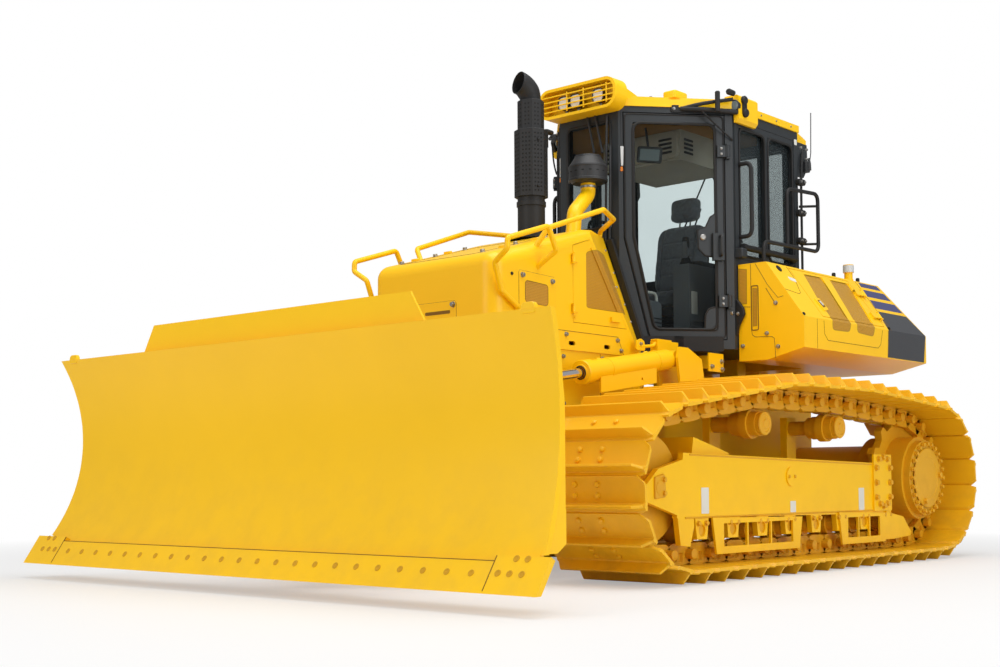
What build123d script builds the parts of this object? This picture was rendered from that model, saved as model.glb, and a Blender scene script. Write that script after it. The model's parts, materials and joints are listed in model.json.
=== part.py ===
from build123d import *
import math
import os

# Crawler dozer with a power-angle-tilt blade and wide low-ground-pressure tracks.
# Millimetres. +X points forward, +Y to the operator's left, +Z up.
# The origin lies on the ground under the middle of the machine.

# ---- fits and clearances ----------------------------------------------------
SEAT_GAP = 0.3          # between pieces that rest on or run in each other
DOOR_GAP = 6.0          # round a hinged panel
SWING_GAP = 8.0         # beside an eye or a lug that swings

# ---- tracks -----------------------------------------------------------------
TRACK_CENTRE = 1115.0   # from the machine's middle to the middle of a track
SHOE_WIDTH = 760.0
SHOE_COUNT = 48
SHOE_PLATE = 18.0
SHOE_CORNER = 46.0      # clipped corner of a shoe
GROUSER_HEIGHT = 65.0
GROUSER_ROOT = 30.0
GROUSER_TIP = 16.0
GROUSER_INSET = 34.0    # how far a grouser stops short of the shoe's end
GROUSER_PLACE = 0.16    # along the shoe, as a share of its length
RAIL_DEPTH = 122.0      # from the shoe's back to the tread of the links
RAIL_THICK = 42.0
RAIL_SPACE = 62.0       # clear width between the two rails of a chain
IDLER_X = 932.0
SPROCKET_X = -2269.0
IDLER_WRAP = 455.0      # from the idler's axle to the face of the shoes
SPROCKET_WRAP = 505.0
CARRIER_X = (-255.0, -1205.0)
CARRIER_Z = 907.0
CARRIER_R = 98.0
CARRIER_FLANGE = 118.0
TOOTH_COUNT = 14
ROLLER_COUNT = 8
ROLLER_FIRST_X = 520.0
ROLLER_LAST_X = -1770.0
ROLLER_R = 72.0
ROLLER_FLANGE = 88.0
AXLE_R = 42.0

# ---- track frame ------------------------------------------------------------
BEAM_HALF = 158.0       # half the width of the box beam over its side plates
BEAM_FRONT = 700.0
BEAM_REAR = -1640.0
BEAM_TOP_FRONT = 716.0
BEAM_TOP_REAR = 672.0
BEAM_BOTTOM = 352.0     # lower edge of the side plates
BEAM_FLOOR = 385.0      # underside between them, over the rollers
BEAM_NOSE = 570.0       # front of the closed box, behind the idler
CHEEK = 34.0            # side plates that reach forward to the idler
GUARD_PLATE = 14.0
GUARD_LOW = 138.0       # underside of the roller guards above the ground

# ---- hull -------------------------------------------------------------------
HULL_HALF = 345.0
HULL_REAR = -2420.0
HULL_FRONT = 1260.0
HULL_LOW = 430.0
HULL_TOP = 955.0
DECK_Z = 1120.0
HOOD_HALF = 500.0
HOOD_WALL = 12.0
HOOD_FRONT = 1415.0
HOOD_LOW = 990.3
NOSE_TOP = 1850.0
HOOD_CREST_X = 520.0
HOOD_CREST_TOP = 2100.0
HOOD_REAR_TOP = 2165.0
NOSE_RADIUS = 95.0
CREST_RADIUS = 85.0     # rounding along the hood's upper edges
FOLD_X = 516.0          # the hood's rear corners are cut by a slanted facet:
FOLD_Z = 2037.0         # its fold passes this place on the hood's side,
FOLD_RISE = 0.712       # runs this far forward for each unit up,
FOLD_OUT = 1.85         # and the facet this far forward for each unit out
SLOT_PLACES = (717.0, 372.0)
SLOT_Z = 1382.0
SLOT_HALF = (18.0, 13.0)  # half the straight run and the radius of a slot
RECESS_X = 840.0        # the hood's lower sides step in from here forward
RECESS_HALF = 398.0     # and leave room for the raised push frame's cylinders
RECESS_TOP = 1340.0
SILL_THICK = 15.0       # shelf under the hood's lower panels
SKIRT_SET_IN = 10.0     # how far the lower panels stand back from the hood's side
BAY_STRIP = 24.0        # left between the fold and the engine bay in the hood's side
BAY_FRONT = 705.0
BAY_LOW = 1508.0
BAY_HIGH = 1975.0
BAY_PEAK = 2030.0
ENGINE_TOP = 1780.0
STACK_X = 495.0
STACK_FOOT_R = 88.0
BOWL_X = 100.0
BOWL_Y = 150.0

# ---- cab --------------------------------------------------------------------
CAB_FRONT = -105.0
HOOD_REAR_X = CAB_FRONT + DOOR_GAP
CAB_FRONT_HALF = 245.0
CAB_KNEE = -695.0       # where the slanted doors meet the straight sides
CAB_HALF = 750.0
CAB_REAR = -1555.0
CAB_FLOOR = 1425.0
CAB_TOP = 3030.0
CAB_WALL = 60.0
CAB_SILL = 2010.0       # underside of the side windows
ROOF_THICK = 50.0
WINDOW_HEAD = 110.0      # from the cab's top down to the side windows
HEADLINER_DROP = 270.0
LAMP_HALF = 325.0        # half the width of the front lamp housing
LAMP_LOW = 2993.0
LAMP_HIGH = 3198.0
LAMP_FRONT = 30.0
LAMP_WALL = 20.0
LAMP_CORNER = 85.0
LAMP_R = 36.0
LAMP_BARS = 4
LAMP_PLACES = (-135.0, -35.0, 155.0)
SIDE_LAMP_X = (-940.0, -700.0)
HINGE_ALONG = 40.0      # cab door's pin from the rear pillar's corner
HINGE_OUT = 20.0        # and out from the door's face
HINGE_PIN_R = 9.0
HINGE_HEIGHTS = (1740.0, 2740.0)
BAY_HINGE_X = 712.0
BAY_HINGE_OUT = 12.0
BAY_PIN_R = 5.0
BAY_HINGE_HEIGHTS = (1590.0, 1890.0)
DOOR_SILL = 1490.0
DOOR_HEAD = 2985.0
DOOR_THICK = 42.0
GLASS = 8.0

# ---- rear body --------------------------------------------------------------
FENDER_FRONT = -735.0
FENDER_REAR = -2525.0
FENDER_TOP_REAR = -2295.0
FENDER_INNER = CAB_HALF + DOOR_GAP
FENDER_EDGE = 965.0
FENDER_OUTER = 1240.0
FENDER_LOW = 1345.0
FENDER_SIDE_LOW = FENDER_LOW + 65.0
FENDER_SHOULDER = FENDER_LOW + 265.0
FENDER_TOP = FENDER_SHOULDER + 380.0
FENDER_LOW_EDGE = 970.0
FILLER_X = -1950.0
FILLER_Y = 925.0
BODY_TOP = 1900.0       # of the cooler housing between the fenders
HOUSING_CORE = -2110.0  # rear face of the cooler
HOUSING_WALL = 120.0
HOUSING_FLOOR = 70.0
HOUSING_ROOF = 60.0
HOUSING_LEAN = 20.0     # how far the leaning rear plate's upper joint slopes
FAN_X = -2205.0
FAN_Z = 1625.0

# ---- blade and push frame ---------------------------------------------------
BLADE_HALF = 1927.0
BLADE_WAIST = 1876.0
BIT_HALF = 2000.0
EDGE_HALF = 1700.0
BLADE_LOW = 251.0
BLADE_TOP = 1304.0
BLADE_LOW_X = 2702.0
BLADE_TOP_X = 2651.0
BLADE_HOLLOW_X = 2529.0
BLADE_HOLLOW_Z = 830.0
BLADE_PLATE = 28.0
BOX_INTO = 14.0          # how far behind the moldboard's face its boxes and ribs stop
EDGE_TIP_X = 2845.0
EDGE_TIP_Z = 91.0
EDGE_LEAN = (0.5497, -0.8351)
EDGE_LENGTH = 160.0
BIT_LENGTH = 189.2
EDGE_THICK = 30.0
SPILL_TOP = 1457.0
SPILL_FOOT_HALF = 1150.0
SPILL_TOP_HALF = 1035.0
BLADE_BACK = 2482.0
PUSH_PIVOT_X = -150.0
PUSH_PIVOT_Z = 520.0
ARM_INNER = 478.0
ARM_OUTER = 600.0
ARM_LOW = 440.0
ARM_HIGH = 585.0
SWIVEL_X = 2330.0
SWIVEL_Z = 495.0
SWIVEL_R = 75.0

# ---- cylinders --------------------------------------------------------------
LIFT_Y = 640.0
LIFT_SHELF = (975.0, 1010.0)   # underside and top of the shelf under the lift cylinders' brackets
LIFT_REAR = (-140.0, 1335.0)
LIFT_EYE = (1700.0, 1060.0)
LIFT_BARREL_R = 65.0
LIFT_ROD_R = 29.0
LIFT_BARREL_LENGTH = 930.0
ANGLE_Z = 668.0
ANGLE_REAR = (1050.0, 470.0)
ANGLE_EYE = (2295.0, 540.0)
ANGLE_BARREL_R = 52.0
ANGLE_ROD_R = 25.0
ANGLE_BARREL_LENGTH = 800.0
TILT_X = 2418.0
TILT_REAR = (-420.0, 760.0)
TILT_EYE = (380.0, 900.0)
TILT_BARREL_R = 50.0
TILT_ROD_R = 25.0
TILT_BARREL_LENGTH = 480.0
EYE_HALF = 30.0
TOWER_CROWN = 50.0      # of the push frame's lugs over the lift cylinder's eye
PIN_R = 24.0

BOTH_SIDES = (("left", 1.0), ("right", -1.0))   # name, sign of Y


# ---- small builders ---------------------------------------------------------
def block(x, y, z):
    """Box between (low, high) pairs along each axis."""
    size = [abs(pair[1] - pair[0]) for pair in (x, y, z)]
    middle = [(pair[0] + pair[1]) / 2 for pair in (x, y, z)]
    return Pos(*middle) * Box(*size)


def prism(points, step):
    """Solid between a flat polygon of 3D points and the same polygon moved by step."""
    face = Face(Wire.make_polygon([Vector(*point) for point in points], close=True))
    return Solid.extrude(face, Vector(*step))


def side_prism(outline, y):
    """Outline in X and Z, carried from y[0] to y[1]."""
    return prism([(x, y[0], z) for x, z in outline], (0, y[1] - y[0], 0))


def plan_prism(outline, z):
    """Outline in X and Y, carried from z[0] to z[1]."""
    return prism([(x, y, z[0]) for x, y in outline], (0, 0, z[1] - z[0]))


def front_prism(outline, x):
    """Outline in Y and Z, carried from x[0] to x[1]."""
    return prism([(x[0], y, z) for y, z in outline], (x[1] - x[0], 0, 0))


def rod(start, end, radius):
    """Round bar between two points."""
    start, end = Vector(*start), Vector(*end)
    return Solid.make_cylinder(radius, (end - start).length, Plane(start, z_dir=end - start))


def tube(points, radius, bend):
    """Round bar along straight runs joined by bends."""
    path = FilletPolyline(*points, radius=bend)
    return sweep(Plane(origin=path @ 0, z_dir=path % 0) * Circle(radius), path=path)


def mirrored(shape):
    """Copy on the other side of the machine's middle plane."""
    return mirror(shape, about=Plane.XZ)


def on_side(shape, sign):
    """The shape itself on the left, its mirror image on the right."""
    return shape if sign > 0 else mirrored(shape)


def solids_of(shape):
    """Flat list of the solids in a shape, a list or a nest of both."""
    if isinstance(shape, (list, tuple)):
        return [solid for item in shape for solid in solids_of(item)]
    return list(shape.solids())


def save(name, *shapes):
    """Write one node's solids to its own file."""
    solids = solids_of(shapes)
    part = solids[0] if len(solids) == 1 else Compound(children=solids)
    export_step(part, os.path.join("parts", name + ".step"))


def fuse(*shapes):
    """Join shapes into one."""
    parts = solids_of(shapes)
    return parts[0].fuse(*parts[1:]) if len(parts) > 1 else parts[0]


# ---- track loop -------------------------------------------------------------
def wrap_circles():
    """Circles that the face of the shoes wraps, as (x, z, radius), in order round the loop."""
    height = SHOE_PLATE + RAIL_DEPTH
    circles = [(IDLER_X, GROUSER_HEIGHT + IDLER_WRAP, IDLER_WRAP)]
    circles += [(x, CARRIER_Z, CARRIER_R + height) for x in CARRIER_X]
    circles.append((SPROCKET_X, GROUSER_HEIGHT + SPROCKET_WRAP, SPROCKET_WRAP))
    return circles


def loop_pieces(circles):
    """Arcs and straight runs round the circles, as (length, function from distance to point)."""
    count = len(circles)
    normals = []
    for index, (x, z, radius) in enumerate(circles):
        nx, nz, next_radius = circles[(index + 1) % count]
        gap = math.hypot(nx - x, nz - z)
        normals.append(math.atan2(nz - z, nx - x) - math.acos((radius - next_radius) / gap))
    pieces = []
    for index, (x, z, radius) in enumerate(circles):
        start, end = normals[index - 1], normals[index]
        turn = (end - start) % (2 * math.pi)
        pieces.append((radius * turn, ("arc", x, z, radius, start)))
        nx, nz, next_radius = circles[(index + 1) % count]
        a = (x + radius * math.cos(end), z + radius * math.sin(end))
        b = (nx + next_radius * math.cos(end), nz + next_radius * math.sin(end))
        pieces.append((math.hypot(b[0] - a[0], b[1] - a[1]), ("run", a, b, end)))
    return pieces


def loop_point(pieces, distance):
    """Point on the loop and its outward direction at a distance from the start."""
    distance %= sum(length for length, _ in pieces)
    for length, piece in pieces:
        if distance <= length:
            break
        distance -= length
    if piece[0] == "arc":
        _, x, z, radius, start = piece
        angle = start + distance / radius
        out = (math.cos(angle), math.sin(angle))
        return (x + radius * out[0], z + radius * out[1]), out
    _, a, b, angle = piece
    share = distance / length
    return (a[0] + (b[0] - a[0]) * share, a[1] + (b[1] - a[1]) * share), (math.cos(angle), math.sin(angle))


def shoe_joints():
    """Corner points of the shoe loop with their outward directions."""
    pieces = loop_pieces(wrap_circles())
    pitch = sum(length for length, _ in pieces) / SHOE_COUNT
    return [loop_point(pieces, index * pitch) for index in range(SHOE_COUNT)]


def ring(joints, outer, inner, y):
    """Closed band between two depths under the face of the shoes."""
    def wire(depth):
        return Wire.make_polygon([Vector(p[0] - n[0] * depth, y[0], p[1] - n[1] * depth)
                                  for p, n in joints], close=True)
    face = Face(wire(outer), [wire(inner)])
    return Solid.extrude(face, Vector(0, y[1] - y[0], 0))


def grouser_outline(joints):
    """Outer outline of the loop with one grouser standing on each shoe."""
    outline = []
    for index, (here, _) in enumerate(joints):
        there = joints[(index + 1) % len(joints)][0]
        length = math.hypot(there[0] - here[0], there[1] - here[1])
        along = ((there[0] - here[0]) / length, (there[1] - here[1]) / length)
        out = (along[1], -along[0])
        middle = GROUSER_PLACE * length
        steps = ((0, 0), (middle - GROUSER_ROOT / 2, 0), (middle - GROUSER_TIP / 2, GROUSER_HEIGHT),
                 (middle + GROUSER_TIP / 2, GROUSER_HEIGHT), (middle + GROUSER_ROOT / 2, 0))
        outline += [(here[0] + along[0] * a + out[0] * b, here[1] + along[1] * a + out[1] * b)
                    for a, b in steps]
    return outline


def track(sign):
    """One loop: shoes with grousers on the outside, two link rails on the inside."""
    joints = shoe_joints()
    half = SHOE_WIDTH / 2
    middle = sign * TRACK_CENTRE
    reach = half - GROUSER_INSET
    toothed = [Vector(x, middle - reach, z) for x, z in grouser_outline(joints)]
    hole = [Vector(p[0] - n[0] * SHOE_PLATE, middle - reach, p[1] - n[1] * SHOE_PLATE) for p, n in joints]
    face = Face(Wire.make_polygon(toothed, close=True), [Wire.make_polygon(hole, close=True)])
    parts = [Solid.extrude(face, Vector(0, 2 * reach, 0))]
    for low, high in ((-half, -reach), (reach, half)):
        parts.append(ring(joints, 0, SHOE_PLATE, (middle + low, middle + high)))
    inner = RAIL_SPACE / 2
    for low, high in ((-inner - RAIL_THICK, -inner), (inner, inner + RAIL_THICK)):
        parts.append(ring(joints, SHOE_PLATE, SHOE_PLATE + RAIL_DEPTH, (middle + low, middle + high)))
    return fuse(*parts)


def mid_chord_depth(radius):
    """How far the middle of a shoe lies inside the circle that its ends touch."""
    pitch = sum(length for length, _ in loop_pieces(wrap_circles())) / SHOE_COUNT
    return radius - math.sqrt(radius ** 2 - (pitch / 2) ** 2)


def tread_radius(wrap):
    """Largest radius that clears the link rails where the loop wraps a wheel."""
    return wrap - mid_chord_depth(wrap) - SHOE_PLATE - RAIL_DEPTH - SEAT_GAP


def wheel(x, y, z, steps):
    """Stepped round body across the machine; steps are (half width, radius)."""
    return fuse(*[rod((x, y - half, z), (x, y + half, z), radius) for half, radius in steps])


def sprocket(sign):
    """Toothed wheel between the link rails."""
    middle = sign * TRACK_CENTRE
    z = GROUSER_HEIGHT + SPROCKET_WRAP
    root = SPROCKET_WRAP - 118.0
    tip = SPROCKET_WRAP - 62.0
    half = RAIL_SPACE / 2 - 4.0
    outline = []
    for index in range(TOOTH_COUNT):
        centre = 2 * math.pi * index / TOOTH_COUNT
        for offset, radius in ((-0.30, root), (-0.12, tip), (0.12, tip), (0.30, root)):
            angle = centre + offset * 2 * math.pi / TOOTH_COUNT
            outline.append((SPROCKET_X + radius * math.cos(angle), z + radius * math.sin(angle)))
    disc = side_prism(outline, (middle - half, middle + half))
    return disc - rod((SPROCKET_X, middle - half, z), (SPROCKET_X, middle + half, z), DRUM_R)


DRUM_R = 292.0
DRUM_OUT = 172.0        # outer end of the drum from the middle of the track
COVER_R = 265.0
COVER_OUT = 220.0


def final_drive(sign):
    """Reduction drum through the sprocket, with its bolted cover and inner axle tube."""
    z = GROUSER_HEIGHT + SPROCKET_WRAP
    c = TRACK_CENTRE
    parts = [rod((SPROCKET_X, c - 175, z), (SPROCKET_X, c + DRUM_OUT, z), DRUM_R),
             rod((SPROCKET_X, c, z), (SPROCKET_X, c + COVER_OUT, z), COVER_R),
             rod((SPROCKET_X, HULL_HALF, z), (SPROCKET_X, c - 175, z), 235.0)]
    for index in range(24):
        angle = 2 * math.pi * index / 24
        x, y = SPROCKET_X + 243 * math.cos(angle), z + 243 * math.sin(angle)
        parts.append(rod((x, c + COVER_OUT, y), (x, c + COVER_OUT + 12, y), 14.0))
    return on_side(fuse(*parts), sign)


def idler(sign):
    """Front wheel with its centre flange and axle."""
    z = GROUSER_HEIGHT + IDLER_WRAP
    tread = tread_radius(IDLER_WRAP)
    flange = RAIL_SPACE / 2 - 4.0
    return wheel(IDLER_X, sign * TRACK_CENTRE, z,
                 ((flange, tread + 34), (RAIL_SPACE / 2 + RAIL_THICK, tread), (RAIL_SPACE / 2 + RAIL_THICK + 36, AXLE_R + 40),
                  (BEAM_HALF + 12, AXLE_R)))


def carrier_rollers(sign):
    """Two rollers under the upper run, on stub axles from the track frame."""
    tread = RAIL_SPACE / 2 + RAIL_THICK
    rollers = []
    for x in CARRIER_X:
        y = sign * TRACK_CENTRE
        top = CARRIER_R - mid_chord_depth(CARRIER_R + SHOE_PLATE + RAIL_DEPTH) - SEAT_GAP
        body = wheel(x, y, CARRIER_Z, ((RAIL_SPACE / 2 - 4, top + 16), (tread + 8, top), (tread + 40, 70.0)))
        stub = rod((x, y - sign * (tread + 40), CARRIER_Z), (x, sign * (TRACK_CENTRE - 250), CARRIER_Z), 48.0)
        rollers.append(fuse(body, stub))
    return rollers


def roller_xs():
    """Places of the track rollers along the machine."""
    step = (ROLLER_LAST_X - ROLLER_FIRST_X) / (ROLLER_COUNT - 1)
    return [ROLLER_FIRST_X + step * index for index in range(ROLLER_COUNT)]


def track_rollers(sign):
    """Rollers that carry the machine on the lower run."""
    z = GROUSER_HEIGHT + SHOE_PLATE + RAIL_DEPTH + ROLLER_R + SEAT_GAP
    tread = RAIL_SPACE / 2 + RAIL_THICK
    return [wheel(x, sign * TRACK_CENTRE, z,
                  ((RAIL_SPACE / 2 - 4, ROLLER_FLANGE), (tread, ROLLER_R), (BEAM_HALF - CHEEK - 6, 55.0), (BEAM_HALF - 10, 34.0)))
            for x in roller_xs()]


def beam_top(x):
    """Height of the track frame's sloping top at a place along it."""
    share = (BEAM_FRONT - x) / (BEAM_FRONT - BEAM_REAR)
    return BEAM_TOP_FRONT + (BEAM_TOP_REAR - BEAM_TOP_FRONT) * share


def beam_covers(centre, outer):
    """Plates that stand proud of the box beam: recoil cover, rear joint, rear guard, front foot and a round hatch."""
    cover = side_prism(((560, beam_top(560) - 4), (540, beam_top(540) + 95), (170, beam_top(170) + 15), (170, beam_top(170) - 4)),
                       (centre - 120, centre + 120))
    joint = block((BEAM_REAR - 190, BEAM_REAR + 70), (outer - 1, outer + 12), (BEAM_BOTTOM - 5, BEAM_TOP_REAR + 59))
    guard = side_prism(((-1745, 345), (-1800, 330), (-2000, 300), (-2120, 190), (-2100, 165), (-1850, 150), (-1715, 150)),
                       (outer, outer + GUARD_PLATE))
    foot = side_prism(((BEAM_FRONT, BEAM_BOTTOM + 2), (BEAM_FRONT + 60, BEAM_BOTTOM + 2), (BEAM_FRONT + 35, 200),
                       (BEAM_FRONT - 60, 190), (BEAM_FRONT - 100, 300), (BEAM_FRONT - 100, BEAM_BOTTOM + 2)), (outer - CHEEK, outer))
    hatch = rod((-480, outer - 1, 582), (-480, outer + 8, 582), 60.0)
    return [cover, joint, guard, foot, hatch]


def track_frame(sign):
    """Box beam with its idler fork, carrier brackets, roller guards and rear bolted joint."""
    c = TRACK_CENTRE
    outer, inner = c + BEAM_HALF, c - BEAM_HALF
    beam = side_prism(((BEAM_NOSE, beam_top(BEAM_NOSE)), (BEAM_NOSE, BEAM_FLOOR),
                       (BEAM_REAR, BEAM_FLOOR), (BEAM_REAR, BEAM_TOP_REAR)), (inner, outer))
    cheek = ((BEAM_FRONT, BEAM_TOP_FRONT), (BEAM_FRONT + 70, BEAM_BOTTOM), (BEAM_REAR - 190, BEAM_BOTTOM - 24),
             (BEAM_REAR, BEAM_TOP_REAR))
    idler_z = GROUSER_HEIGHT + IDLER_WRAP
    parts = [beam, side_prism(cheek, (inner, inner + CHEEK)), side_prism(cheek, (outer - CHEEK, outer))]
    fork_clear = BEAM_HALF - CHEEK
    for low, high in ((inner, c - fork_clear), (c + fork_clear, outer)):
        arm = side_prism(((BEAM_FRONT - 30, BEAM_TOP_FRONT - 30), (IDLER_X + 10, idler_z + 105), (IDLER_X + 120, idler_z + 20),
                          (IDLER_X + 120, idler_z - 75), (BEAM_FRONT + 40, BEAM_BOTTOM + 10)), (low, high))
        parts.append(arm - rod((IDLER_X, low, idler_z), (IDLER_X, high, idler_z), AXLE_R + SEAT_GAP))
        z = GROUSER_HEIGHT + SHOE_PLATE + RAIL_DEPTH + ROLLER_R + SEAT_GAP
        for x in roller_xs():
            foot = side_prism(((x - 70, BEAM_BOTTOM + 5), (x - 52, z - 50), (x + 52, z - 50), (x + 70, BEAM_BOTTOM + 5)),
                              (low, high))
            parts.append(foot - rod((x, low - 60, z), (x, high + 60, z), 34.0 + SEAT_GAP))
    for first, last in ((430.0, -590.0), (-1070.0, -1760.0)):
        skirt = side_prism(((first, BEAM_BOTTOM - 4), (first - 40, GUARD_LOW), (last + 40, GUARD_LOW), (last, BEAM_BOTTOM - 20)),
                           (outer, outer + GUARD_PLATE))
        window = block((last + 110, first - 110), (outer - 5, outer + GUARD_PLATE + 5), (GUARD_LOW + 42, BEAM_BOTTOM - 40))
        ribs = [block((x - 7, x + 7), (outer, outer + GUARD_PLATE), (GUARD_LOW + 20, BEAM_BOTTOM - 20))
                for x in spread(first - 110, last + 110, 4)]
        parts += [skirt - window, ribs]
    parts.append(block((BEAM_REAR - 40, BEAM_REAR + 250), (inner - 60, inner + 10), (BEAM_BOTTOM + 40, BEAM_TOP_REAR - 20)))
    parts += beam_covers(c, outer)
    for x in CARRIER_X:
        parts.append(block((x - 60, x + 60), (c - 300, c - 250), (beam_top(x) - 120, CARRIER_Z + 75)))
        parts.append(block((x - 60, x + 60), (c - 300, inner + 10), (beam_top(x) - 120, beam_top(x) - 30)))
    frame = fuse(*parts)
    return on_side(frame, sign)


def spread(first, last, count):
    """Evenly spaced numbers from first to last."""
    return [first + (last - first) * index / (count - 1) for index in range(count)]


# ---- hull and fixed superstructure ------------------------------------------
def main_frame():
    """Hull between the tracks: case, rails, pivot shaft, front beam, deck and cylinder brackets."""
    case = side_prism(((HULL_REAR, HULL_LOW + 90), (HULL_REAR + 120, HULL_LOW), (HULL_FRONT - 150, HULL_LOW),
                       (HULL_FRONT, HULL_LOW + 150), (HULL_FRONT, HULL_TOP), (HULL_REAR, HULL_TOP)),
                      (-HULL_HALF, HULL_HALF))
    deck = block((HULL_REAR, CAB_FRONT - 60), (-HULL_HALF, HULL_HALF), (HULL_TOP, DECK_Z))
    parts = [case, deck]
    for sign in (1, -1):
        half = sorted((sign * HULL_HALF, sign * (LIFT_Y + LIFT_BARREL_R + 25)))
        plate = sorted((sign * (LIFT_Y + LIFT_BARREL_R + 7), sign * (LIFT_Y + LIFT_BARREL_R + 25)))
        inner_plate = sorted((sign * (LIFT_Y - LIFT_BARREL_R - 25), sign * (LIFT_Y - LIFT_BARREL_R - 7)))
        ear = ((-420, 1000), (-350, 1210), (-325, 1335), (-170, 1400), (-80, 1400), (-55, 1330), (-90, 1120), (-60, 1000))
        parts += [side_prism(ear, plate), side_prism(ear, inner_plate)]
        parts.append(block((-300, -70), sorted((sign * (LIFT_Y - 130), sign * (LIFT_Y - LIFT_BARREL_R - 9))), (1378, 1452)))
        parts.append(block((-430, -40), half, LIFT_SHELF))
        wall = sorted((sign * HULL_HALF, sign * (HULL_HALF + 20)))
        parts.append(block((-430, -40), wall, (700, LIFT_SHELF[1])))
        pin_y = sign * (LIFT_Y + LIFT_BARREL_R + 16), sign * (LIFT_Y - LIFT_BARREL_R - 16)
        parts.append(rod((LIFT_REAR[0], pin_y[0], LIFT_REAR[1]), (LIFT_REAR[0], pin_y[1], LIFT_REAR[1]), PIN_R))
    for sign in (1, -1):
        parts.append(block((150, 1100), sorted((sign * (HULL_HALF - 30), sign * (HULL_HALF + 5))), (HULL_TOP - 20, 1060)))
        trunnion_y = sorted((sign * HULL_HALF, sign * (ARM_INNER - SEAT_GAP)))
        parts.append(block((PUSH_PIVOT_X - 90, PUSH_PIVOT_X + 90), trunnion_y, (PUSH_PIVOT_Z - 85, PUSH_PIVOT_Z + 85)))
        parts.append(rod((PUSH_PIVOT_X, sign * (ARM_INNER - 10), PUSH_PIVOT_Z),
                         (PUSH_PIVOT_X, sign * ARM_OUTER, PUSH_PIVOT_Z), 50.0))
    return fuse(*parts)


def cross_shafts():
    """Pivot shaft and equaliser ends that carry the track frames beside the hull."""
    parts = []
    for x, z, radius in ((BEAM_REAR + 105, 545.0, 80.0), (-480.0, 585.0, 60.0)):
        stub = rod((x, HULL_HALF + SEAT_GAP, z), (x, TRACK_CENTRE - BEAM_HALF - 60.6, z), radius)
        parts += [stub, mirrored(stub)]
    return parts


def body_posts():
    """Posts between the deck and the cab and rear body; the cab's front ones carry an arm out to a bolted plate."""
    arm = [block((-616, -570), (310, 701), (1300, CAB_FLOOR - 40)), block((-610, -440), (700, 711), (1268, CAB_FLOOR - 37))]
    rows = ((-620.0, 55.0, 180.0, CAB_FLOOR, arm),      # x, half its length, inner side, top, what it carries
            (-1450.0, 55.0, 180.0, CAB_FLOOR, []),
            (-1750.0, 60.0, 150.0, FENDER_LOW, []),
            (-2300.0, 60.0, 150.0, FENDER_LOW, []))
    parts = []
    for x, half, inner, top, carried in rows:
        post = fuse(block((x - half, x + half), (inner, 330), (DECK_Z + SEAT_GAP, top - SEAT_GAP)), *carried)
        parts += [post, mirrored(post)]
    return parts


def hood_outline(inset):
    """Side outline of the hood, drawn in by the wall's thickness."""
    return ((HOOD_REAR_X, HOOD_LOW), (HOOD_FRONT - inset, HOOD_LOW), (HOOD_FRONT - inset, NOSE_TOP - inset),
            (HOOD_CREST_X, HOOD_CREST_TOP - inset), (HOOD_REAR_X, HOOD_REAR_TOP - inset))


def rounded_hood(inset, reach):
    """Hood's full body with its nose and upper edges rounded; reach carries it out behind and below."""
    outline = [(x - (reach if x == HOOD_REAR_X else 0), z - (reach if z == HOOD_LOW else 0)) for x, z in hood_outline(inset)]
    body = side_prism(outline, (-HOOD_HALF + inset, HOOD_HALF - inset))
    uprights = body.edges().filter_by(Axis.Z).group_by(Axis.X)[-1]
    body = body.fillet(NOSE_RADIUS - inset, uprights)
    upper = [edge for edge in body.edges() if edge.center().Z > NOSE_TOP - inset - 5]
    crest = [edge for edge in upper if abs(edge.center().Y) > 100 or edge.center().X > HOOD_CREST_X + 50]
    return body.fillet(CREST_RADIUS - inset, crest)


def fold_x(z):
    """Place of the fold on the hood's side at a height."""
    return FOLD_X + FOLD_RISE * (z - FOLD_Z)


def beyond_fold(depth):
    """Everything outside the left rear facet of the hood, which is moved in by a depth."""
    plane = Plane(origin=(FOLD_X, HOOD_HALF, FOLD_Z), x_dir=(FOLD_RISE, 0, 1), z_dir=(-1, FOLD_OUT, FOLD_RISE))
    return plane * Pos(0, 0, 2000 - depth) * Box(6000, 6000, 4000)


def bay_outline(gap):
    """Engine bay in the hood's side as (x, z), its rear edge beside the fold, drawn in by a gap."""
    low, peak = BAY_LOW + gap, BAY_PEAK - gap
    strip = BAY_STRIP + gap * 1.3
    return ((BAY_FRONT - gap, low), (fold_x(low) + strip, low), (fold_x(peak) + strip, peak), (BAY_FRONT - gap, BAY_HIGH - gap))


def hood_slots():
    """Rounded slots low in both sides of the hood."""
    run, radius = SLOT_HALF
    side = (HOOD_HALF - 40, HOOD_HALF + 10)
    parts = []
    for x in SLOT_PLACES:
        ends = [rod((x + step, side[0], SLOT_Z), (x + step, side[1], SLOT_Z), radius) for step in (-run, run)]
        parts.append(fuse(*ends, block((x - run, x + run), side, (SLOT_Z - radius, SLOT_Z + radius))))
    return parts


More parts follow.
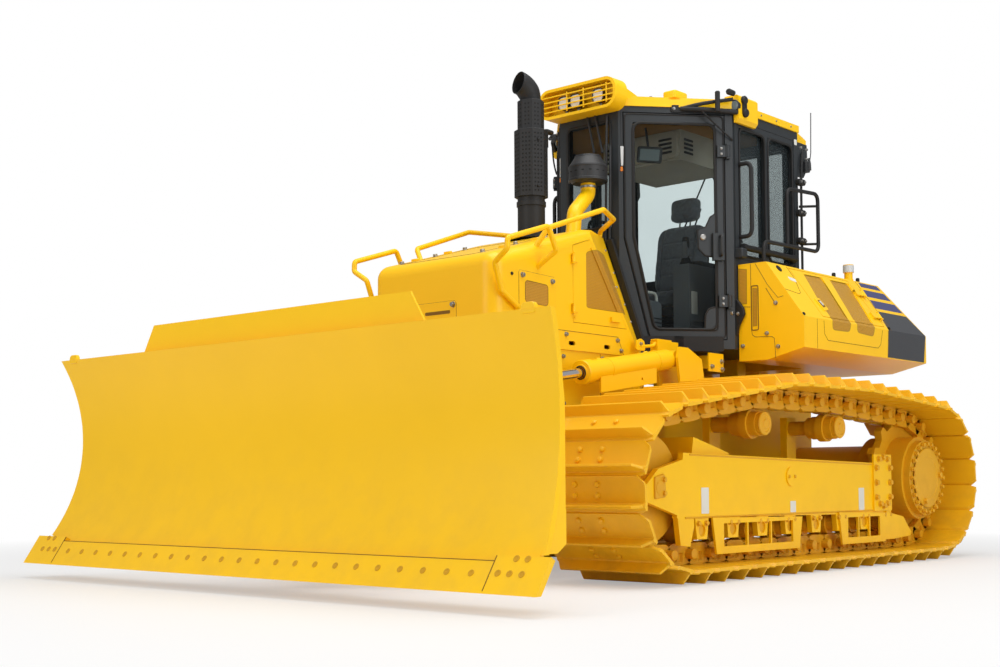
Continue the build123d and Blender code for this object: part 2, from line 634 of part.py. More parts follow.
def hood():
    """Upper shell over the engine with slanted facets at its rear corners and a rear bulkhead."""
    outer = rounded_hood(0, 0)
    inside = rounded_hood(HOOD_WALL, 30)
    lining = block((RECESS_X - HOOD_WALL, HOOD_FRONT + 50), (RECESS_HALF - HOOD_WALL, HOOD_HALF + 50),
                   (HOOD_LOW - 60, RECESS_TOP + HOOD_WALL))
    bulkhead = block((HOOD_REAR_X, HOOD_REAR_X + HOOD_WALL), (-HOOD_HALF, HOOD_HALF), (RECESS_TOP, HOOD_REAR_TOP)) & outer
    facet = (beyond_fold(HOOD_WALL) - beyond_fold(0)) & outer
    shell = outer - (inside - [lining, mirrored(lining)])
    bay = side_prism(bay_outline(0), (HOOD_HALF - 60, HOOD_HALF + 10))
    stack_hole = rod((STACK_X, 0, 2000), (STACK_X, 0, 2200), STACK_FOOT_R + DOOR_GAP)
    below = block((CAB_FRONT - 300, HOOD_FRONT + 50), (-HOOD_HALF - 50, HOOD_HALF + 50), (HOOD_LOW - 50, RECESS_TOP))
    side_cuts = [beyond_fold(0), bay, *hood_slots()]
    cuts = side_cuts + [mirrored(cut) for cut in side_cuts] + [stack_hole, below]
    facet = facet - below
    pins = bay_hinge_pins()
    walls = fuse(shell, bulkhead) - cuts
    return fuse(walls, facet, mirrored(facet), pins, [mirrored(pin) for pin in pins])


def hood_skirts():
    """Flat panels under the hood and the sills that they stand on; the front panels are set in."""
    low, high = HOOD_LOW, RECESS_TOP - SEAT_GAP
    sill = (HOOD_LOW - SEAT_GAP - SILL_THICK, HOOD_LOW - SEAT_GAP)
    sill_root = HULL_HALF + 5 + SEAT_GAP
    set_in = RECESS_HALF - HOOD_WALL
    panel = (HOOD_HALF - HOOD_WALL - SKIRT_SET_IN, HOOD_HALF - SKIRT_SET_IN)
    rear = fold_x(RECESS_TOP)
    rear_y = HOOD_HALF - (rear - HOOD_REAR_X) / FOLD_OUT
    parts = [block((HOOD_FRONT - HOOD_WALL, HOOD_FRONT), (-set_in + SEAT_GAP, set_in - SEAT_GAP), (low, high))]
    facet = plan_prism(((HOOD_REAR_X, rear_y), (rear - SEAT_GAP, panel[1]), (rear - SEAT_GAP, panel[0]),
                        (HOOD_REAR_X, rear_y - HOOD_WALL)), (LIFT_SHELF[1] + SEAT_GAP, high))
    side = [facet,
            block((HOOD_REAR_X, HOOD_REAR_X + HOOD_WALL), (sill_root, rear_y - HOOD_WALL - SEAT_GAP),
                  (LIFT_SHELF[1] + SEAT_GAP, high)),
            block((rear, RECESS_X - HOOD_WALL - SEAT_GAP), panel, (low, high)),
            block((RECESS_X - HOOD_WALL, RECESS_X), (set_in, panel[1]), (low, high)),
            block((RECESS_X + SEAT_GAP, HOOD_FRONT), (set_in, RECESS_HALF), (low, high)),
            block((rear, RECESS_X), (sill_root, HOOD_HALF + 6), sill),
            block((RECESS_X + SEAT_GAP, HULL_FRONT - 60), (sill_root, RECESS_HALF + 6), sill)]
    return parts + side + [mirrored(part) for part in side]


def hood_body():
    """The space inside the hood's outer faces."""
    return rounded_hood(0, 0)


def engine_door(sign):
    """Flat side door with its handle, filling the bay in the hood's side."""
    gap = DOOR_GAP / 2
    panel = side_prism(bay_outline(gap), (HOOD_HALF - HOOD_WALL, HOOD_HALF))
    low, high = BAY_LOW + 100, BAY_PEAK - 50
    field = ((BAY_FRONT - 130, low), (fold_x(low) + 50, low), (fold_x(high) + 50, high), (BAY_FRONT - 130, BAY_HIGH - 20))
    window = side_prism(field, (HOOD_HALF - 6, HOOD_HALF + 5))
    handle = block((250, 340), (HOOD_HALF - 1, HOOD_HALF + 16), (BAY_LOW + 34, BAY_LOW + 62))
    parts = [panel - window, handle]
    y = HOOD_HALF + BAY_HINGE_OUT
    for z in BAY_HINGE_HEIGHTS:
        leaf = block((BAY_FRONT - 30, BAY_HINGE_X), (y - BAY_PIN_R - 1, y + BAY_PIN_R + 1), (z - 20, z + 20))
        foot = block((BAY_FRONT - 30, BAY_FRONT - 8), (HOOD_HALF - 1, y), (z - 20, z + 20))
        eye = rod((BAY_HINGE_X, y, z - 20), (BAY_HINGE_X, y, z + 20), BAY_PIN_R + 5)
        bore = rod((BAY_HINGE_X, y, z - 25), (BAY_HINGE_X, y, z + 25), BAY_PIN_R + SEAT_GAP)
        parts.append(fuse(leaf, foot, eye) - bore)
    return on_side(fuse(*parts), sign)


def bay_hinge_pins():
    """Pins on the hood for the left engine door, each between two small ears."""
    y = HOOD_HALF + BAY_HINGE_OUT
    parts = []
    for z in BAY_HINGE_HEIGHTS:
        parts.append(rod((BAY_HINGE_X, y, z - 30), (BAY_HINGE_X, y, z + 30), BAY_PIN_R))
        for low in (z - 30, z + 22):
            parts.append(block((BAY_HINGE_X - 7, BAY_HINGE_X + 12), (HOOD_HALF - 2, y + 9), (low, low + 8)))
    return parts


def engine_block():
    """Plain block for the engine, on its mounts."""
    return fuse(block((60, 1150), (-290, 290), (1075, ENGINE_TOP)), block((300, 900), (-300, 300), (HULL_TOP, 1080)))


def exhaust_stack():
    """Upright pipe inside a wider shield, bent forward at the top."""
    x = STACK_X
    base = HOOD_CREST_TOP
    pipe = tube(((x, 0, base - 10), (x, 0, base + 910), (x + 78, 0, base + 1050)), 62.0, 90.0)
    low = Pos(x, 0, base + 260) * extrude(RegularPolygon(108, 8), 430, both=False)
    high = Pos(x, 0, base + 690) * extrude(RegularPolygon(86, 8), 190, both=False)
    foot = rod((x, 0, ENGINE_TOP), (x, 0, base + 280), STACK_FOOT_R)
    mouth = rod((x + 60, 0, base + 1023), (x + 120, 0, base + 1131), 50.0)
    return fuse(pipe, low, high, foot) - mouth


def intake_pipe():
    """Yellow pipe that leans back from the hood and turns up to the bowl."""
    base = HOOD_CREST_TOP
    points = ((332, 200, base - 50), (300, 195, base + 170), (BOWL_X, BOWL_Y, base + 320), (BOWL_X, BOWL_Y, base + 390))
    return tube(points, 48.0, 68.0) - hood_body()


def precleaner():
    """Round bowl over the intake pipe."""
    profile = ((0, 0), (100, 0), (126, 20), (126, 110), (100, 150), (82, 178), (0, 182))
    face = Face(Wire.make_polygon([Vector(r, 0, z) for r, z in profile], close=True))
    return Pos(BOWL_X, BOWL_Y, HOOD_CREST_TOP + 390 + SEAT_GAP) * revolve(face, Axis.Z, 360)


def hood_rails():
    """Handrails along both sides of the hood."""
    front = ((1208, 470, 1540), (1235, 522, 1553), (1372, 520, 1633), (1432, 522, 1785), (1441, 625, 1850), (1438, 625, 1910),
             (1085, 625, 2022), (1012, 625, 1890), (1032, 470, 1790))
    rear = ((1020, 440, 1890), (985, 540, 2035), (476, 560, 2212), (200, 430, 2207), (8, 172, 2185), (8, 172, 2130))
    left = [tube(front, 16.0, 26.0) - hood_body(), tube(rear, 16.0, 36.0) - hood_body()]
    return left + [mirrored(rail) for rail in left]


# ---- cab --------------------------------------------------------------------
def cab_plan(inset):
    """Six-sided plan of the cab, drawn in by an inset; corners run from the front left round."""
    tilt = math.atan2(CAB_FRONT - CAB_KNEE, CAB_HALF - CAB_FRONT_HALF)
    slant = inset * math.tan(math.pi / 4 - tilt / 2)
    knee = inset * math.tan(tilt / 2)
    front = (CAB_FRONT - inset, CAB_FRONT_HALF - inset * math.tan((math.pi / 2 - tilt) / 2))
    side = (CAB_KNEE - inset * math.tan(tilt / 2), CAB_HALF - inset)
    rear = (CAB_REAR + inset, CAB_HALF - inset)
    left = [front, side, rear]
    return left + [(x, -y) for x, y in reversed(left)]


DOOR_SPAN = math.hypot(CAB_FRONT - CAB_KNEE, CAB_FRONT_HALF - CAB_HALF)
DOOR_ALONG = Vector((CAB_FRONT - CAB_KNEE) / DOOR_SPAN, (CAB_FRONT_HALF - CAB_HALF) / DOOR_SPAN, 0)
DOOR_OUT = Vector(-DOOR_ALONG.Y, DOOR_ALONG.X, 0)


def door_outline(grow):
    """Door outline in its own plane as (along, up), grown outwards by a gap."""
    low_front = DOOR_SPAN - 196.0
    return ((58 - grow, DOOR_SILL - grow), (low_front + grow * 0.6, DOOR_SILL - grow), (DOOR_SPAN - 36 + grow, 2150),
            (DOOR_SPAN - 36 + grow, DOOR_HEAD + grow), (58 - grow, DOOR_HEAD + grow))


def on_door(outline, low, high):
    """Solid on the left door's plane between two depths."""
    corner = Vector(CAB_KNEE, CAB_HALF, 0) + DOOR_OUT * low
    points = [corner + DOOR_ALONG * x + Vector(0, 0, z) for x, z in outline]
    return prism(points, DOOR_OUT * (high - low))


def window_outline(margin):
    """Glass outline inside the door's frame."""
    low_front = DOOR_SPAN - 196.0
    return ((58 + margin, DOOR_SILL + margin), (low_front - margin * 0.55, DOOR_SILL + margin),
            (DOOR_SPAN - 36 - margin, 2150 + margin * 0.2), (DOOR_SPAN - 36 - margin, DOOR_HEAD - margin),
            (58 + margin, DOOR_HEAD - margin))


def cab_frame():
    """Hollow six-sided shell with window and door openings and a floor."""
    outer = plan_prism(cab_plan(0), (CAB_FLOOR, CAB_TOP))
    inside = plan_prism(cab_plan(CAB_WALL), (CAB_FLOOR + 40, CAB_TOP + 10))
    shell = outer - inside
    door_hole = on_door(door_outline(DOOR_GAP), -CAB_WALL - 60, 60)
    front = block((CAB_FRONT - CAB_WALL - 20, CAB_FRONT + 20), (-CAB_FRONT_HALF + 62, CAB_FRONT_HALF - 62), (2235, CAB_TOP - 90))
    rear = block((CAB_REAR - 20, CAB_REAR + CAB_WALL + 20), (-CAB_HALF + 90, CAB_HALF - 90), (2080, CAB_TOP - 120))
    sides = [block(x, (CAB_HALF - CAB_WALL - 20, CAB_HALF + 20), (CAB_SILL + 50, CAB_TOP - WINDOW_HEAD)) for x in SIDE_WINDOWS]
    cuts = [door_hole, mirrored(door_hole), front, rear]
    cuts += sides + [mirrored(side) for side in sides]
    fixed = hinge_pins() + [rear_ear()]
    return fuse(shell - cuts, fixed, [mirrored(part) for part in fixed])


def rear_ear():
    """Plate behind the cab's left rear pillar that holds up the roof's rear slope."""
    top = CAB_TOP - 65
    outline = ((CAB_REAR + 5, top), (CAB_REAR - 135, top), (CAB_REAR - 145, top - 165), (CAB_REAR - 85, top - 245), (CAB_REAR + 5, top - 245))
    return side_prism(outline, (CAB_HALF - 20, CAB_HALF))


SIDE_WINDOWS = ((-1105.0, -775.0), (-1475.0, -1145.0))


def cab_glass():
    """Front, rear and side panes in their openings."""
    panes = [block((CAB_FRONT - 34, CAB_FRONT - 34 + GLASS), (-CAB_FRONT_HALF + 62, CAB_FRONT_HALF - 62), (2235, CAB_TOP - 90)),
             block((CAB_REAR + 26, CAB_REAR + 26 + GLASS), (-CAB_HALF + 90, CAB_HALF - 90), (2080, CAB_TOP - 120))]
    for x in SIDE_WINDOWS:
        pane = block(x, (CAB_HALF - 34, CAB_HALF - 34 + GLASS), (CAB_SILL + 50, CAB_TOP - WINDOW_HEAD))
        panes += [pane, mirrored(pane)]
    return panes


def cab_door(sign):
    """Door frame round its window, with a handle block and two hinge knuckles."""
    frame = on_door(door_outline(0), -DOOR_THICK, 0) - on_door(window_outline(62), -DOOR_THICK - 5, 5)
    handle = on_door(((75, 2010), (150, 2010), (150, 2190), (75, 2190)), -1, 34)
    parts = [frame, handle]
    for z in HINGE_HEIGHTS:
        leaf = on_door(((HINGE_ALONG, z - 38), (112, z - 38), (112, z + 38), (HINGE_ALONG, z + 38)), HINGE_OUT - 6, HINGE_OUT + 6)
        foot = on_door(((66, z - 38), (112, z - 38), (112, z + 38), (66, z + 38)), -1, HINGE_OUT)
        eye = hinge_bar(z - 38, z + 38, HINGE_PIN_R + 8)
        parts.append(fuse(leaf, foot, eye) - hinge_bar(z - 40, z + 40, HINGE_PIN_R + SEAT_GAP))
    return on_side(fuse(*parts), sign)


def hinge_bar(low, high, radius):
    """Upright bar on the left cab door's hinge axis."""
    foot = Vector(CAB_KNEE, CAB_HALF, 0) + DOOR_ALONG * HINGE_ALONG + DOOR_OUT * HINGE_OUT
    return rod(foot + Vector(0, 0, low), foot + Vector(0, 0, high), radius)


def hinge_pins():
    """Pins on the cab's left rear pillar, each between two ears."""
    parts = []
    for z in HINGE_HEIGHTS:
        parts.append(hinge_bar(z - 50, z + 50, HINGE_PIN_R))
        for low in (z - 50, z + 40):
            ear = ((HINGE_ALONG - 16, low), (HINGE_ALONG + 10, low), (HINGE_ALONG + 10, low + 10), (HINGE_ALONG - 16, low + 10))
            parts.append(on_door(ear, -2, HINGE_OUT + 12))
    return parts


def door_glass(sign):
    """Pane in the door's window."""
    return on_side(on_door(window_outline(62), -24, -24 + GLASS), sign)


def housing_band(grow, x):
    """Rounded rectangle of the front lamp housing between two places along X, grown outwards."""
    plane = Plane(origin=(x[0], 0, (LAMP_LOW + LAMP_HIGH) / 2), x_dir=(0, 1, 0), z_dir=(1, 0, 0))
    outline = RectangleRounded(2 * (LAMP_HALF + grow), LAMP_HIGH - LAMP_LOW + 2 * grow, LAMP_CORNER + grow)
    return extrude(plane * outline, x[1] - x[0])


def lamp_housing():
    """Deep rounded box for the front lamps with cross bars before them and a brow back to the roof."""
    back = CAB_FRONT + 4
    box = housing_band(0, (back, LAMP_FRONT)) - housing_band(-LAMP_WALL, (back + 12, LAMP_FRONT + 5))
    top = CAB_TOP + ROOF_THICK
    brow = side_prism(((LAMP_FRONT - 40, LAMP_HIGH - 1), (CAB_FRONT - 330, top + 15), (CAB_FRONT - 330, top - 5), (back, top - 5)),
                      (-LAMP_HALF + 60, LAMP_HALF - 60))
    bars = [block((LAMP_FRONT - 14, LAMP_FRONT - 4), (-LAMP_HALF + 12, LAMP_HALF - 12), (z - 4, z + 4))
            for z in spread(LAMP_LOW + 52, LAMP_HIGH - 52, LAMP_BARS)]
    return [box, brow - housing_band(-LAMP_WALL, (back + 12, LAMP_FRONT + 5)), *bars]


def side_lamp_box():
    """Box on the left edge of the roof, hanging over the cab's side."""
    edge, top = CAB_HALF + 10, CAB_TOP + ROOF_THICK
    section = ((edge + 0.3, top - 140), (edge + 20, top - 140), (edge + 40, top - 115), (edge + 40, top + 30), (edge + 25, top + 45),
               (edge - 70, top + 45), (edge - 70, top - 1), (edge + 0.3, top - 1))
    return front_prism(section, SIDE_LAMP_X)


def cab_roof():
    """Roof plate and crown with the lamp housings and a slope behind."""
    top = CAB_TOP + ROOF_THICK
    plate = plan_prism(cab_plan(-10), (CAB_TOP + SEAT_GAP, top))
    crown = plan_prism(cab_plan(70), (top - 1, top + 35))
    tail = side_prism(((CAB_REAR + 15, top), (CAB_REAR - 25, top), (CAB_REAR - 215, CAB_TOP - 10), (CAB_REAR - 215, CAB_TOP - 45),
                       (CAB_REAR - 1.0, CAB_TOP - 45), (CAB_REAR - 1.0, CAB_TOP + SEAT_GAP), (CAB_REAR + 15, CAB_TOP + SEAT_GAP)),
                      (-CAB_HALF + 50, CAB_HALF - 50))
    lamps = side_lamp_box()
    return fuse(plate, crown, tail, *lamp_housing(), lamps, mirrored(lamps))


def work_lamps():
    """Three lamps in the roof housing, each a short round body on its back wall."""
    back = CAB_FRONT + 4 + 12 + SEAT_GAP
    z = (LAMP_LOW + LAMP_HIGH) / 2
    return [rod((back, y, z), (LAMP_FRONT - 30, y, z), LAMP_R) for y in LAMP_PLACES]


def operator_seat():
    """Seat on its pedestal with a back and a head rest."""
    pedestal = block((-1180, -800), (-180, 180), (CAB_FLOOR + 40, CAB_FLOOR + 330))
    cushion = block((-1210, -720), (-240, 240), (CAB_FLOOR + 330, CAB_FLOOR + 470))
    back = side_prism(((-1210, CAB_FLOOR + 440), (-1085, CAB_FLOOR + 440), (-1180, CAB_FLOOR + 1010), (-1300, CAB_FLOOR + 1010)), (-230, 230))
    head = side_prism(((-1290, CAB_FLOOR + 1000), (-1195, CAB_FLOOR + 1000), (-1215, CAB_FLOOR + 1200), (-1305, CAB_FLOOR + 1200)), (-130, 130))
    return fuse(pedestal, cushion, back, head)


def consoles():
    """Arm-rest consoles beside the seat and the dash in front."""
    floor = CAB_FLOOR + 40
    arms = [block((-1100, -640), sorted((sign * 300, sign * 430)), (floor, floor + 560)) for sign in (1, -1)]
    dash = side_prism(((-330, floor), (-180, floor), (-180, floor + 760), (-330, floor + 700)), (-150, 150))
    sticks = [rod((-700, sign * 365, floor + 550), (-690, sign * 365, floor + 720), 22.0) for sign in (1, -1)]
    return [fuse(arm, stick) for arm, stick in zip(arms, sticks)] + [dash]


def headliner_unit():
    """Ceiling box with the air outlets."""
    return block((-1350, -700), (-330, 330), (CAB_TOP - HEADLINER_DROP, CAB_TOP))


def cab_rails():
    """Grab rails on the cab's rear pillars and above the fenders."""
    y = CAB_HALF
    parts = []
    for x, low, high in ((-770.0, 2110.0, 2730.0), (-1490.0, 2090.0, 2640.0)):
        parts.append(tube(((x, y, low), (x, y + 95, low), (x, y + 95, high), (x, y, high)), 15.0, 45.0))
    parts.append(tube(((-860, y, 2045), (-860, y + 150, 2045), (-1420, y + 150, 2045), (-1420, y, 2045)), 14.0, 45.0))
    return parts + [mirrored(part) for part in parts]


# ---- rear body --------------------------------------------------------------
def fender_section():
    """Front view of the left fender as (y, z)."""
    return ((FENDER_INNER, FENDER_LOW), (FENDER_LOW_EDGE, FENDER_LOW), (FENDER_OUTER, FENDER_SIDE_LOW),
            (FENDER_OUTER, FENDER_SHOULDER), (FENDER_EDGE, FENDER_TOP), (FENDER_INNER, FENDER_TOP))


def rear_body():
    """Two fenders beside the cab and the cooler housing."""
    fender = front_prism(fender_section(), (FENDER_REAR, FENDER_FRONT))
    slope = side_prism(((FENDER_TOP_REAR, FENDER_TOP + 60), (FENDER_REAR, FENDER_SHOULDER), (FENDER_REAR - 80, FENDER_SHOULDER),
                        (FENDER_REAR - 80, FENDER_TOP + 60)), (FENDER_INNER - 5, FENDER_OUTER + 20))
    hole = on_slant(side_door_outline(DOOR_GAP / 2), -SIDE_DOOR_THICK - SEAT_GAP, 30)
    half = fender - slope - hole
    x, y, foot = FILLER_X, FILLER_Y, FENDER_TOP - 1
    filler = [rod((x, y, foot), (x, y, FENDER_TOP + 60), 30.0), rod((x, y, FENDER_TOP + 60), (x, y, FENDER_TOP + 118), 37.0)]
    right = mirrored(fuse(half, side_hinge_pins()))
    return [fuse(half, side_hinge_pins(), filler), right]


def cooler_housing():
    """Plates round the fan's space behind the cab, open at the rear."""
    half = FENDER_INNER - SEAT_GAP
    inner = half - HOUSING_WALL
    step = CAB_REAR - DOOR_GAP
    low, high = FENDER_LOW, BODY_TOP
    core = block((HOUSING_CORE, step), (-half, half), (low, high))
    back = HOUSING_CORE - SEAT_GAP
    floor = block((FENDER_REAR, back), (-inner + SEAT_GAP, inner - SEAT_GAP), (low, low + HOUSING_FLOOR))
    crest = FENDER_TOP_REAR + HOUSING_LEAN
    wall = side_prism(((back, low), (FENDER_REAR, low), (FENDER_REAR, FENDER_SHOULDER), (FENDER_TOP_REAR, high), (back, high)),
                      (inner, half))
    top = side_prism(((back, high - HOUSING_ROOF), (crest, high - HOUSING_ROOF), (FENDER_TOP_REAR, high), (back, high)),
                     (-inner + SEAT_GAP, inner - SEAT_GAP))
    lean = side_prism(((crest - SEAT_GAP, high - HOUSING_ROOF), (FENDER_TOP_REAR - SEAT_GAP, high), (FENDER_REAR, FENDER_SHOULDER),
                       (FENDER_REAR, FENDER_SHOULDER - HOUSING_ROOF)), (-inner + SEAT_GAP, inner - SEAT_GAP))
    return [core, floor, mirrored(wall), fuse(wall, grille_pins()), top, lean]


SIDE_DOOR_THICK = 26.0
SIDE_PIN_X = 1905.0     # distance behind the middle of the slanted door's hinge axis
SIDE_PIN_OUT = 12.0
SIDE_PIN_R = 5.0
GRILLE_PIN_OUT = 40.0   # behind the rear body's face
GRILLE_PIN_R = 7.0
GRILLE_PIN_Y = FENDER_INNER - 32.0
SLANT = math.hypot(FENDER_OUTER - FENDER_EDGE, FENDER_TOP - FENDER_SHOULDER)
SIDE_DOOR_PLANE = Plane(origin=(0, FENDER_EDGE, FENDER_TOP), x_dir=(-1, 0, 0),
                        z_dir=(0, (FENDER_TOP - FENDER_SHOULDER) / SLANT, (FENDER_OUTER - FENDER_EDGE) / SLANT))


def on_slant(outline, low, high):
    """Solid on the fender's slanted side; outline is (distance back, distance up the slant)."""
    plane = SIDE_DOOR_PLANE
    corners = [plane.from_local_coords((x, y, low)) for x, y in outline]
    face = Face(Wire.make_polygon(corners, close=True))
    return Solid.extrude(face, plane.z_dir * (high - low))


def side_door_outline(grow):
    """Slanted door's outline behind the front of the fender."""
    low, high = -SLANT + 25 - grow, -20 + grow
    first, last = 1010.0 - grow, 1830.0 + grow
    return ((first, high), (last, high), (last + 60, low), (first, low))


def side_door(sign):
    """Slanted door with two sunk mesh fields and a latch."""
    panel = on_slant(side_door_outline(-DOOR_GAP / 2), -SIDE_DOOR_THICK, 0)
    fields = [on_slant(outline, -6, 5) for outline in (((1180, -46), (1436, -42), (1368, -425), (1127, -425), (1127, -262)),
                                                       ((1540, -47), (1815, -48), (1738, -425), (1452, -425)))]
    return on_side(fuse(panel - fields, side_door_eyes()), sign)


def slant_bar(x, low, high, radius):
    """Round bar up the slanted side, proud of it, at a distance back."""
    plane = SIDE_DOOR_PLANE
    start, end = [plane.from_local_coords((x, y, SIDE_PIN_OUT)) for y in (low, high)]
    return rod(start, end, radius)


def side_pin_places():
    """Distances down the slant of the two hinges."""
    return [-SLANT * share for share in (0.3, 0.75)]


def side_hinge_pins():
    """Pins behind the left slanted door, each between two ears."""
    parts = []
    for y in side_pin_places():
        parts.append(slant_bar(SIDE_PIN_X, y - 34, y + 34, SIDE_PIN_R))
        for low in (y - 34, y + 26):
            ear = ((SIDE_PIN_X - 9, low), (SIDE_PIN_X + 14, low), (SIDE_PIN_X + 14, low + 8), (SIDE_PIN_X - 9, low + 8))
            parts.append(on_slant(ear, -2, SIDE_PIN_OUT + 9))
    return parts


def side_door_eyes():
    """Leaves on the left slanted door that turn on the pins."""
    parts = []
    for y in side_pin_places():
        leaf = ((SIDE_PIN_X - 110, y - 24), (SIDE_PIN_X, y - 24), (SIDE_PIN_X, y + 24), (SIDE_PIN_X - 110, y + 24))
        foot = ((SIDE_PIN_X - 110, y - 24), (SIDE_PIN_X - 66, y - 24), (SIDE_PIN_X - 66, y + 24), (SIDE_PIN_X - 110, y + 24))
        eye = fuse(on_slant(leaf, SIDE_PIN_OUT - 4, SIDE_PIN_OUT + 4), on_slant(foot, -1, SIDE_PIN_OUT + 4),
                   slant_bar(SIDE_PIN_X, y - 24, y + 24, SIDE_PIN_R + 5))
        parts.append(eye - slant_bar(SIDE_PIN_X, y - 30, y + 30, SIDE_PIN_R + SEAT_GAP))
    return parts


def rear_grille_door():
    """Frame with upright bars over the cooler fan."""
    x = (FENDER_REAR - 34, FENDER_REAR - SEAT_GAP)
    half = FENDER_INNER - 60
    low, high = FENDER_LOW + 20, FENDER_SHOULDER - 12
    frame = block(x, (-half, half), (low, high)) - block((x[0] - 5, x[1] + 5), (-half + 60, half - 60), (low + 45, high - 45))
    bars = [block((x[0] + 8, x[1] - 8), (y - 5, y + 5), (low + 40, high - 40)) for y in spread(-half + 95, half - 95, 15)]
    eyes = []
    for z in grille_pin_heights():
        eye = fuse(block((x[0] + 4, x[0] + 16), (half - 30, GRILLE_PIN_Y), (z - 20, z + 20)), grille_bar(z - 20, z + 20, GRILLE_PIN_R + 7))
        eyes.append(eye - grille_bar(z - 25, z + 25, GRILLE_PIN_R + SEAT_GAP))
    return fuse(frame, *bars, *eyes)


def grille_bar(low, high, radius):
    """Upright bar on the cooler door's hinge axis."""
    return rod((FENDER_REAR - GRILLE_PIN_OUT, GRILLE_PIN_Y, low), (FENDER_REAR - GRILLE_PIN_OUT, GRILLE_PIN_Y, high), radius)


def grille_pin_heights():
    """Heights of the cooler door's two hinges."""
    return (FENDER_LOW + 70, FENDER_SHOULDER - 60)


def grille_pins():
    """Pins on the rear body for the cooler door, each between two ears."""
    parts = []
    for z in grille_pin_heights():
        parts.append(grille_bar(z - 32, z + 32, GRILLE_PIN_R))
        for low in (z - 32, z + 22):
            parts.append(block((FENDER_REAR - GRILLE_PIN_OUT - 12, FENDER_REAR + 2), (GRILLE_PIN_Y - 8, GRILLE_PIN_Y + 14), (low, low + 10)))
    return parts


def radiator_fan():
    """Fan with a hub and seven blades on the cooler's axis."""
    z = FAN_Z
    hub = rod((FAN_X - 45, 0, z), (FAN_X + 45, 0, z), 60.0)
    shaft = rod((FAN_X + 40, 0, z), (HOUSING_CORE - SEAT_GAP, 0, z), 22.0)
    blades = []
    for index in range(7):
        blade = Box(12, 60, 140)
        blades.append(Pos(FAN_X, 0, z) * Rot(360 * index / 7, 0, 0) * Pos(0, 0, 120) * Rot(0, 0, 35) * blade)
    return fuse(hub, shaft, *blades)


def drawbar():
    """Rear hitch block with an upright pin bore."""
    body = side_prism(((HULL_REAR - SEAT_GAP, 460), (HULL_REAR - SEAT_GAP, 700), (HULL_REAR - 60, 700), (HULL_REAR - 130, 650),
                       (HULL_REAR - 330, 650), (HULL_REAR - 330, 460)), (-110, 110))
    slot = block((HULL_REAR - 340, HULL_REAR - 120), (-120, 120), (505, 585))
    pin_x = HULL_REAR - 235
    return body - slot - rod((pin_x, 0, 440), (pin_x, 0, 720), DRAWBAR_BORE)


DRAWBAR_BORE = 27.0


# ---- push frame and blade ---------------------------------------------------
def c_frame():
    """Two arms outside the hull, drawn together in front and ending in a forked nose."""
    parts = []
    for sign in (1, -1):
        inner, outer = sign * ARM_INNER, sign * ARM_OUTER
        plan = ((PUSH_PIVOT_X - 110, inner), (PUSH_PIVOT_X - 110, outer), (1690, outer), (2190, sign * 215), (2190, 0),
                (2040, 0), (1560, inner))
        arm = plan_prism(plan, (ARM_LOW, ARM_HIGH))
        bore = rod((PUSH_PIVOT_X, inner - sign * 20, PUSH_PIVOT_Z), (PUSH_PIVOT_X, outer + sign * 20, PUSH_PIVOT_Z), 50.0 + SEAT_GAP)
        parts.append(arm - bore)
        tower = side_prism(((1560, ARM_HIGH - 5), (1620, LIFT_EYE[1] + 10), (1660, LIFT_EYE[1] + TOWER_CROWN), (1740, LIFT_EYE[1] + TOWER_CROWN),
                            (1790, LIFT_EYE[1] - 30), (1850, ARM_HIGH - 5)),
                           sorted((sign * (LIFT_Y - EYE_HALF - SWING_GAP - 22), sign * (LIFT_Y - EYE_HALF - SWING_GAP))))
        outer_tower = side_prism(((1560, ARM_HIGH - 60), (1620, LIFT_EYE[1] + 10), (1660, LIFT_EYE[1] + TOWER_CROWN), (1740, LIFT_EYE[1] + TOWER_CROWN),
                                  (1790, LIFT_EYE[1] - 30), (1850, ARM_HIGH - 60)),
                                 sorted((sign * (LIFT_Y + EYE_HALF + SWING_GAP), sign * (LIFT_Y + EYE_HALF + SWING_GAP + 22))))
        parts += [tower, outer_tower]
        parts.append(block((1570, 1840), sorted((sign * (ARM_OUTER - 40), sign * (LIFT_Y + EYE_HALF + SWING_GAP + 22))), (ARM_HIGH - 70, ARM_HIGH - 10)))
        parts.append(block((1590, 1800), sorted((sign * (LIFT_Y - 60), sign * (LIFT_Y + EYE_HALF + SWING_GAP + 22))), (ARM_HIGH - 20, LIFT_EYE[1] - 150)))
        shelf = sorted((sign * (ANGLE_REAR[1] - 48), sign * (ARM_INNER + 30)))
        parts.append(block((ANGLE_REAR[0] - 60, ANGLE_REAR[0] + 60), shelf, (ARM_HIGH - 60, ARM_HIGH)))
        pin = (ANGLE_REAR[0], sign * ANGLE_REAR[1])
        parts.append(rod((*pin, ARM_HIGH - 5), (*pin, ANGLE_Z - EYE_HALF - SEAT_GAP), 46.0))
        parts.append(rod((*pin, ARM_HIGH - 5), (*pin, ANGLE_Z + EYE_HALF), PIN_R))
    for z in ((SWIVEL_Z - 125, SWIVEL_Z - 95), (SWIVEL_Z + 95, SWIVEL_Z + 125)):
        parts.append(plan_prism(((2060, -215), (2180, -215), (SWIVEL_X + 60, -90), (SWIVEL_X + 60, 90), (2180, 215), (2060, 215)), z))
        parts.append(block((2060, 2190), (-200, 200), (SWIVEL_Z - 125, SWIVEL_Z + 125)))
    parts.append(rod((SWIVEL_X, 0, SWIVEL_Z - 125), (SWIVEL_X, 0, SWIVEL_Z + 125), SWIVEL_R - 20))
    return fuse(*parts)


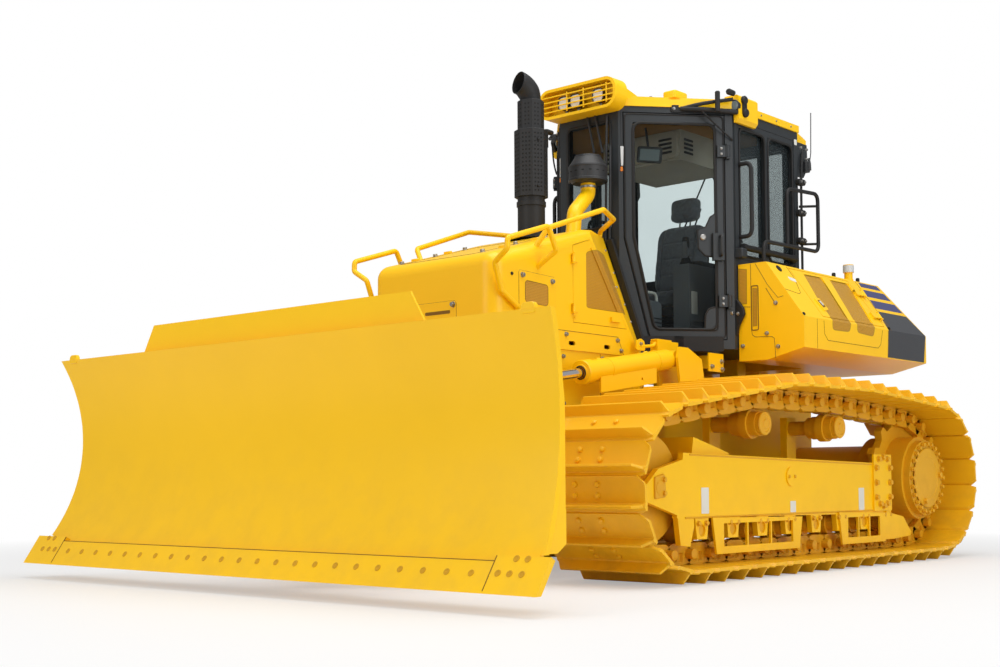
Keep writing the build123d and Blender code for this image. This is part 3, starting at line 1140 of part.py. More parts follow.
def blade_knuckle():
    """Swivel hub with a cross beam, lugs for the angle cylinders and a post for the tilt cylinder."""
    hub = rod((SWIVEL_X, 0, SWIVEL_Z - 85), (SWIVEL_X, 0, SWIVEL_Z + 85), SWIVEL_R + 25)
    beam = block((SWIVEL_X + 45, SWIVEL_X + 115), (-700, 700), (SWIVEL_Z - 65, SWIVEL_Z + 65))
    bore = rod((SWIVEL_X, 0, SWIVEL_Z - 90), (SWIVEL_X, 0, SWIVEL_Z + 90), SWIVEL_R - 20 + SEAT_GAP)
    trunnion = rod((SWIVEL_X + 110, 0, SWIVEL_Z), (BLADE_BACK + 35, 0, SWIVEL_Z), 60.0)
    parts = [fuse(hub, beam) - bore, trunnion]
    for sign in (1, -1):
        x, y = ANGLE_EYE[0], sign * ANGLE_EYE[1]
        for z in ((ANGLE_Z - EYE_HALF - SWING_GAP - 18, ANGLE_Z - EYE_HALF - SWING_GAP), (ANGLE_Z + EYE_HALF + SWING_GAP, ANGLE_Z + EYE_HALF + SWING_GAP + 18)):
            parts.append(block((x - 60, SWIVEL_X + 115), sorted((y - 60, y + 60)), z))
        parts.append(block((SWIVEL_X + 85, SWIVEL_X + 115), sorted((y - 60, y + 60)), (SWIVEL_Z + 60, ANGLE_Z + EYE_HALF + SWING_GAP + 18)))
    y, z = TILT_REAR
    post = block((SWIVEL_X + 45, TILT_X - EYE_HALF - SWING_GAP), (y - 55, y + 55), (SWIVEL_Z + 60, z + 55))
    pin = rod((SWIVEL_X + 50, y, z), (TILT_X + EYE_HALF, y, z), PIN_R)
    return fuse(*parts, post, pin)


def blade_arc(depth):
    """Side curve of the moldboard as a centre and radius, drawn back by a depth."""
    (x1, z1), (x2, z2), (x3, z3) = (BLADE_LOW_X, BLADE_LOW), (BLADE_HOLLOW_X, BLADE_HOLLOW_Z), (BLADE_TOP_X, BLADE_TOP)
    a = 2 * (x2 - x1), 2 * (z2 - z1), x2 ** 2 + z2 ** 2 - x1 ** 2 - z1 ** 2
    b = 2 * (x3 - x1), 2 * (z3 - z1), x3 ** 2 + z3 ** 2 - x1 ** 2 - z1 ** 2
    det = a[0] * b[1] - a[1] * b[0]
    cx, cz = (a[2] * b[1] - a[1] * b[2]) / det, (a[0] * b[2] - a[2] * b[0]) / det
    return cx, cz, math.hypot(x1 - cx, z1 - cz) + depth


def arc_x(z, depth):
    """Place of the moldboard's face at a height, drawn back by a depth."""
    cx, cz, radius = blade_arc(depth)
    return cx - math.sqrt(radius ** 2 - (z - cz) ** 2)


def blade_front_outline():
    """Front view of the moldboard: straight top and bottom, ends drawn in at the waist."""
    heights = spread(BLADE_LOW, BLADE_TOP, 9)
    middle = (BLADE_LOW + BLADE_TOP) / 2
    reach = (BLADE_TOP - BLADE_LOW) / 2
    side = [(BLADE_WAIST + (BLADE_HALF - BLADE_WAIST) * ((z - middle) / reach) ** 2, z) for z in heights]
    return side + [(-y, z) for y, z in reversed(side)]


def blade():
    """Curved moldboard with end plates, boxes behind it, ribs, spill guard and cylinder lugs."""
    low, high = (BLADE_LOW_X, BLADE_LOW), (BLADE_TOP_X, BLADE_TOP)
    front = Edge.make_three_point_arc(Vector(low[0], 0, low[1]), Vector(BLADE_HOLLOW_X, 0, BLADE_HOLLOW_Z), Vector(high[0], 0, high[1]))
    back_low = (arc_x(BLADE_LOW, BLADE_PLATE), BLADE_LOW)
    back_high = (arc_x(BLADE_TOP, BLADE_PLATE), BLADE_TOP)
    mid_z = BLADE_HOLLOW_Z
    back = Edge.make_three_point_arc(Vector(back_high[0], 0, back_high[1]), Vector(arc_x(mid_z, BLADE_PLATE), 0, mid_z),
                                     Vector(back_low[0], 0, back_low[1]))
    caps = [Edge.make_line(Vector(high[0], 0, high[1]), Vector(back_high[0], 0, back_high[1])),
            Edge.make_line(Vector(back_low[0], 0, back_low[1]), Vector(low[0], 0, low[1]))]
    band = Face(Wire([front, caps[0], back, caps[1]]))
    plate = Solid.extrude(Pos(0, -BIT_HALF, 0) * band, Vector(0, 2 * BIT_HALF, 0))
    outline = front_prism(blade_front_outline(), (BLADE_BACK - 100, BLADE_LOW_X + 100))
    plate = plate & outline
    inner = BLADE_WAIST - 6
    top_box = side_prism(((arc_x(BLADE_TOP, BOX_INTO), BLADE_TOP), (BLADE_BACK + 70, BLADE_TOP - 10), (BLADE_BACK + 45, 1180), (arc_x(1150, BOX_INTO), 1150)),
                         (-inner, inner))
    low_box = side_prism(((arc_x(BLADE_LOW, BOX_INTO), BLADE_LOW), (arc_x(470, BOX_INTO), 470), (BLADE_BACK, 440), (BLADE_BACK, 290), (BLADE_BACK + 60, BLADE_LOW)),
                         (-inner, inner))
    face = [(arc_x(z, BOX_INTO), z) for z in spread(420, 1200, 7)]
    ribs = []
    for y in (-1858, -1400, -950, -560, 560, 950, 1400, 1858):
        rib = side_prism([*face, (BLADE_BACK + 40, 1200), (BLADE_BACK + 2, 900), (BLADE_BACK + 2, 420)], (y - 11, y + 11))
        ribs.append(rib)
    boss = block((BLADE_BACK - 20, BLADE_BACK + 56), (-130, 130), (SWIVEL_Z - 120, SWIVEL_Z + 120))
    boss = boss - rod((BLADE_BACK - 30, 0, SWIVEL_Z), (BLADE_BACK + 40, 0, SWIVEL_Z), 60 + SEAT_GAP)
    hole = rod((BLADE_BACK - 30, 0, SWIVEL_Z), (BLADE_BACK + 40, 0, SWIVEL_Z), 60 + SEAT_GAP)
    y, z = TILT_EYE
    lug = block((TILT_X + EYE_HALF + SWING_GAP, arc_x(z, 6)), (y - 55, y + 55), (z - 55, z + 55))
    spill = front_prism(((-SPILL_FOOT_HALF, BLADE_TOP - 30), (SPILL_FOOT_HALF, BLADE_TOP - 30), (SPILL_TOP_HALF, SPILL_TOP), (-SPILL_TOP_HALF, SPILL_TOP)),
                        (BLADE_TOP_X - 62, BLADE_TOP_X - 50))
    lip = [(x, z) for x, z in edge_section(EDGE_THICK + SEAT_GAP, BIT_LENGTH + 50, 22.0)]
    lip = side_prism(lip, (-BLADE_HALF + 20, BLADE_HALF - 20))
    return fuse((fuse(plate, top_box, low_box, *ribs, boss) - hole), lug, spill, lip)


def edge_section(back, length, thick):
    """Leaning strip behind the cutting edge's face as (x, z): starts back from it, runs up it."""
    lean_x, lean_z = EDGE_LEAN
    nx, nz = lean_z, -lean_x
    tip = (EDGE_TIP_X + nx * back, EDGE_TIP_Z + nz * back)
    def at(up, deep):
        return (tip[0] - lean_x * up + nx * deep, tip[1] - lean_z * up + nz * deep)
    first = 0.0 if back == 0 else 46.0
    front_low, back_low = at(first, 0), at(first + (EDGE_TIP_Z - at(first, thick)[1]) / -lean_z if first == 0 else first, thick)
    return (front_low, at(length, 0), at(length, thick), back_low)


def cutting_edge():
    """Bolted edge in the middle and a deeper bit at each end."""
    strips = [side_prism(edge_section(0, EDGE_LENGTH, EDGE_THICK), (-EDGE_HALF, EDGE_HALF))]
    for sign in (1, -1):
        strips.append(side_prism(edge_section(0, BIT_LENGTH, EDGE_THICK), sorted((sign * (EDGE_HALF + SEAT_GAP), sign * BIT_HALF))))
    return strips


# ---- cylinders --------------------------------------------------------------
def cylinder_barrel(rear, eye, across, barrel_r, rod_r, length):
    """Barrel with a rear eye round its pin, a bore for the rod and a gland."""
    rear, eye, across = Vector(*rear), Vector(*eye), Vector(*across).normalized()
    along = (eye - rear).normalized()
    tail = rod(rear - across * EYE_HALF, rear + across * EYE_HALF, PIN_R + 28)
    neck = rod(rear, rear + along * (PIN_R + 70), EYE_HALF - 2)
    body = rod(rear + along * (PIN_R + 60), rear + along * length, barrel_r)
    gland = rod(rear + along * (length - 50), rear + along * (length + 22), barrel_r + 7)
    bore = rod(rear + along * (PIN_R + 90), rear + along * (length + 30), rod_r + SEAT_GAP)
    pin = rod(rear - across * (EYE_HALF + 5), rear + across * (EYE_HALF + 5), PIN_R + SEAT_GAP)
    return fuse(tail, neck, body, gland) - bore - pin


def cylinder_rod(rear, eye, across, rod_r, hidden, length):
    """Chromed rod from inside the barrel to its eye."""
    rear, eye, across = Vector(*rear), Vector(*eye), Vector(*across).normalized()
    along = (eye - rear).normalized()
    bar = rod(rear + along * (length - hidden), eye - along * (PIN_R + 10), rod_r)
    ring_eye = rod(eye - across * EYE_HALF, eye + across * EYE_HALF, PIN_R + 28)
    return fuse(bar, ring_eye)


def lift_ends(sign):
    y = sign * LIFT_Y
    return (LIFT_REAR[0], y, LIFT_REAR[1]), (LIFT_EYE[0], y, LIFT_EYE[1]), (0, 1, 0)


def lift_barrel(sign):
    """Lift cylinder's barrel with the flat guard plate that hangs under it."""
    barrel = cylinder_barrel(*lift_ends(sign), LIFT_BARREL_R, LIFT_ROD_R, LIFT_BARREL_LENGTH)
    slope = (LIFT_EYE[1] - LIFT_REAR[1]) / (LIFT_EYE[0] - LIFT_REAR[0])
    first, last = LIFT_REAR[0] + 265, LIFT_REAR[0] + 829
    under = [(x, LIFT_REAR[1] + slope * (x - LIFT_REAR[0]) - drop) for x, drop in ((first, 38), (last, 38), (last, 132), (first, 132))]
    plate = side_prism(under, sorted((sign * (LIFT_Y + 42), sign * (LIFT_Y + 54))))
    hole = rod((first + 151, sign * LIFT_Y, under[3][1] + 18), (first + 151, sign * (LIFT_Y + 70), under[3][1] + 18), 9.0)
    return fuse(barrel, plate - hole)


def angle_ends(sign):
    return ((ANGLE_REAR[0], sign * ANGLE_REAR[1], ANGLE_Z), (ANGLE_EYE[0], sign * ANGLE_EYE[1], ANGLE_Z), (0, 0, 1))


def tilt_ends():
    return (TILT_X, *TILT_REAR), (TILT_X, *TILT_EYE), (1, 0, 0)


# ---- files ------------------------------------------------------------------
def main():
    os.makedirs("parts", exist_ok=True)
    save("main_frame", main_frame())
    save("cross_shafts", cross_shafts())
    save("body_posts", body_posts())
    for side, sign in BOTH_SIDES:
        save("track_" + side, track(sign))
        save("track_frame_" + side, track_frame(sign))
        save("sprocket_" + side, sprocket(sign))
        save("final_drive_" + side, final_drive(sign))
        save("idler_" + side, idler(sign))
        save("track_rollers_" + side, track_rollers(sign))
        save("carrier_rollers_" + side, carrier_rollers(sign))
        save("engine_door_" + side, engine_door(sign))
        save("cab_door_" + side, cab_door(sign))
        save("door_glass_" + side, door_glass(sign))
        save("side_door_" + side, side_door(sign))
        save("lift_barrel_" + side, lift_barrel(sign))
        save("lift_rod_" + side, cylinder_rod(*lift_ends(sign), LIFT_ROD_R, 520, LIFT_BARREL_LENGTH))
        save("angle_barrel_" + side, cylinder_barrel(*angle_ends(sign), ANGLE_BARREL_R, ANGLE_ROD_R, ANGLE_BARREL_LENGTH))
        save("angle_rod_" + side, cylinder_rod(*angle_ends(sign), ANGLE_ROD_R, 380, ANGLE_BARREL_LENGTH))
    save("tilt_barrel", cylinder_barrel(*tilt_ends(), TILT_BARREL_R, TILT_ROD_R, TILT_BARREL_LENGTH))
    save("tilt_rod", cylinder_rod(*tilt_ends(), TILT_ROD_R, 240, TILT_BARREL_LENGTH))
    save("hood", hood())
    save("hood_skirts", hood_skirts())
    save("engine_block", engine_block())
    save("exhaust_stack", exhaust_stack())
    save("intake_pipe", intake_pipe())
    save("precleaner", precleaner())
    save("hood_rails", hood_rails())
    save("cab_frame", cab_frame())
    save("cab_glass", cab_glass())
    save("cab_roof", cab_roof())
    save("work_lamps", work_lamps())
    save("operator_seat", operator_seat())
    save("consoles", consoles())
    save("headliner_unit", headliner_unit())
    save("cab_rails", cab_rails())
    save("rear_body", rear_body())
    save("cooler_housing", cooler_housing())
    save("rear_grille_door", rear_grille_door())
    save("radiator_fan", radiator_fan())
    save("drawbar", drawbar())
    save("c_frame", c_frame())
    save("blade_knuckle", blade_knuckle())
    save("blade", blade())
    save("cutting_edge", cutting_edge())


main()
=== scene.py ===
"""Looks of a crawler dozer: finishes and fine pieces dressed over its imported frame.

Lengths are metres in the machine's own frame: +X forward, +Y to the operator's left, +Z up,
with the origin on the ground under the middle of the machine.
"""

import json
import logging
import math
from dataclasses import dataclass, field
from enum import Enum
from typing import Callable, Iterable, Sequence

import bmesh
import bpy
import numpy as np
from mathutils import Matrix, Vector

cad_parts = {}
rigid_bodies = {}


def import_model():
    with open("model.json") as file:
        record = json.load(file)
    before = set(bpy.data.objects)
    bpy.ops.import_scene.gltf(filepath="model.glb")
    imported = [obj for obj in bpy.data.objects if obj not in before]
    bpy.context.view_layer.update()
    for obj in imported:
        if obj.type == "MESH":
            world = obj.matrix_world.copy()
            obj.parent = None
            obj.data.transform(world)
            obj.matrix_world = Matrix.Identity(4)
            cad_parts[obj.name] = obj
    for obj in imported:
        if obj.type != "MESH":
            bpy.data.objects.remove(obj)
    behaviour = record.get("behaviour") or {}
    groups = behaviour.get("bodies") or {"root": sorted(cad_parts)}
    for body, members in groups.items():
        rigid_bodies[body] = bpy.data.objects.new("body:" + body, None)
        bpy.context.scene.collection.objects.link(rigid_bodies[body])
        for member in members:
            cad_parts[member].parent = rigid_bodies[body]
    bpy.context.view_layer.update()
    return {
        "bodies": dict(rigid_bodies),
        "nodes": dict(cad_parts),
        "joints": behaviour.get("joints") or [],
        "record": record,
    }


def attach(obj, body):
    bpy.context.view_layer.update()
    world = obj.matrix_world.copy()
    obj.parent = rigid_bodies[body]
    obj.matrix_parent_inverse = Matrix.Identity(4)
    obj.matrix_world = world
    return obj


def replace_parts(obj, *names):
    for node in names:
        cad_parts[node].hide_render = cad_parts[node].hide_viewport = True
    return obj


Pair = tuple[float, float]
Triple = tuple[float, float, float]
Places = Sequence[Sequence[float]]

LOG = logging.getLogger("dozer")
TAU = 2.0 * math.pi
SIDES = (("left", 1.0), ("right", -1.0))
TRACK_CENTRE = 1.115
DRIVE_X = -2.269
CARRIER_X = (-0.255, -1.205)
CARRIER_Z = 0.907


# ---- shader maths -----------------------------------------------------------
def operator(operation: str, swapped: bool = False) -> Callable[["Signal", object], "Signal"]:
    """Method of a signal that adds one Math node for an operation on two values.

    Args:
        operation: Blender's name of the operation.
        swapped: take the other value first, so that 1 - mask works.

    Returns:
        The method.
    """

    def method(self: "Signal", other: object) -> "Signal":
        """The operation's result."""
        return self._math(operation, *((other, self) if swapped else (self, other)))

    return method


class Signal:
    """A value flowing out of one socket of a shader tree; arithmetic on it adds Math nodes."""

    def __init__(self, tree: "ShaderTree", socket: bpy.types.NodeSocket) -> None:
        """Keep the tree and the socket that carries the value."""
        self.tree = tree
        self.socket = socket

    def _math(self, operation: str, *values: object) -> "Signal":
        """Add one Math node.

        Args:
            operation: Blender's name of the operation.
            values: the node's operands, signals or numbers, in order.

        Returns:
            The node's result.
        """
        return self.tree.node("ShaderNodeMath", {"operation": operation}, dict(enumerate(values)))

    __add__ = __radd__ = operator("ADD")
    __sub__ = operator("SUBTRACT")
    __rsub__ = operator("SUBTRACT", swapped=True)
    __mul__ = __rmul__ = operator("MULTIPLY")
    __truediv__ = operator("DIVIDE")
    __gt__ = operator("GREATER_THAN")

    def __abs__(self) -> "Signal":
        """Size of the value without its sign."""
        return self._math("ABSOLUTE", self)

    def sine(self) -> "Signal":
        """Sine of the value in radians."""
        return self._math("SINE", self)

    def softened(self, other: "Signal", reach: float) -> "Signal":
        """Smaller of two values, blended over a reach."""
        return self._math("SMOOTH_MIN", self, other, reach)

    def clamped(self, low: float, high: float) -> "Signal":
        """Value held between two limits."""
        return self._math("MINIMUM", self._math("MAXIMUM", self, low), high)

    def ramp(self, low: float, high: float) -> "Signal":
        """0 at the low value, 1 at the high one, straight between them."""
        return ((self - low) / (high - low)).clamped(0.0, 1.0)


class ShaderTree:
    """Builds one material's nodes."""

    def __init__(self, name: str, tree: bpy.types.NodeTree | None = None) -> None:
        """Start an empty node tree on a new material, or on one that is there."""
        if tree is None:
            self.material = bpy.data.materials.new(name)
            self.material.use_nodes = True
            tree = self.material.node_tree
        self.nodes, self.links = tree.nodes, tree.links
        self.nodes.clear()

    def node(self, kind: str, settings: dict | None = None, inputs: dict | None = None,
             output: int | str = 0) -> Signal:
        """Add one node.

        Args:
            kind: the node's type name.
            settings: properties set before its sockets are linked; "stops" gives a ramp's stops.
            inputs: values or signals for its sockets, by index or name.
            output: which output the returned signal reads.

        Returns:
            The chosen output.
        """
        made = self.nodes.new(kind)
        for key, value in (settings or {}).items():
            if key == "stops":
                ramp = made.color_ramp
                while len(ramp.elements) < len(value):
                    ramp.elements.new(0.5)
                for element, (place, colour) in zip(ramp.elements, value):
                    element.position = place
                    element.color = colour
            else:
                setattr(made, key, value)
        for key, value in (inputs or {}).items():
            socket = made.inputs[key]
            if isinstance(value, Signal):
                self.links.new(value.socket, socket)
            else:
                socket.default_value = value
        return Signal(self, made.outputs[output])

    def place(self) -> tuple[Signal, Signal, Signal, Signal]:
        """Object coordinates as a vector and as X, Y and Z."""
        vector = self.node("ShaderNodeTexCoord", output="Object")
        split = self.node("ShaderNodeSeparateXYZ", inputs={0: vector}).socket.node
        return (vector, *[Signal(self, split.outputs[index]) for index in range(3)])

    def noise(self, vector: Signal, scale: float, detail: float = 3.0, rough: float = 0.5) -> Signal:
        """Cloudy value from about 0 to 1 with so many lumps to the metre."""
        return self.node("ShaderNodeTexNoise", {"noise_dimensions": "3D"},
                         {"Vector": vector, "Scale": scale, "Detail": detail, "Roughness": rough})

    def mix(self, share: Signal, first: object, second: object) -> Signal:
        """Colour between two colours."""
        made = self.node("ShaderNodeMix", {"data_type": "RGBA"}, {0: share}).socket.node
        for index, value in ((6, first), (7, second)):
            if isinstance(value, Signal):
                self.links.new(value.socket, made.inputs[index])
            else:
                made.inputs[index].default_value = (*value[:3], 1.0)
        return Signal(self, made.outputs[2])

    def bump(self, height: Signal, depth: float, under: Signal | None = None) -> Signal:
        """Surface normal tipped by a height, in metres from its low to its high value, over another bump."""
        inputs = {"Distance": depth, "Height": height}
        if under is not None:
            inputs["Normal"] = under
        return self.node("ShaderNodeBump", {}, inputs)

    def surface(self, **sockets: object) -> bpy.types.Material:
        """Close the tree with a Principled surface and return the material."""
        shader = self.node("ShaderNodeBsdfPrincipled", {},
                           {k.replace("_", " "): v for k, v in sockets.items()})
        self.node_output(shader)
        return self.material

    def node_output(self, shader: Signal, kind: str = "ShaderNodeOutputMaterial") -> None:
        """Link a shader to the tree's output."""
        made = self.nodes.new(kind)
        self.links.new(shader.socket, made.inputs["Surface"])


def rgba(colour: Sequence[float]) -> tuple[float, float, float, float]:
    """Colour with full alpha."""
    return (colour[0], colour[1], colour[2], 1.0)


def srgb(red: int, green: int, blue: int) -> Triple:
    """Screen colour of 0 to 255 as linear values."""
    shares = [value / 255.0 for value in (red, green, blue)]
    return tuple(s / 12.92 if s <= 0.04045 else ((s + 0.055) / 1.055) ** 2.4 for s in shares)


# ---- finishes ---------------------------------------------------------------
class View(Enum):
    """Which way a painted field is looked at: the two coordinates of its corners."""

    SIDE = (0, 2)
    FRONT = (1, 2)


class Fill(Enum):
    """What a painted field shows."""

    GUARD = "guard"
    VIOLET = "violet"
    CHARCOAL = "charcoal"


@dataclass(frozen=True)
class Field:
    """Convex field on a painted panel, the same on both sides of the machine."""

    fill: Fill
    corners: tuple[Pair, ...]
    beyond: float
    view: View = View.SIDE
    rounding: float = 0.06

    def depth(self, tree: ShaderTree, folded: Signal) -> Signal:
        """How far a point lies inside the field, in metres; below 0 outside.

        Each edge gives the distance along its inward normal, and the smooth minimum of them
        rounds the corners.

        Args:
            tree: the material's nodes.
            folded: the place with its Y made positive.

        Returns:
            The depth.
        """
        corners = np.array(self.corners, float)
        middle = corners.mean(axis=0)
        result = None
        for start, end in zip(corners, np.roll(corners, -1, 0)):
            normal = np.array((start[1] - end[1], end[0] - start[0])) / np.linalg.norm(end - start)
            normal *= np.sign(np.dot(middle - start, normal))
            spread = [0.0, 0.0, 0.0]
            for axis, value in zip(self.view.value, normal):
                spread[axis] = float(value)
            reach = tree.node("ShaderNodeVectorMath", {"operation": "DOT_PRODUCT"}, {0: folded, 1: spread},
                              "Value")
            reach = reach - float(np.dot(start, normal))
            result = reach if result is None else result.softened(reach, self.rounding)
        return result

    def mask(self, tree: ShaderTree, folded: Signal, x: Signal, y: Signal) -> tuple[Signal, Signal]:
        """1 inside the field, and 1 on the band just inside its edge that takes the painted shade of a sunk
        rim, on the side of the machine that it belongs to.
        """
        depth = self.depth(tree, folded)
        here = (y if self.view is View.SIDE else x) > self.beyond
        inside = depth.ramp(0.0, 0.0015) * here
        return inside, inside * (1.0 - depth.ramp(0.004, 0.008))


@dataclass(frozen=True)
class Paint:
    """Sprayed paint with a faint ripple, soft colour drift and a breath of dust low down."""

    name: str
    colour: Triple
    dust: Triple
    roughness: float = 0.38
    coat: float = 0.10
    ripple: float = 0.00008
    dust_height: float = 0.9
    dust_share: float = 0.22
    cast_grain: float = 0.0
    fields: tuple[Field, ...] = ()
    slot: str = "yellow_paint"

    def material(self) -> bpy.types.Material:
        """Node tree: colour drifts by cloudy noise, dust fades out with height, ripple bumps."""
        tree = ShaderTree(self.name)
        place, x, y, z = tree.place()
        drift = tree.noise(place, 2.2, 4.0).ramp(0.3, 0.7)
        fine = tree.noise(place, 55.0, 5.0, 0.6)
        darker = tuple(0.965 * c for c in self.colour)
        base = tree.mix(drift, self.colour, darker)
        low = 1.0 - z.ramp(0.05, self.dust_height)
        spots = tree.noise(place, 6.0, 6.0, 0.62).ramp(0.42, 0.72)
        film = (low * spots * self.dust_share).clamped(0.0, 1.0)
        colour = tree.mix(film, base, self.dust)
        rough = (self.roughness + (fine - 0.5) * 0.08 + film * 0.5).clamped(0.05, 1.0)
        peel = tree.noise(place, 260.0, 2.0)
        height = peel
        depth = self.ripple
        if self.cast_grain:
            height = peel * 0.4 + tree.noise(place, 90.0, 6.0, 0.7)
            depth = self.cast_grain
        normal = tree.bump(height, depth)
        if self.fields:
            colour, normal = self.painted_over(tree, (x, y, z), colour, normal)
        return tree.surface(Base_Color=colour, Roughness=rough, Coat_Weight=self.coat, Coat_Roughness=0.15,
                            Specular_IOR_Level=0.3, Normal=normal)

    def painted_over(self, tree: ShaderTree, place: tuple[Signal, Signal, Signal], colour: Signal,
                     normal: Signal) -> tuple[Signal, Signal]:
        """Lay the panel's fields over its paint, with painted shade along the rim of each guard field.

        Args:
            tree: the material's nodes.
            place: X, Y and Z of the point.
            colour: the paint's colour.
            normal: the paint's bumped normal.

        Returns:
            Colour and normal with the fields.
        """
        x, y, z = place
        wide = abs(y)
        folded = tree.node("ShaderNodeCombineXYZ", {}, {0: x, 1: wide, 2: z})
        holes, sheet = MESH_SHEET.punched(tree, x, y, z)
        guards = None
        for painted in self.fields:
            inside, rim = painted.mask(tree, folded, x, wide)
            if painted.fill is Fill.GUARD:
                # A band inside the field's edge is darkened to 45 % of the paint as painted shade of the sunk
                # rim; the sheet's holes carry painted shade too.
                colour = tree.mix(rim, tree.mix(inside, colour, sheet), tuple(0.45 * c for c in self.colour))
                guards = inside if guards is None else guards + inside
            else:
                colour = tree.mix(inside, colour,
                                  STRIPE_VIOLET if painted.fill is Fill.VIOLET else PANEL_GREY)
        if guards is not None:
            normal = tree.bump((1.0 - holes) * guards, 0.0012, normal)
        return colour, normal


@dataclass(frozen=True)
class Chrome:
    """Ground and plated rod with hair-fine turning marks."""

    name: str = "chrome_plate"
    slot: str = "chrome"

    def material(self) -> bpy.types.Material:
        """Bright metal whose roughness wavers a little."""
        tree = ShaderTree(self.name)
        place, *_ = tree.place()
        smear = tree.noise(place, 14.0, 4.0)
        lines = tree.noise(place, 700.0, 1.0)
        return tree.surface(Base_Color=rgba((0.86, 0.86, 0.88)), Metallic=1.0,
                            Roughness=(0.1 + smear * 0.12), Normal=tree.bump(lines, 0.00002))


@dataclass(frozen=True)
class Steel:
    """Bare or worn steel of fasteners and pins."""

    name: str = "bare_steel"
    colour: Triple = (0.42, 0.41, 0.39)
    slot: str = "chrome"

    def material(self) -> bpy.types.Material:
        """Grey metal, patchy in roughness."""
        tree = ShaderTree(self.name)
        place, *_ = tree.place()
        patch = tree.noise(place, 40.0, 5.0)
        return tree.surface(Base_Color=tree.mix(patch, self.colour, tuple(0.7 * c for c in self.colour)),
                            Metallic=1.0, Roughness=0.28 + patch * 0.3, Normal=tree.bump(patch, 0.0002))


@dataclass(frozen=True)
class Glass:
    """Tinted safety glass: a thin sheet, part clear and part mirror."""

    name: str = "tinted_glass"
    tint: Triple = (0.90, 0.935, 0.935)
    slot: str = "glass"

    def material(self) -> bpy.types.Material:
        """Mix of a tinted clear shader and a glossy one by Fresnel and faint smears."""
        tree = ShaderTree(self.name)
        place, *_ = tree.place()
        clear = tree.node("ShaderNodeBsdfTransparent", {}, {"Color": rgba(self.tint)})
        gloss = tree.node("ShaderNodeBsdfPrincipled", {},
                          {"Base Color": rgba((0.05, 0.06, 0.065)), "Roughness": 0.24,
                           "Specular IOR Level": 0.6})
        edge = tree.node("ShaderNodeFresnel", {}, {"IOR": 1.45})
        smear = tree.noise(place, 3.0, 2.0).ramp(0.45, 0.8)
        share = (edge * 0.8 + smear * 0.02).clamped(0.0, 0.7)
        tree.node_output(tree.node("ShaderNodeMixShader", {}, {0: share, 1: clear, 2: gloss}))
        return tree.material


@dataclass(frozen=True)
class Plastic:
    """Moulded plastic or powder coat with a fine pebbled grain."""

    name: str
    colour: Triple
    roughness: float = 0.55
    grain: float = 0.00025
    grain_scale: float = 320.0
    slot: str = "black_plastic"

    def material(self) -> bpy.types.Material:
        """Flat colour that drifts a little, with a pebble bump."""
        tree = ShaderTree(self.name)
        place, *_ = tree.place()
        drift = tree.noise(place, 5.0, 3.0)
        pebble = tree.noise(place, self.grain_scale, 2.0)
        return tree.surface(Base_Color=tree.mix(drift, self.colour, tuple(0.82 * c for c in self.colour)),
                            Roughness=(self.roughness + (drift - 0.5) * 0.12),
                            Normal=tree.bump(pebble, self.grain))


@dataclass(frozen=True)
class WireMesh:
    """Stamped guard sheet: round holes in staggered rows, coloured with the painted shade of the space
    behind.
    """

    name: str
    colour: Triple
    pitch: float = 0.009
    hole: float = 0.30
    # Colour of the holes: painted shade of the space behind the sheet.
    behind: Triple = (0.10, 0.06, 0.01)
    slot: str = "mesh_paint"

    def punched(self, tree: ShaderTree, x: Signal, y: Signal, z: Signal) -> tuple[Signal, Signal]:
        """Holes and colour of the sheet.

        The product of two sine waves that lean 27 degrees to either side, cut at a level, is 1
        in round holes in staggered rows.

        Args:
            tree: the material's nodes.
            x: place along the machine.
            y: place across it.
            z: height.

        Returns:
            The holes' mask and the colour.
        """
        turn = TAU / self.pitch
        wave = (((x + y) * turn + z * turn * 0.5).sine()) * (((x + y) * turn - z * turn * 0.5).sine())
        holes = wave.ramp(self.hole - 0.12, self.hole + 0.12)
        drift = tree.noise(tree.place()[0], 4.0, 2.0)
        base = tree.mix(drift, self.colour, tuple(0.88 * c for c in self.colour))
        # The holes take the colour behind, a painted shade.
        return holes, tree.mix(holes, base, self.behind)

    def material(self) -> bpy.types.Material:
        """The sheet on its own, its holes pushed in."""
        tree = ShaderTree(self.name)
        _, x, y, z = tree.place()
        holes, colour = self.punched(tree, x, y, z)
        return tree.surface(Base_Color=colour, Roughness=0.45 + holes * 0.3,
                            Normal=tree.bump(1.0 - holes, 0.0012))


@dataclass(frozen=True)
class Cloth:
    """Woven seat cloth: two crossed threads on the object's own metres."""

    name: str
    colour: Triple
    thread: float = 0.0022
    slot: str = "seat_cloth"

    def material(self) -> bpy.types.Material:
        """Two sine waves across each other raise the threads; noise mottles the dye."""
        tree = ShaderTree(self.name)
        place, x, y, z = tree.place()
        turn = TAU / self.thread
        warp = ((x + z) * turn).sine()
        weft = (y * turn).sine()
        weave = (warp * weft) * 0.5 + 0.5
        dye = tree.noise(place, 60.0, 4.0)
        base = tree.mix(weave, self.colour, tuple(0.6 * c for c in self.colour))
        return tree.surface(Base_Color=tree.mix(dye.ramp(0.3, 0.8), base,
                                                tuple(1.25 * c for c in self.colour)),
                            Roughness=0.85 + (weave - 0.5) * 0.1, Sheen_Weight=0.4, Sheen_Roughness=0.5,
                            Normal=tree.bump(weave, 0.0005))


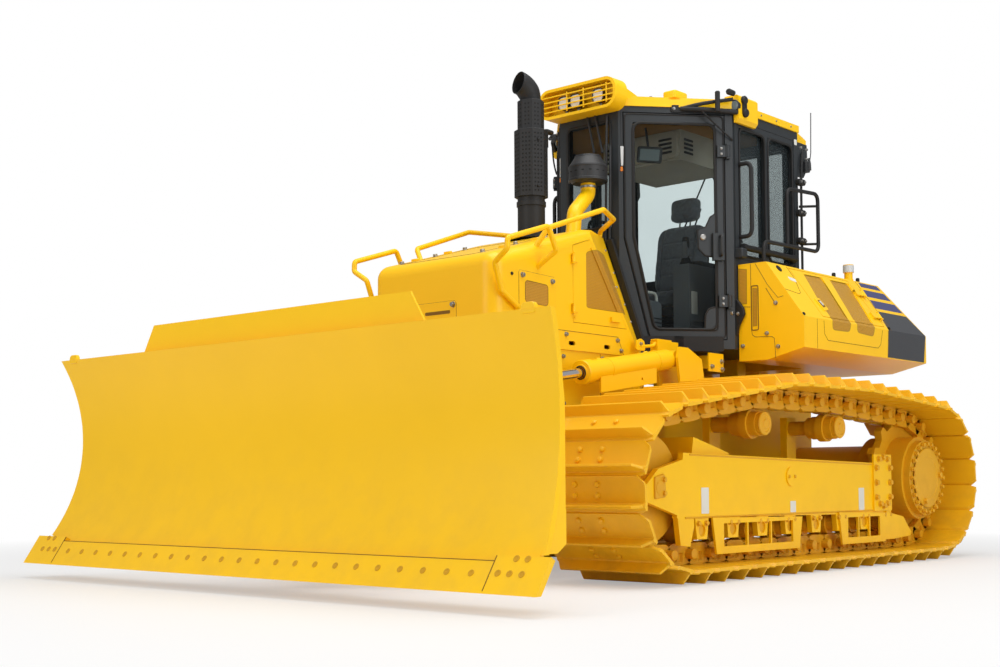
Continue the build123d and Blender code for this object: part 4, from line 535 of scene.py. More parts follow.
@dataclass(frozen=True)
class Glow:
    """Lamp glass with a painted glow that stands for the shine of the reflector behind it."""

    name: str = "lamp_glass"
    colour: Triple = (0.86, 0.82, 0.70)
    slot: str = "lamp"

    def material(self) -> bpy.types.Material:
        """Pale ribbed glass with a soft painted glow of its own."""
        tree = ShaderTree(self.name)
        place, _, y, z = tree.place()
        ribs = (y * (TAU / 0.008)).sine() * 0.5 + 0.5
        # The emission is a painted glow for the reflector's shine.
        return tree.surface(Base_Color=tree.mix(ribs, self.colour, tuple(0.7 * c for c in self.colour)),
                            Roughness=0.12, Coat_Weight=0.8,
                            Emission_Color=tree.mix(ribs, self.colour, (0.5, 0.5, 0.46)),
                            Emission_Strength=0.25, Normal=tree.bump(ribs, 0.001))


YELLOW = srgb(250, 197, 4)
DUST = srgb(196, 152, 60)
STRIPE_VIOLET = srgb(66, 68, 112)
PANEL_GREY = srgb(62, 64, 68)
HOOD_FIELDS = (
    Field(Fill.GUARD, ((0.575, 1.606), (0.575, 1.95), (0.47, 1.985), (0.165, 1.998), (0.084, 1.606)), 0.2),)
FENDER_FIELDS = (
    Field(Fill.GUARD, ((-1.18, 1.953), (-1.127, 1.778), (-1.104, 1.546), (-1.357, 1.551), (-1.436, 1.956)),
          0.94),
    Field(Fill.GUARD, ((-1.54, 1.952), (-1.452, 1.646), (-1.446, 1.556), (-1.704, 1.544), (-1.738, 1.646),
                       (-1.815, 1.951)), 0.94),
    Field(Fill.GUARD, ((0.757, 1.722), (0.821, 1.722), (0.823, 1.955), (0.757, 1.965)), -0.74,
          View.FRONT, 0.004),
    Field(Fill.GUARD, ((0.861, 1.569), (0.896, 1.571), (0.899, 1.821), (0.861, 1.825)), -0.74,
          View.FRONT, 0.004),
    Field(Fill.VIOLET, ((-2.007, 1.9835), (-2.0, 1.9455), (-2.318, 1.9455), (-2.295, 1.9835)), 0.94,
          rounding=0.003),
    Field(Fill.VIOLET, ((-1.997, 1.9268), (-1.987, 1.8685), (-2.3645, 1.8685), (-2.329, 1.9268)), 0.94,
          rounding=0.003),
    Field(Fill.VIOLET, ((-1.983, 1.8458), (-1.972, 1.7778), (-2.419, 1.7778), (-2.378, 1.8458)), 0.94,
          rounding=0.003),
    Field(Fill.CHARCOAL, ((-1.968, 1.757), (-1.925, 1.62), (-1.901, 1.415), (-2.486, 1.413),
                          (-2.521, 1.612), (-2.432, 1.757)), 0.94, rounding=0.003))
HULL_PAINT = Paint("construction_yellow", YELLOW, DUST)
HOOD_PAINT = Paint("hood_yellow", YELLOW, DUST, fields=HOOD_FIELDS)
FENDER_PAINT = Paint("fender_yellow", YELLOW, DUST, fields=FENDER_FIELDS)
# Darker yellow for the blade's plough bolts: painted shade of their countersunk recesses.
EDGE_BOLT_SHADE = Paint("edge_bolt_shade", srgb(206, 154, 14), srgb(150, 104, 38), roughness=0.5, coat=0.1)
TRACK_PAINT = Paint("track_yellow", srgb(238, 182, 20), srgb(160, 112, 40), roughness=0.42, coat=0.15,
                    cast_grain=0.0005, dust_share=0.35, slot="track_paint")
CAST_PAINT = Paint("cast_yellow", srgb(226, 168, 24), srgb(150, 104, 38), roughness=0.45, coat=0.12,
                   cast_grain=0.0008, dust_share=0.4, slot="cast_parts")
DARK_PAINT = Paint("charcoal_paint", srgb(44, 48, 51), srgb(70, 68, 64), roughness=0.42, coat=0.08,
                   dust_share=0.1, slot="dark_paint")
BLACK_PAINT = Paint("stack_black", srgb(34, 34, 35), srgb(60, 58, 54), roughness=0.55, coat=0.02,
                    dust_share=0.05, slot="black_plastic")
CHROME = Chrome()
STEEL = Steel()
GLASS = Glass()
TRIM = Plastic("grey_trim", srgb(176, 168, 152), slot="trim_plastic")
LINING = Plastic("tan_lining", srgb(172, 124, 58), roughness=0.85, grain=0.0006, grain_scale=180.0,
                 slot="trim_plastic")
CONSOLE = Plastic("console_grey", srgb(104, 108, 112))
BLACK_PLASTIC = Plastic("black_plastic", srgb(38, 39, 41), roughness=0.5)
SILVER = Plastic("silver_trim", srgb(200, 202, 202), roughness=0.3, grain=0.00005, slot="trim_plastic")
PALE_TAG = Plastic("pale_tag", srgb(226, 226, 218), roughness=0.45, grain=0.00005, slot="trim_plastic")
AMBER = Plastic("amber_reflector", srgb(214, 120, 24), roughness=0.2, grain=0.0006, grain_scale=240.0,
                slot="lamp")
SCREEN = Plastic("screen_glass", srgb(120, 132, 134), roughness=0.12, grain=0.00002, slot="glass")
# Near-black for holes, slots and vents: painted shade in the openings, and soot with painted shade inside the
# exhaust's mouth.
SOOT_AND_HOLE_SHADE = Plastic("soot_and_hole_shade", srgb(16, 16, 16), roughness=0.9, grain=0.0002)
# Dark amber beads and plates laid in panel gaps, slots and latch cups: painted shade of the gaps and
# openings.
GAP_SHADE = Plastic("painted_gap_shade", srgb(128, 92, 14), roughness=0.8, grain=0.00005, slot="yellow_paint")
# The holes of both guard sheets are coloured with painted shade of the space behind them.
MESH_SHEET = WireMesh("guard_sheet", srgb(206, 152, 34), behind=srgb(168, 118, 26))
DARK_MESH = WireMesh("dark_guard_sheet", srgb(60, 62, 64), pitch=0.02, behind=(0.008, 0.008, 0.008))
SEAT_CLOTH = Cloth("seat_cloth", srgb(100, 103, 108))
LAMP_GLASS = Glow()
RUBBER = Plastic("rubber_seal", srgb(24, 24, 25), roughness=0.7, grain=0.0001)


class Finishes:
    """Makes each finish's material once."""

    def __init__(self) -> None:
        """Start with none made."""
        self.made: dict[str, bpy.types.Material] = {}

    def __call__(self, finish: object) -> bpy.types.Material:
        """Material of a finish, built the first time it is asked for."""
        if finish.name not in self.made:
            self.made[finish.name] = finish.material()
        return self.made[finish.name]


MATERIALS = Finishes()


# ---- mesh building ----------------------------------------------------------
@dataclass
class Shell:
    """Vertices and faces of one piece, gathered part by part."""

    points: list[np.ndarray] = field(default_factory=list)
    faces: list[tuple[int, ...]] = field(default_factory=list)
    count: int = 0

    def add(self, points: np.ndarray, faces: Iterable[Sequence[int]]) -> None:
        """Add a part's vertices and its faces, numbered from its own first vertex."""
        base = self.count
        self.points.append(np.asarray(points, float).reshape(-1, 3))
        self.faces.extend(tuple(int(i) + base for i in face) for face in faces)
        self.count += len(self.points[-1])

    def grid(self, points: np.ndarray, close_u: bool = False, close_v: bool = False,
             caps: bool = False) -> None:
        """Add a surface given on a grid.

        Args:
            points: array of rows u by columns v by 3.
            close_u: join the last row to the first.
            close_v: join the last column to the first.
            caps: close the first and the last row with flat faces.
        """
        rows, cols = points.shape[:2]
        u = np.arange(rows if close_u else rows - 1)
        v = np.arange(cols if close_v else cols - 1)
        uu, vv = [axis.ravel() for axis in np.meshgrid(u, v, indexing="ij")]
        u2, v2 = (uu + 1) % rows, (vv + 1) % cols
        quads = np.stack([uu * cols + vv, u2 * cols + vv, u2 * cols + v2, uu * cols + v2], axis=1)
        faces = quads.tolist()
        if caps:
            faces.append(list(range(cols)))
            faces.append([(rows - 1) * cols + i for i in reversed(range(cols))])
        self.add(points, faces)

    def copies(self, other: "Shell", frames: np.ndarray) -> None:
        """Add copies of another shell, one for each 4 by 4 matrix, worked out as whole arrays."""
        local = np.concatenate(other.points)
        flat = np.concatenate([local, np.ones((len(local), 1))], axis=1)
        placed = np.einsum("kij,nj->kni", frames, flat)[..., :3]
        for copy in placed:
            self.add(copy, other.faces)

    def merged(self, other: "Shell") -> "Shell":
        """Add all of another shell as it is."""
        self.add(np.concatenate(other.points), other.faces)
        return self


def gridded(points: np.ndarray, close_u: bool = False, close_v: bool = False, caps: bool = False) -> Shell:
    """Shell of one surface given on a grid, closed as Shell.grid says."""
    made = Shell()
    made.grid(points, close_u, close_v, caps)
    return made


def copied(other: Shell, frames: np.ndarray) -> Shell:
    """Shell of the copies of another one, one for each 4 by 4 matrix."""
    made = Shell()
    made.copies(other, frames)
    return made


def make_piece(name: str, shell: Shell, finish: object, body: str,
               sharp: float = 32.0) -> bpy.types.Object:
    """Turn a shell into an object that rides on a body.

    Args:
        name: the piece's name.
        shell: its vertices and faces.
        finish: the finish that covers it.
        body: the body that it moves with.
        sharp: edges that turn by more than this many degrees stay crisp.

    Returns:
        The new object.
    """
    mesh = bpy.data.meshes.new(name)
    mesh.from_pydata(np.concatenate(shell.points).tolist(), [], shell.faces)
    work = bmesh.new()
    work.from_mesh(mesh)
    bmesh.ops.remove_doubles(work, verts=work.verts, dist=1e-6)
    bmesh.ops.recalc_face_normals(work, faces=work.faces)
    work.to_mesh(mesh)
    work.free()
    mesh.shade_smooth()
    mesh.set_sharp_from_angle(angle=math.radians(sharp))
    mesh.update()
    made = bpy.data.objects.new(name, mesh)
    bpy.context.scene.collection.objects.link(made)
    mesh.materials.append(MATERIALS(finish))
    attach(made, body)
    LOG.info("piece %s on %s: %d faces", name, body, len(mesh.polygons))
    return made


def frame_matrix(origin: np.ndarray, x: np.ndarray, y: np.ndarray, z: np.ndarray) -> np.ndarray:
    """Stack of 4 by 4 matrices from arrays of origins and axes, each k by 3."""
    count = len(origin)
    frames = np.zeros((count, 4, 4))
    for column, axis in enumerate((x, y, z, origin)):
        frames[:, :3, column] = axis
    frames[:, 3, 3] = 1.0
    return frames


def axis_frames(origins: Places, normal: Sequence[float],
                up: Sequence[float] = (0, 0, 1)) -> np.ndarray:
    """Frames at several places whose local Z points along one normal."""
    z = Vector(normal).normalized()
    x = Vector(up).cross(z)
    if x.length < 1e-6:
        x = Vector((1, 0, 0)).cross(z)
    x.normalize()
    y = z.cross(x)
    k = len(origins)
    return frame_matrix(np.array(origins, float), *[np.tile(np.array(a, float), (k, 1)) for a in (x, y, z)])


def lathe(profile: Sequence[Pair], sides: int = 32, phase: float = 0.0, lobes: int = 0,
          lobe: float = 0.0, ring: bool = False) -> Shell:
    """Round body about local Z.

    Each profile point (radius, height) is turned through a full circle; with lobes, the radius
    grows and shrinks by the lobe share times the cosine of the angle times the count. Points on
    the axis close the ends.

    Args:
        profile: (radius, height) pairs from one end to the other.
        sides: steps round the circle.
        phase: angle of the first step.
        lobes: waves round the circle.
        lobe: share of the radius that a wave adds.
        ring: join the last profile point to the first, for a ring with a bore.

    Returns:
        The closed shell.
    """
    rings = np.array(profile, float)
    angle = phase + np.arange(sides) * TAU / sides
    swell = 1.0 + (lobe * np.cos(lobes * angle) if lobes else 0.0 * angle)
    radius = rings[:, 0][:, None] * swell[None, :]
    points = np.stack([radius * np.cos(angle), radius * np.sin(angle),
                       np.repeat(rings[:, 1][:, None], sides, 1)], axis=2)
    return gridded(points, close_u=ring, close_v=True, caps=not ring)


def hex_bolt(size: float, washer: float = 1.35) -> Shell:
    """Hexagon head over a round washer, chamfered on top, standing on local Z = 0."""
    r = size / 2.0
    shell = lathe(((r * washer, -0.001), (r * washer, size * 0.10), (r * washer * 0.94, size * 0.13)), 12)
    shell.merged(lathe(((r * 1.12, size * 0.1), (r * 1.12, size * 0.58), (r * 0.95, size * 0.66),
                        (r * 0.3, size * 0.68)), 6))
    return shell


def button_head(size: float, rise: float = 1.0) -> Shell:
    """Domed head on local Z = 0, pressed flatter by a rise below one."""
    r, z = size / 2.0, size * rise
    return lathe(((r, -0.001), (r, z * 0.16), (r * 0.86, z * 0.34), (r * 0.5, z * 0.42),
                  (r * 0.1, z * 0.44)), 12)


def sweep(path: Places, radius: float, sides: int = 12, closed: bool = False) -> Shell:
    """Round bar along a path.

    The section stays square to the path: each ring is the last one turned by the bend between
    two steps, so that it doesn't twist.

    Args:
        path: k by 3 points.
        radius: the bar's radius.
        sides: corners of its section.
        closed: join its end to its start.

    Returns:
        The closed shell.
    """
    path = np.asarray(path, float)
    ahead = np.roll(path, -1, 0) - path
    behind = path - np.roll(path, 1, 0)
    if not closed:
        ahead[-1], behind[0] = behind[-1], ahead[0]
    ahead, behind = [step / np.linalg.norm(step, axis=1)[:, None] for step in (ahead, behind)]
    tangent = ahead + behind
    tangent /= np.linalg.norm(tangent, axis=1)[:, None]
    side = np.cross(tangent[0], (0.0, 0.0, 1.0))
    if np.linalg.norm(side) < 1e-3:
        side = np.cross(tangent[0], (1.0, 0.0, 0.0))
    sides_list = []
    for t in tangent:
        side = side - t * np.dot(side, t)
        side /= np.linalg.norm(side)
        sides_list.append(side)
    u = np.array(sides_list)
    v = np.cross(tangent, u)
    angle = np.arange(sides) * TAU / sides
    cosine, sine = np.cos(angle)[None, :, None], np.sin(angle)[None, :, None]
    points = path[:, None, :] + radius * (cosine * u[:, None, :] + sine * v[:, None, :])
    return gridded(points, close_u=closed, close_v=True, caps=not closed)


def rounded_outline(corners: Sequence[Pair], radius: float, steps: int = 4) -> np.ndarray:
    """Flat outline with each corner replaced by an arc tangent to its two sides."""
    pts = np.array(corners, float)
    out = []
    for i in range(len(pts)):
        here, last, following = pts[i], pts[i - 1], pts[(i + 1) % len(pts)]
        a, b = last - here, following - here
        la, lb = np.linalg.norm(a), np.linalg.norm(b)
        a, b = a / la, b / lb
        turn = math.acos(float(np.clip(np.dot(a, b), -1, 1)))
        cut = min(radius / math.tan(turn / 2), 0.45 * la, 0.45 * lb)
        r = cut * math.tan(turn / 2)
        centre = here + (a + b) / np.linalg.norm(a + b) * (r / math.sin(turn / 2))
        start, end = here + a * cut - centre, here + b * cut - centre
        a0, a1 = math.atan2(start[1], start[0]), math.atan2(end[1], end[0])
        sweep_angle = (a1 - a0 + math.pi) % TAU - math.pi
        for t in np.linspace(0, 1, steps + 1):
            angle = a0 + sweep_angle * t
            out.append(centre + r * np.array([math.cos(angle), math.sin(angle)]))
    return np.array(out)


def slab(outline: np.ndarray, low: float, high: float, ease: float = 0.0) -> Shell:
    """Flat plate with an outline in local XY from one height to another, its top edge eased."""
    centre = outline.mean(axis=0)
    reach = np.linalg.norm(outline - centre, axis=1)[:, None]
    inner = outline - (outline - centre) / np.maximum(reach, 1e-6) * ease
    rows = [(outline, low), (outline, high - ease)] + ([(inner, high)] if ease else [])
    points = np.stack([np.concatenate([flat, np.full((len(flat), 1), z)], axis=1) for flat, z in rows])
    return gridded(points, close_v=True, caps=True)


def rect(first: float, low: float, last: float, high: float) -> tuple[Pair, ...]:
    """Corners of an upright rectangle, in order round it from its first low one."""
    return ((first, low), (last, low), (last, high), (first, high))


def tile(corners: Sequence[Pair], radius: float, low: float, high: float,
         ease: float = 0.0) -> Shell:
    """Flat plate with rounded corners from one height to another, its top edge eased."""
    return slab(rounded_outline(corners, radius), low, high, ease)


def placed(shell: Shell, origin: Sequence[float], x: Sequence[float] = (1, 0, 0),
           y: Sequence[float] = (0, 1, 0)) -> Shell:
    """Copy of a shell with its local axes laid along x, y and their cross product at an origin."""
    x, y = np.array(x, float), np.array(y, float)
    x, y = x / np.linalg.norm(x), y / np.linalg.norm(y)
    return copied(shell, frame_matrix(np.array([origin], float), x[None], y[None], np.cross(x, y)[None]))


def mirrored(shell: Shell) -> Shell:
    """Copy of a shell on the other side of the machine's middle plane, its faces turned to match."""
    points = np.concatenate(shell.points) * (1.0, -1.0, 1.0)
    made = Shell()
    made.add(points, [tuple(reversed(face)) for face in shell.faces])
    return made


def dress(frame: dict, finish: object, *names: str) -> None:
    """Cover CAD nodes with a finish."""
    for name in names:
        mesh = frame["nodes"][name].data
        mesh.materials.clear()
        mesh.materials.append(MATERIALS(finish))
        LOG.info("node %s: %s", name, finish.name)


def both(*names: str) -> list[str]:
    """Left and right names of nodes that come in pairs."""
    return [f"{name}_{side}" for name in names for side, _ in SIDES]


@dataclass(frozen=True)
class Patch:
    """Flat place on the machine: a point, a direction along it and one up it; along x up points out."""

    origin: Triple
    along: Triple
    up: Triple

    def frames(self, places: Places, out: float = 0.0) -> np.ndarray:
        """Frames at several (along, up) places, a distance out of the surface."""
        a, b = [np.array(axis, float) / np.linalg.norm(axis) for axis in (self.along, self.up)]
        normal = np.cross(a, b)
        spots = np.array(self.origin, float) + np.array(places, float) @ np.stack([a, b]) + normal * out
        return frame_matrix(spots, *[np.tile(axis, (len(spots), 1)) for axis in (a, b, normal)])

    def points(self, places: Places, out: float = 0.0) -> np.ndarray:
        """The (along, up) places as points of the machine."""
        return self.frames(places, out)[:, :3, 3]

    def heads(self, shell: Shell, places: Places, out: float = 0.0) -> Shell:
        """Copies of a shell standing on the surface."""
        return copied(shell, self.frames(places, out))

    def bolts(self, size: float, places: Places, out: float = 0.0) -> Shell:
        """Hexagon bolts standing on the surface."""
        return self.heads(hex_bolt(size, 1.35), places, out)

    def plate(self, corners: Places, low: float, high: float, radius: float = 0.0,
              ease: float = 0.0) -> Shell:
        """Plate on the surface, its outline given by corners that may be rounded."""
        outline = rounded_outline(corners, radius) if radius else np.array(corners, float)
        return self.heads(slab(outline, low, high, ease), [(0.0, 0.0)])

    def bead(self, places: Places, radius: float = 0.002, closed: bool = False,
             corner: float = 0.0, out: float = 0.0) -> Shell:
        """Thin bar along a route on the surface."""
        route = rounded_outline(places, corner) if corner else np.array(places, float)
        return sweep(self.points(route, out), radius, 6, closed)


def left_wall(y: float) -> Patch:
    """Upright place that faces left; it counts backwards from the origin and up."""
    return Patch((0.0, y, 0.0), (-1, 0, 0), (0, 0, 1))


def front_wall(x: float) -> Patch:
    """Upright place that faces forward; it counts to the left and up."""
    return Patch((x, 0.0, 0.0), (0, 1, 0), (0, 0, 1))


def rear_wall(x: float) -> Patch:
    """Upright place that faces backward; it counts to the right and up."""
    return Patch((x, 0.0, 0.0), (0, -1, 0), (0, 0, 1))


def aft(*places: Pair) -> list[Pair]:
    """(x, z) places as (distance back, height), the way the side patches count."""
    return [(-x, z) for x, z in places]


def arc(start: Sequence[float], middle: Sequence[float], end: Sequence[float], steps: int = 12) -> np.ndarray:
    """Smooth route from one point to another, drawn towards a middle one (a quadratic curve)."""
    t = np.linspace(0.0, 1.0, steps + 1)[:, None]
    a, b, c = [np.array(point, float)[None, :] for point in (start, middle, end)]
    return (1 - t) ** 2 * a + 2 * t * (1 - t) * b + t ** 2 * c


def rounded_route(points: Places, radius: float, steps: int = 5) -> np.ndarray:
    """Open route whose corners are replaced by short curves that start a radius away from them."""
    pts = np.array(points, float)
    rows = [pts[:1]]
    for last, here, following in zip(pts[:-2], pts[1:-1], pts[2:]):
        a, b = last - here, following - here
        cut_a, cut_b = min(radius, 0.45 * np.linalg.norm(a)), min(radius, 0.45 * np.linalg.norm(b))
        rows.append(arc(here + a / np.linalg.norm(a) * cut_a, here, here + b / np.linalg.norm(b) * cut_b,
                        steps))
    rows.append(pts[-1:])
    return np.concatenate(rows)


@dataclass
class Kit:
    """Gathers the fine pieces of one body; a right-hand kit takes left-hand shapes and mirrors them."""

    body: str
    side: str = ""
    shells: dict[str, tuple[Shell, object, str]] = field(default_factory=dict)

    def add(self, name: str, finish: object, *parts: Shell, mirror: bool = False, slot: str = "") -> None:
        """Add shells to a piece.

        Args:
            name: the piece's name, without its side.
            finish: the finish that covers it.
            parts: the shells.
            mirror: add the same on the other side of the machine.
            slot: the record's material slot, where it isn't the finish's own; it is kept with the shells, but
                nothing uses it.
        """
        shell = self.shells.setdefault(name, (Shell(), finish, slot or finish.slot))[0]
        for part in parts:
            if self.side != "right":
                shell.merged(part)
            if mirror or self.side == "right":
                shell.merged(mirrored(part))

    def pair(self, name: str, finish: object, *parts: Shell, slot: str = "") -> None:
        """Add shells to a piece on both sides of the machine."""
        self.add(name, finish, *parts, mirror=True, slot=slot)

    def make(self, sharp: float = 32.0) -> dict[str, bpy.types.Object]:
        """Turn what was gathered into pieces, and give them by name."""
        return {name: make_piece(f"{name}_{self.side}" if self.side else name, shell, finish, self.body,
                                 sharp) for name, (shell, finish, slot) in self.shells.items()}


# ---- tracks -----------------------------------------------------------------
@dataclass
class Tracks:
    """Chain loops: clipped shoes with grousers, link plates, pins and shoe bolts."""

    centre: float = TRACK_CENTRE
    shoe_width: float = 0.760
    shoe_count: int = 48
    plate: float = 0.018
    corner: float = 0.046
    grouser: float = 0.065
    grouser_root: float = 0.030
    grouser_tip: float = 0.016
    grouser_place: float = 0.16
    rail_depth: float = 0.122
    rail_space: float = 0.062
    rail_thick: float = 0.042
    idler_x: float = 0.932
    idler_wrap: float = 0.455
    sprocket_x: float = DRIVE_X
    sprocket_wrap: float = 0.505
    carrier_x: Pair = CARRIER_X
    carrier_z: float = CARRIER_Z
    carrier_r: float = 0.098

    def circles(self) -> np.ndarray:
        """Circles (x, z, radius) that the face of the shoes wraps, in order round the loop."""
        height = self.plate + self.rail_depth
        rows = [(self.idler_x, self.grouser + self.idler_wrap, self.idler_wrap)]
        rows += [(x, self.carrier_z, self.carrier_r + height) for x in self.carrier_x]
        rows.append((self.sprocket_x, self.grouser + self.sprocket_wrap, self.sprocket_wrap))
        return np.array(rows)

    def joints(self) -> np.ndarray:
        """Corner points of the shoe loop.

        Between two circles the loop follows the outer tangent line; on a circle it follows the
        arc between its two tangent points. The points divide its whole length evenly.
        """
        circles = self.circles()
        count = len(circles)
        following = np.roll(circles, -1, 0)
        gap = following[:, :2] - circles[:, :2]
        length = np.hypot(gap[:, 0], gap[:, 1])
        normal = np.arctan2(gap[:, 1], gap[:, 0]) - np.arccos((circles[:, 2] - following[:, 2]) / length)
        runs = []
        for i in range(count):
            x, z, r = circles[i]
            start, end = normal[i - 1], normal[i]
            turn = (end - start) % TAU
            nx, nz, nr = following[i]
            a = np.array([x + r * math.cos(end), z + r * math.sin(end)])
            b = np.array([nx + nr * math.cos(end), nz + nr * math.sin(end)])
            runs.append(("arc", r * turn, (x, z, r, start)))
            runs.append(("line", float(np.linalg.norm(b - a)), (a, b)))
        total = sum(run[1] for run in runs)
        points = []
        for k in range(self.shoe_count):
            distance = k * total / self.shoe_count
            for kind, span, data in runs:
                if distance <= span:
                    break
                distance -= span
            if kind == "arc":
                x, z, r, start = data
                angle = start + distance / r
                points.append((x + r * math.cos(angle), z + r * math.sin(angle)))
            else:
                a, b = data
                points.append(tuple(a + (b - a) * distance / span))
        return np.array(points)

    def chords(self, sign: float) -> tuple[np.ndarray, np.ndarray]:
        """Frames of the shoes (local X along, Y outwards, Z across) and their lengths."""
        points = self.joints()
        ahead = np.roll(points, -1, 0) - points
        length = np.linalg.norm(ahead, axis=1)
        along = ahead / length[:, None]
        k = len(points)
        zero = np.zeros(k)
        origin = np.stack([points[:, 0], np.full(k, sign * self.centre), points[:, 1]], axis=1)
        x = np.stack([along[:, 0], zero, along[:, 1]], axis=1)
        y = np.stack([along[:, 1], zero, -along[:, 0]], axis=1)
        z = np.cross(x, y)
        return frame_matrix(origin, x, y, z), length

    def shoe(self, pitch: float) -> Shell:
        """One shoe: a section along the chain carried across the track, drawn in at both ends.

        The section is the plate with a rolled front lip, a raised rear lip and one grouser. Over
        the last centimetres to each end the plate's length shrinks for the clipped corners and
        the grouser's height falls off.
        """
        half = self.shoe_width / 2
        place = self.grouser_place * pitch
        root, tip, high = self.grouser_root / 2, self.grouser_tip / 2, self.grouser
        section = np.array([(-0.004, -0.016), (-0.006, -0.004), (0.004, 0.001),
                            (place - root - 0.003, 0.001), (place - root + 0.002, 0.006),
                            (place - tip, high - 0.003), (place - tip + 0.003, high),
                            (place + tip - 0.003, high), (place + tip, high - 0.003),
                            (place + root - 0.002, 0.006), (place + root + 0.004, 0.001),
                            (pitch - 0.034, 0.001), (pitch - 0.006, 0.008), (pitch - 0.002, 0.0),
                            (pitch - 0.03, -0.017), (0.01, -0.018)])
        across = np.array([-half, -half + 0.008, -half + 0.034, -half + self.corner, half - self.corner,
                           half - 0.034, half - 0.008, half])
        edge = np.clip((half - np.abs(across)) / self.corner, 0.0, 1.0)
        draw = (1.0 - edge)[:, None] * self.corner * 0.8
        a, b = section[:, 0][None, :], section[:, 1][None, :]
        front = np.clip(1.0 - a / (place * 0.9), 0.0, 1.0)
        back = np.clip((a - 0.6 * pitch) / (0.4 * pitch), 0.0, 1.0)
        a = a + draw * front * 0.35 - draw * back
        rise = np.clip((half - np.abs(across) - 0.004) / 0.040, 0.15, 1.0)[:, None]
        b = np.where(b > 0.012, b * rise, b)
        points = np.stack([np.broadcast_to(a, b.shape), b, np.broadcast_to(across[:, None], b.shape)], axis=2)
        return gridded(points, close_v=True, caps=True)

    def link(self, pitch: float, outer: float) -> Shell:
        """One link plate: a waisted outline with two pockets, standing between two depths.

        Columns run along the chain and rows from the shoe to the tread. The rail face is flat,
        the ends are rounded and the waist is drawn in; the pockets are pushed in on the outer side.
        """
        along = np.array([-0.03, -0.018, 0.02, 0.055, 0.062, 0.092, 0.099, 0.112, 0.119, 0.149, 0.156,
                          0.185, 0.205]) * pitch / 0.205
        top = np.full(len(along), -self.plate)
        deep = np.array([0.07, 0.098, 0.12, 0.122, 0.122, 0.122, 0.122, 0.122, 0.122, 0.122, 0.122, 0.114,
                         0.09])
        high = np.array([0.030, 0.012, 0.004, 0.0, 0.0, 0.0, 0.0, 0.0, 0.0, 0.0, 0.0, 0.004, 0.022])
        rows = np.array([0.0, 0.14, 0.20, 0.52, 0.58, 1.0])
        b = (top - high)[:, None] - rows[None, :] * (deep - high)[:, None]
        a = np.broadcast_to(along[:, None], b.shape)
        inside = np.zeros_like(b)
        for first, last in ((3, 6), (7, 10)):
            inside[first + 1:last, 2:4] = 1.0
        face = outer * (1.0 - 0.36 * inside)
        front = np.stack([a, b, face], axis=2)
        back = np.stack([a, b, np.full_like(b, outer * 0.02)], axis=2)
        shell = Shell()
        rows_n, cols_n = a.shape
        shell.grid(front)
        shell.grid(back[:, ::-1])
        rim = [(i, 0) for i in range(rows_n)] + [(rows_n - 1, j) for j in range(1, cols_n)]
        rim += [(i, cols_n - 1) for i in range(rows_n - 2, -1, -1)]
        rim += [(0, j) for j in range(cols_n - 2, 0, -1)]
        ring = np.array([[front[i, j], back[i, j]] for i, j in rim])
        shell.grid(ring, close_u=True)
        return shell

    def chain(self, pitch: float, frames: np.ndarray) -> Shell:
        """Two rows of link plates and the pins' bosses, one set for each shoe's frame."""
        made = Shell()
        for outward in (1.0, -1.0):
            shift = frames.copy()
            shift[:, :3, 3] += shift[:, :3, 2] * outward * self.rail_space / 2
            made.copies(self.link(pitch, self.rail_thick * outward), shift)
        pins = frames.copy()
        pins[:, :3, 3] -= pins[:, :3, 1] * (self.plate + 0.062)
        made.copies(lathe(((0.030, -0.118), (0.030, 0.118), (0.018, 0.121), (0.004, 0.119)), 12), pins)
        return made

    def bolts(self, pitch: float, frames: np.ndarray) -> Shell:
        """Four heads on the back of each shoe, behind the grouser."""
        made = Shell()
        along, out, wide = [frames[:, :3, axis] for axis in range(3)]
        for a in (0.055, 0.115):
            for across in (-0.075, 0.075):
                turned = frames.copy()
                turned[:, :3, 3] += along * (self.grouser_place * pitch + a) + wide * across + out * 0.001
                turned[:, :3, 1], turned[:, :3, 2] = -wide, out
                made.copies(button_head(0.034), turned)
        return made

    def build(self) -> None:
        """Shoes, chain and shoe bolts of both sides; the shoes stand for the CAD loops."""
        for side, sign in SIDES:
            frames, length = self.chords(sign)
            pitch = float(length.mean())
            shoes = copied(self.shoe(pitch), frames)
            made = make_piece(f"track_shoes_{side}", shoes, TRACK_PAINT, "hull", sharp=28)
            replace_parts(made, f"track_{side}")
            make_piece(f"track_chain_{side}", self.chain(pitch, frames), CAST_PAINT, "hull",
                       sharp=35)
            make_piece(f"shoe_bolts_{side}", self.bolts(pitch, frames), TRACK_PAINT, "hull")


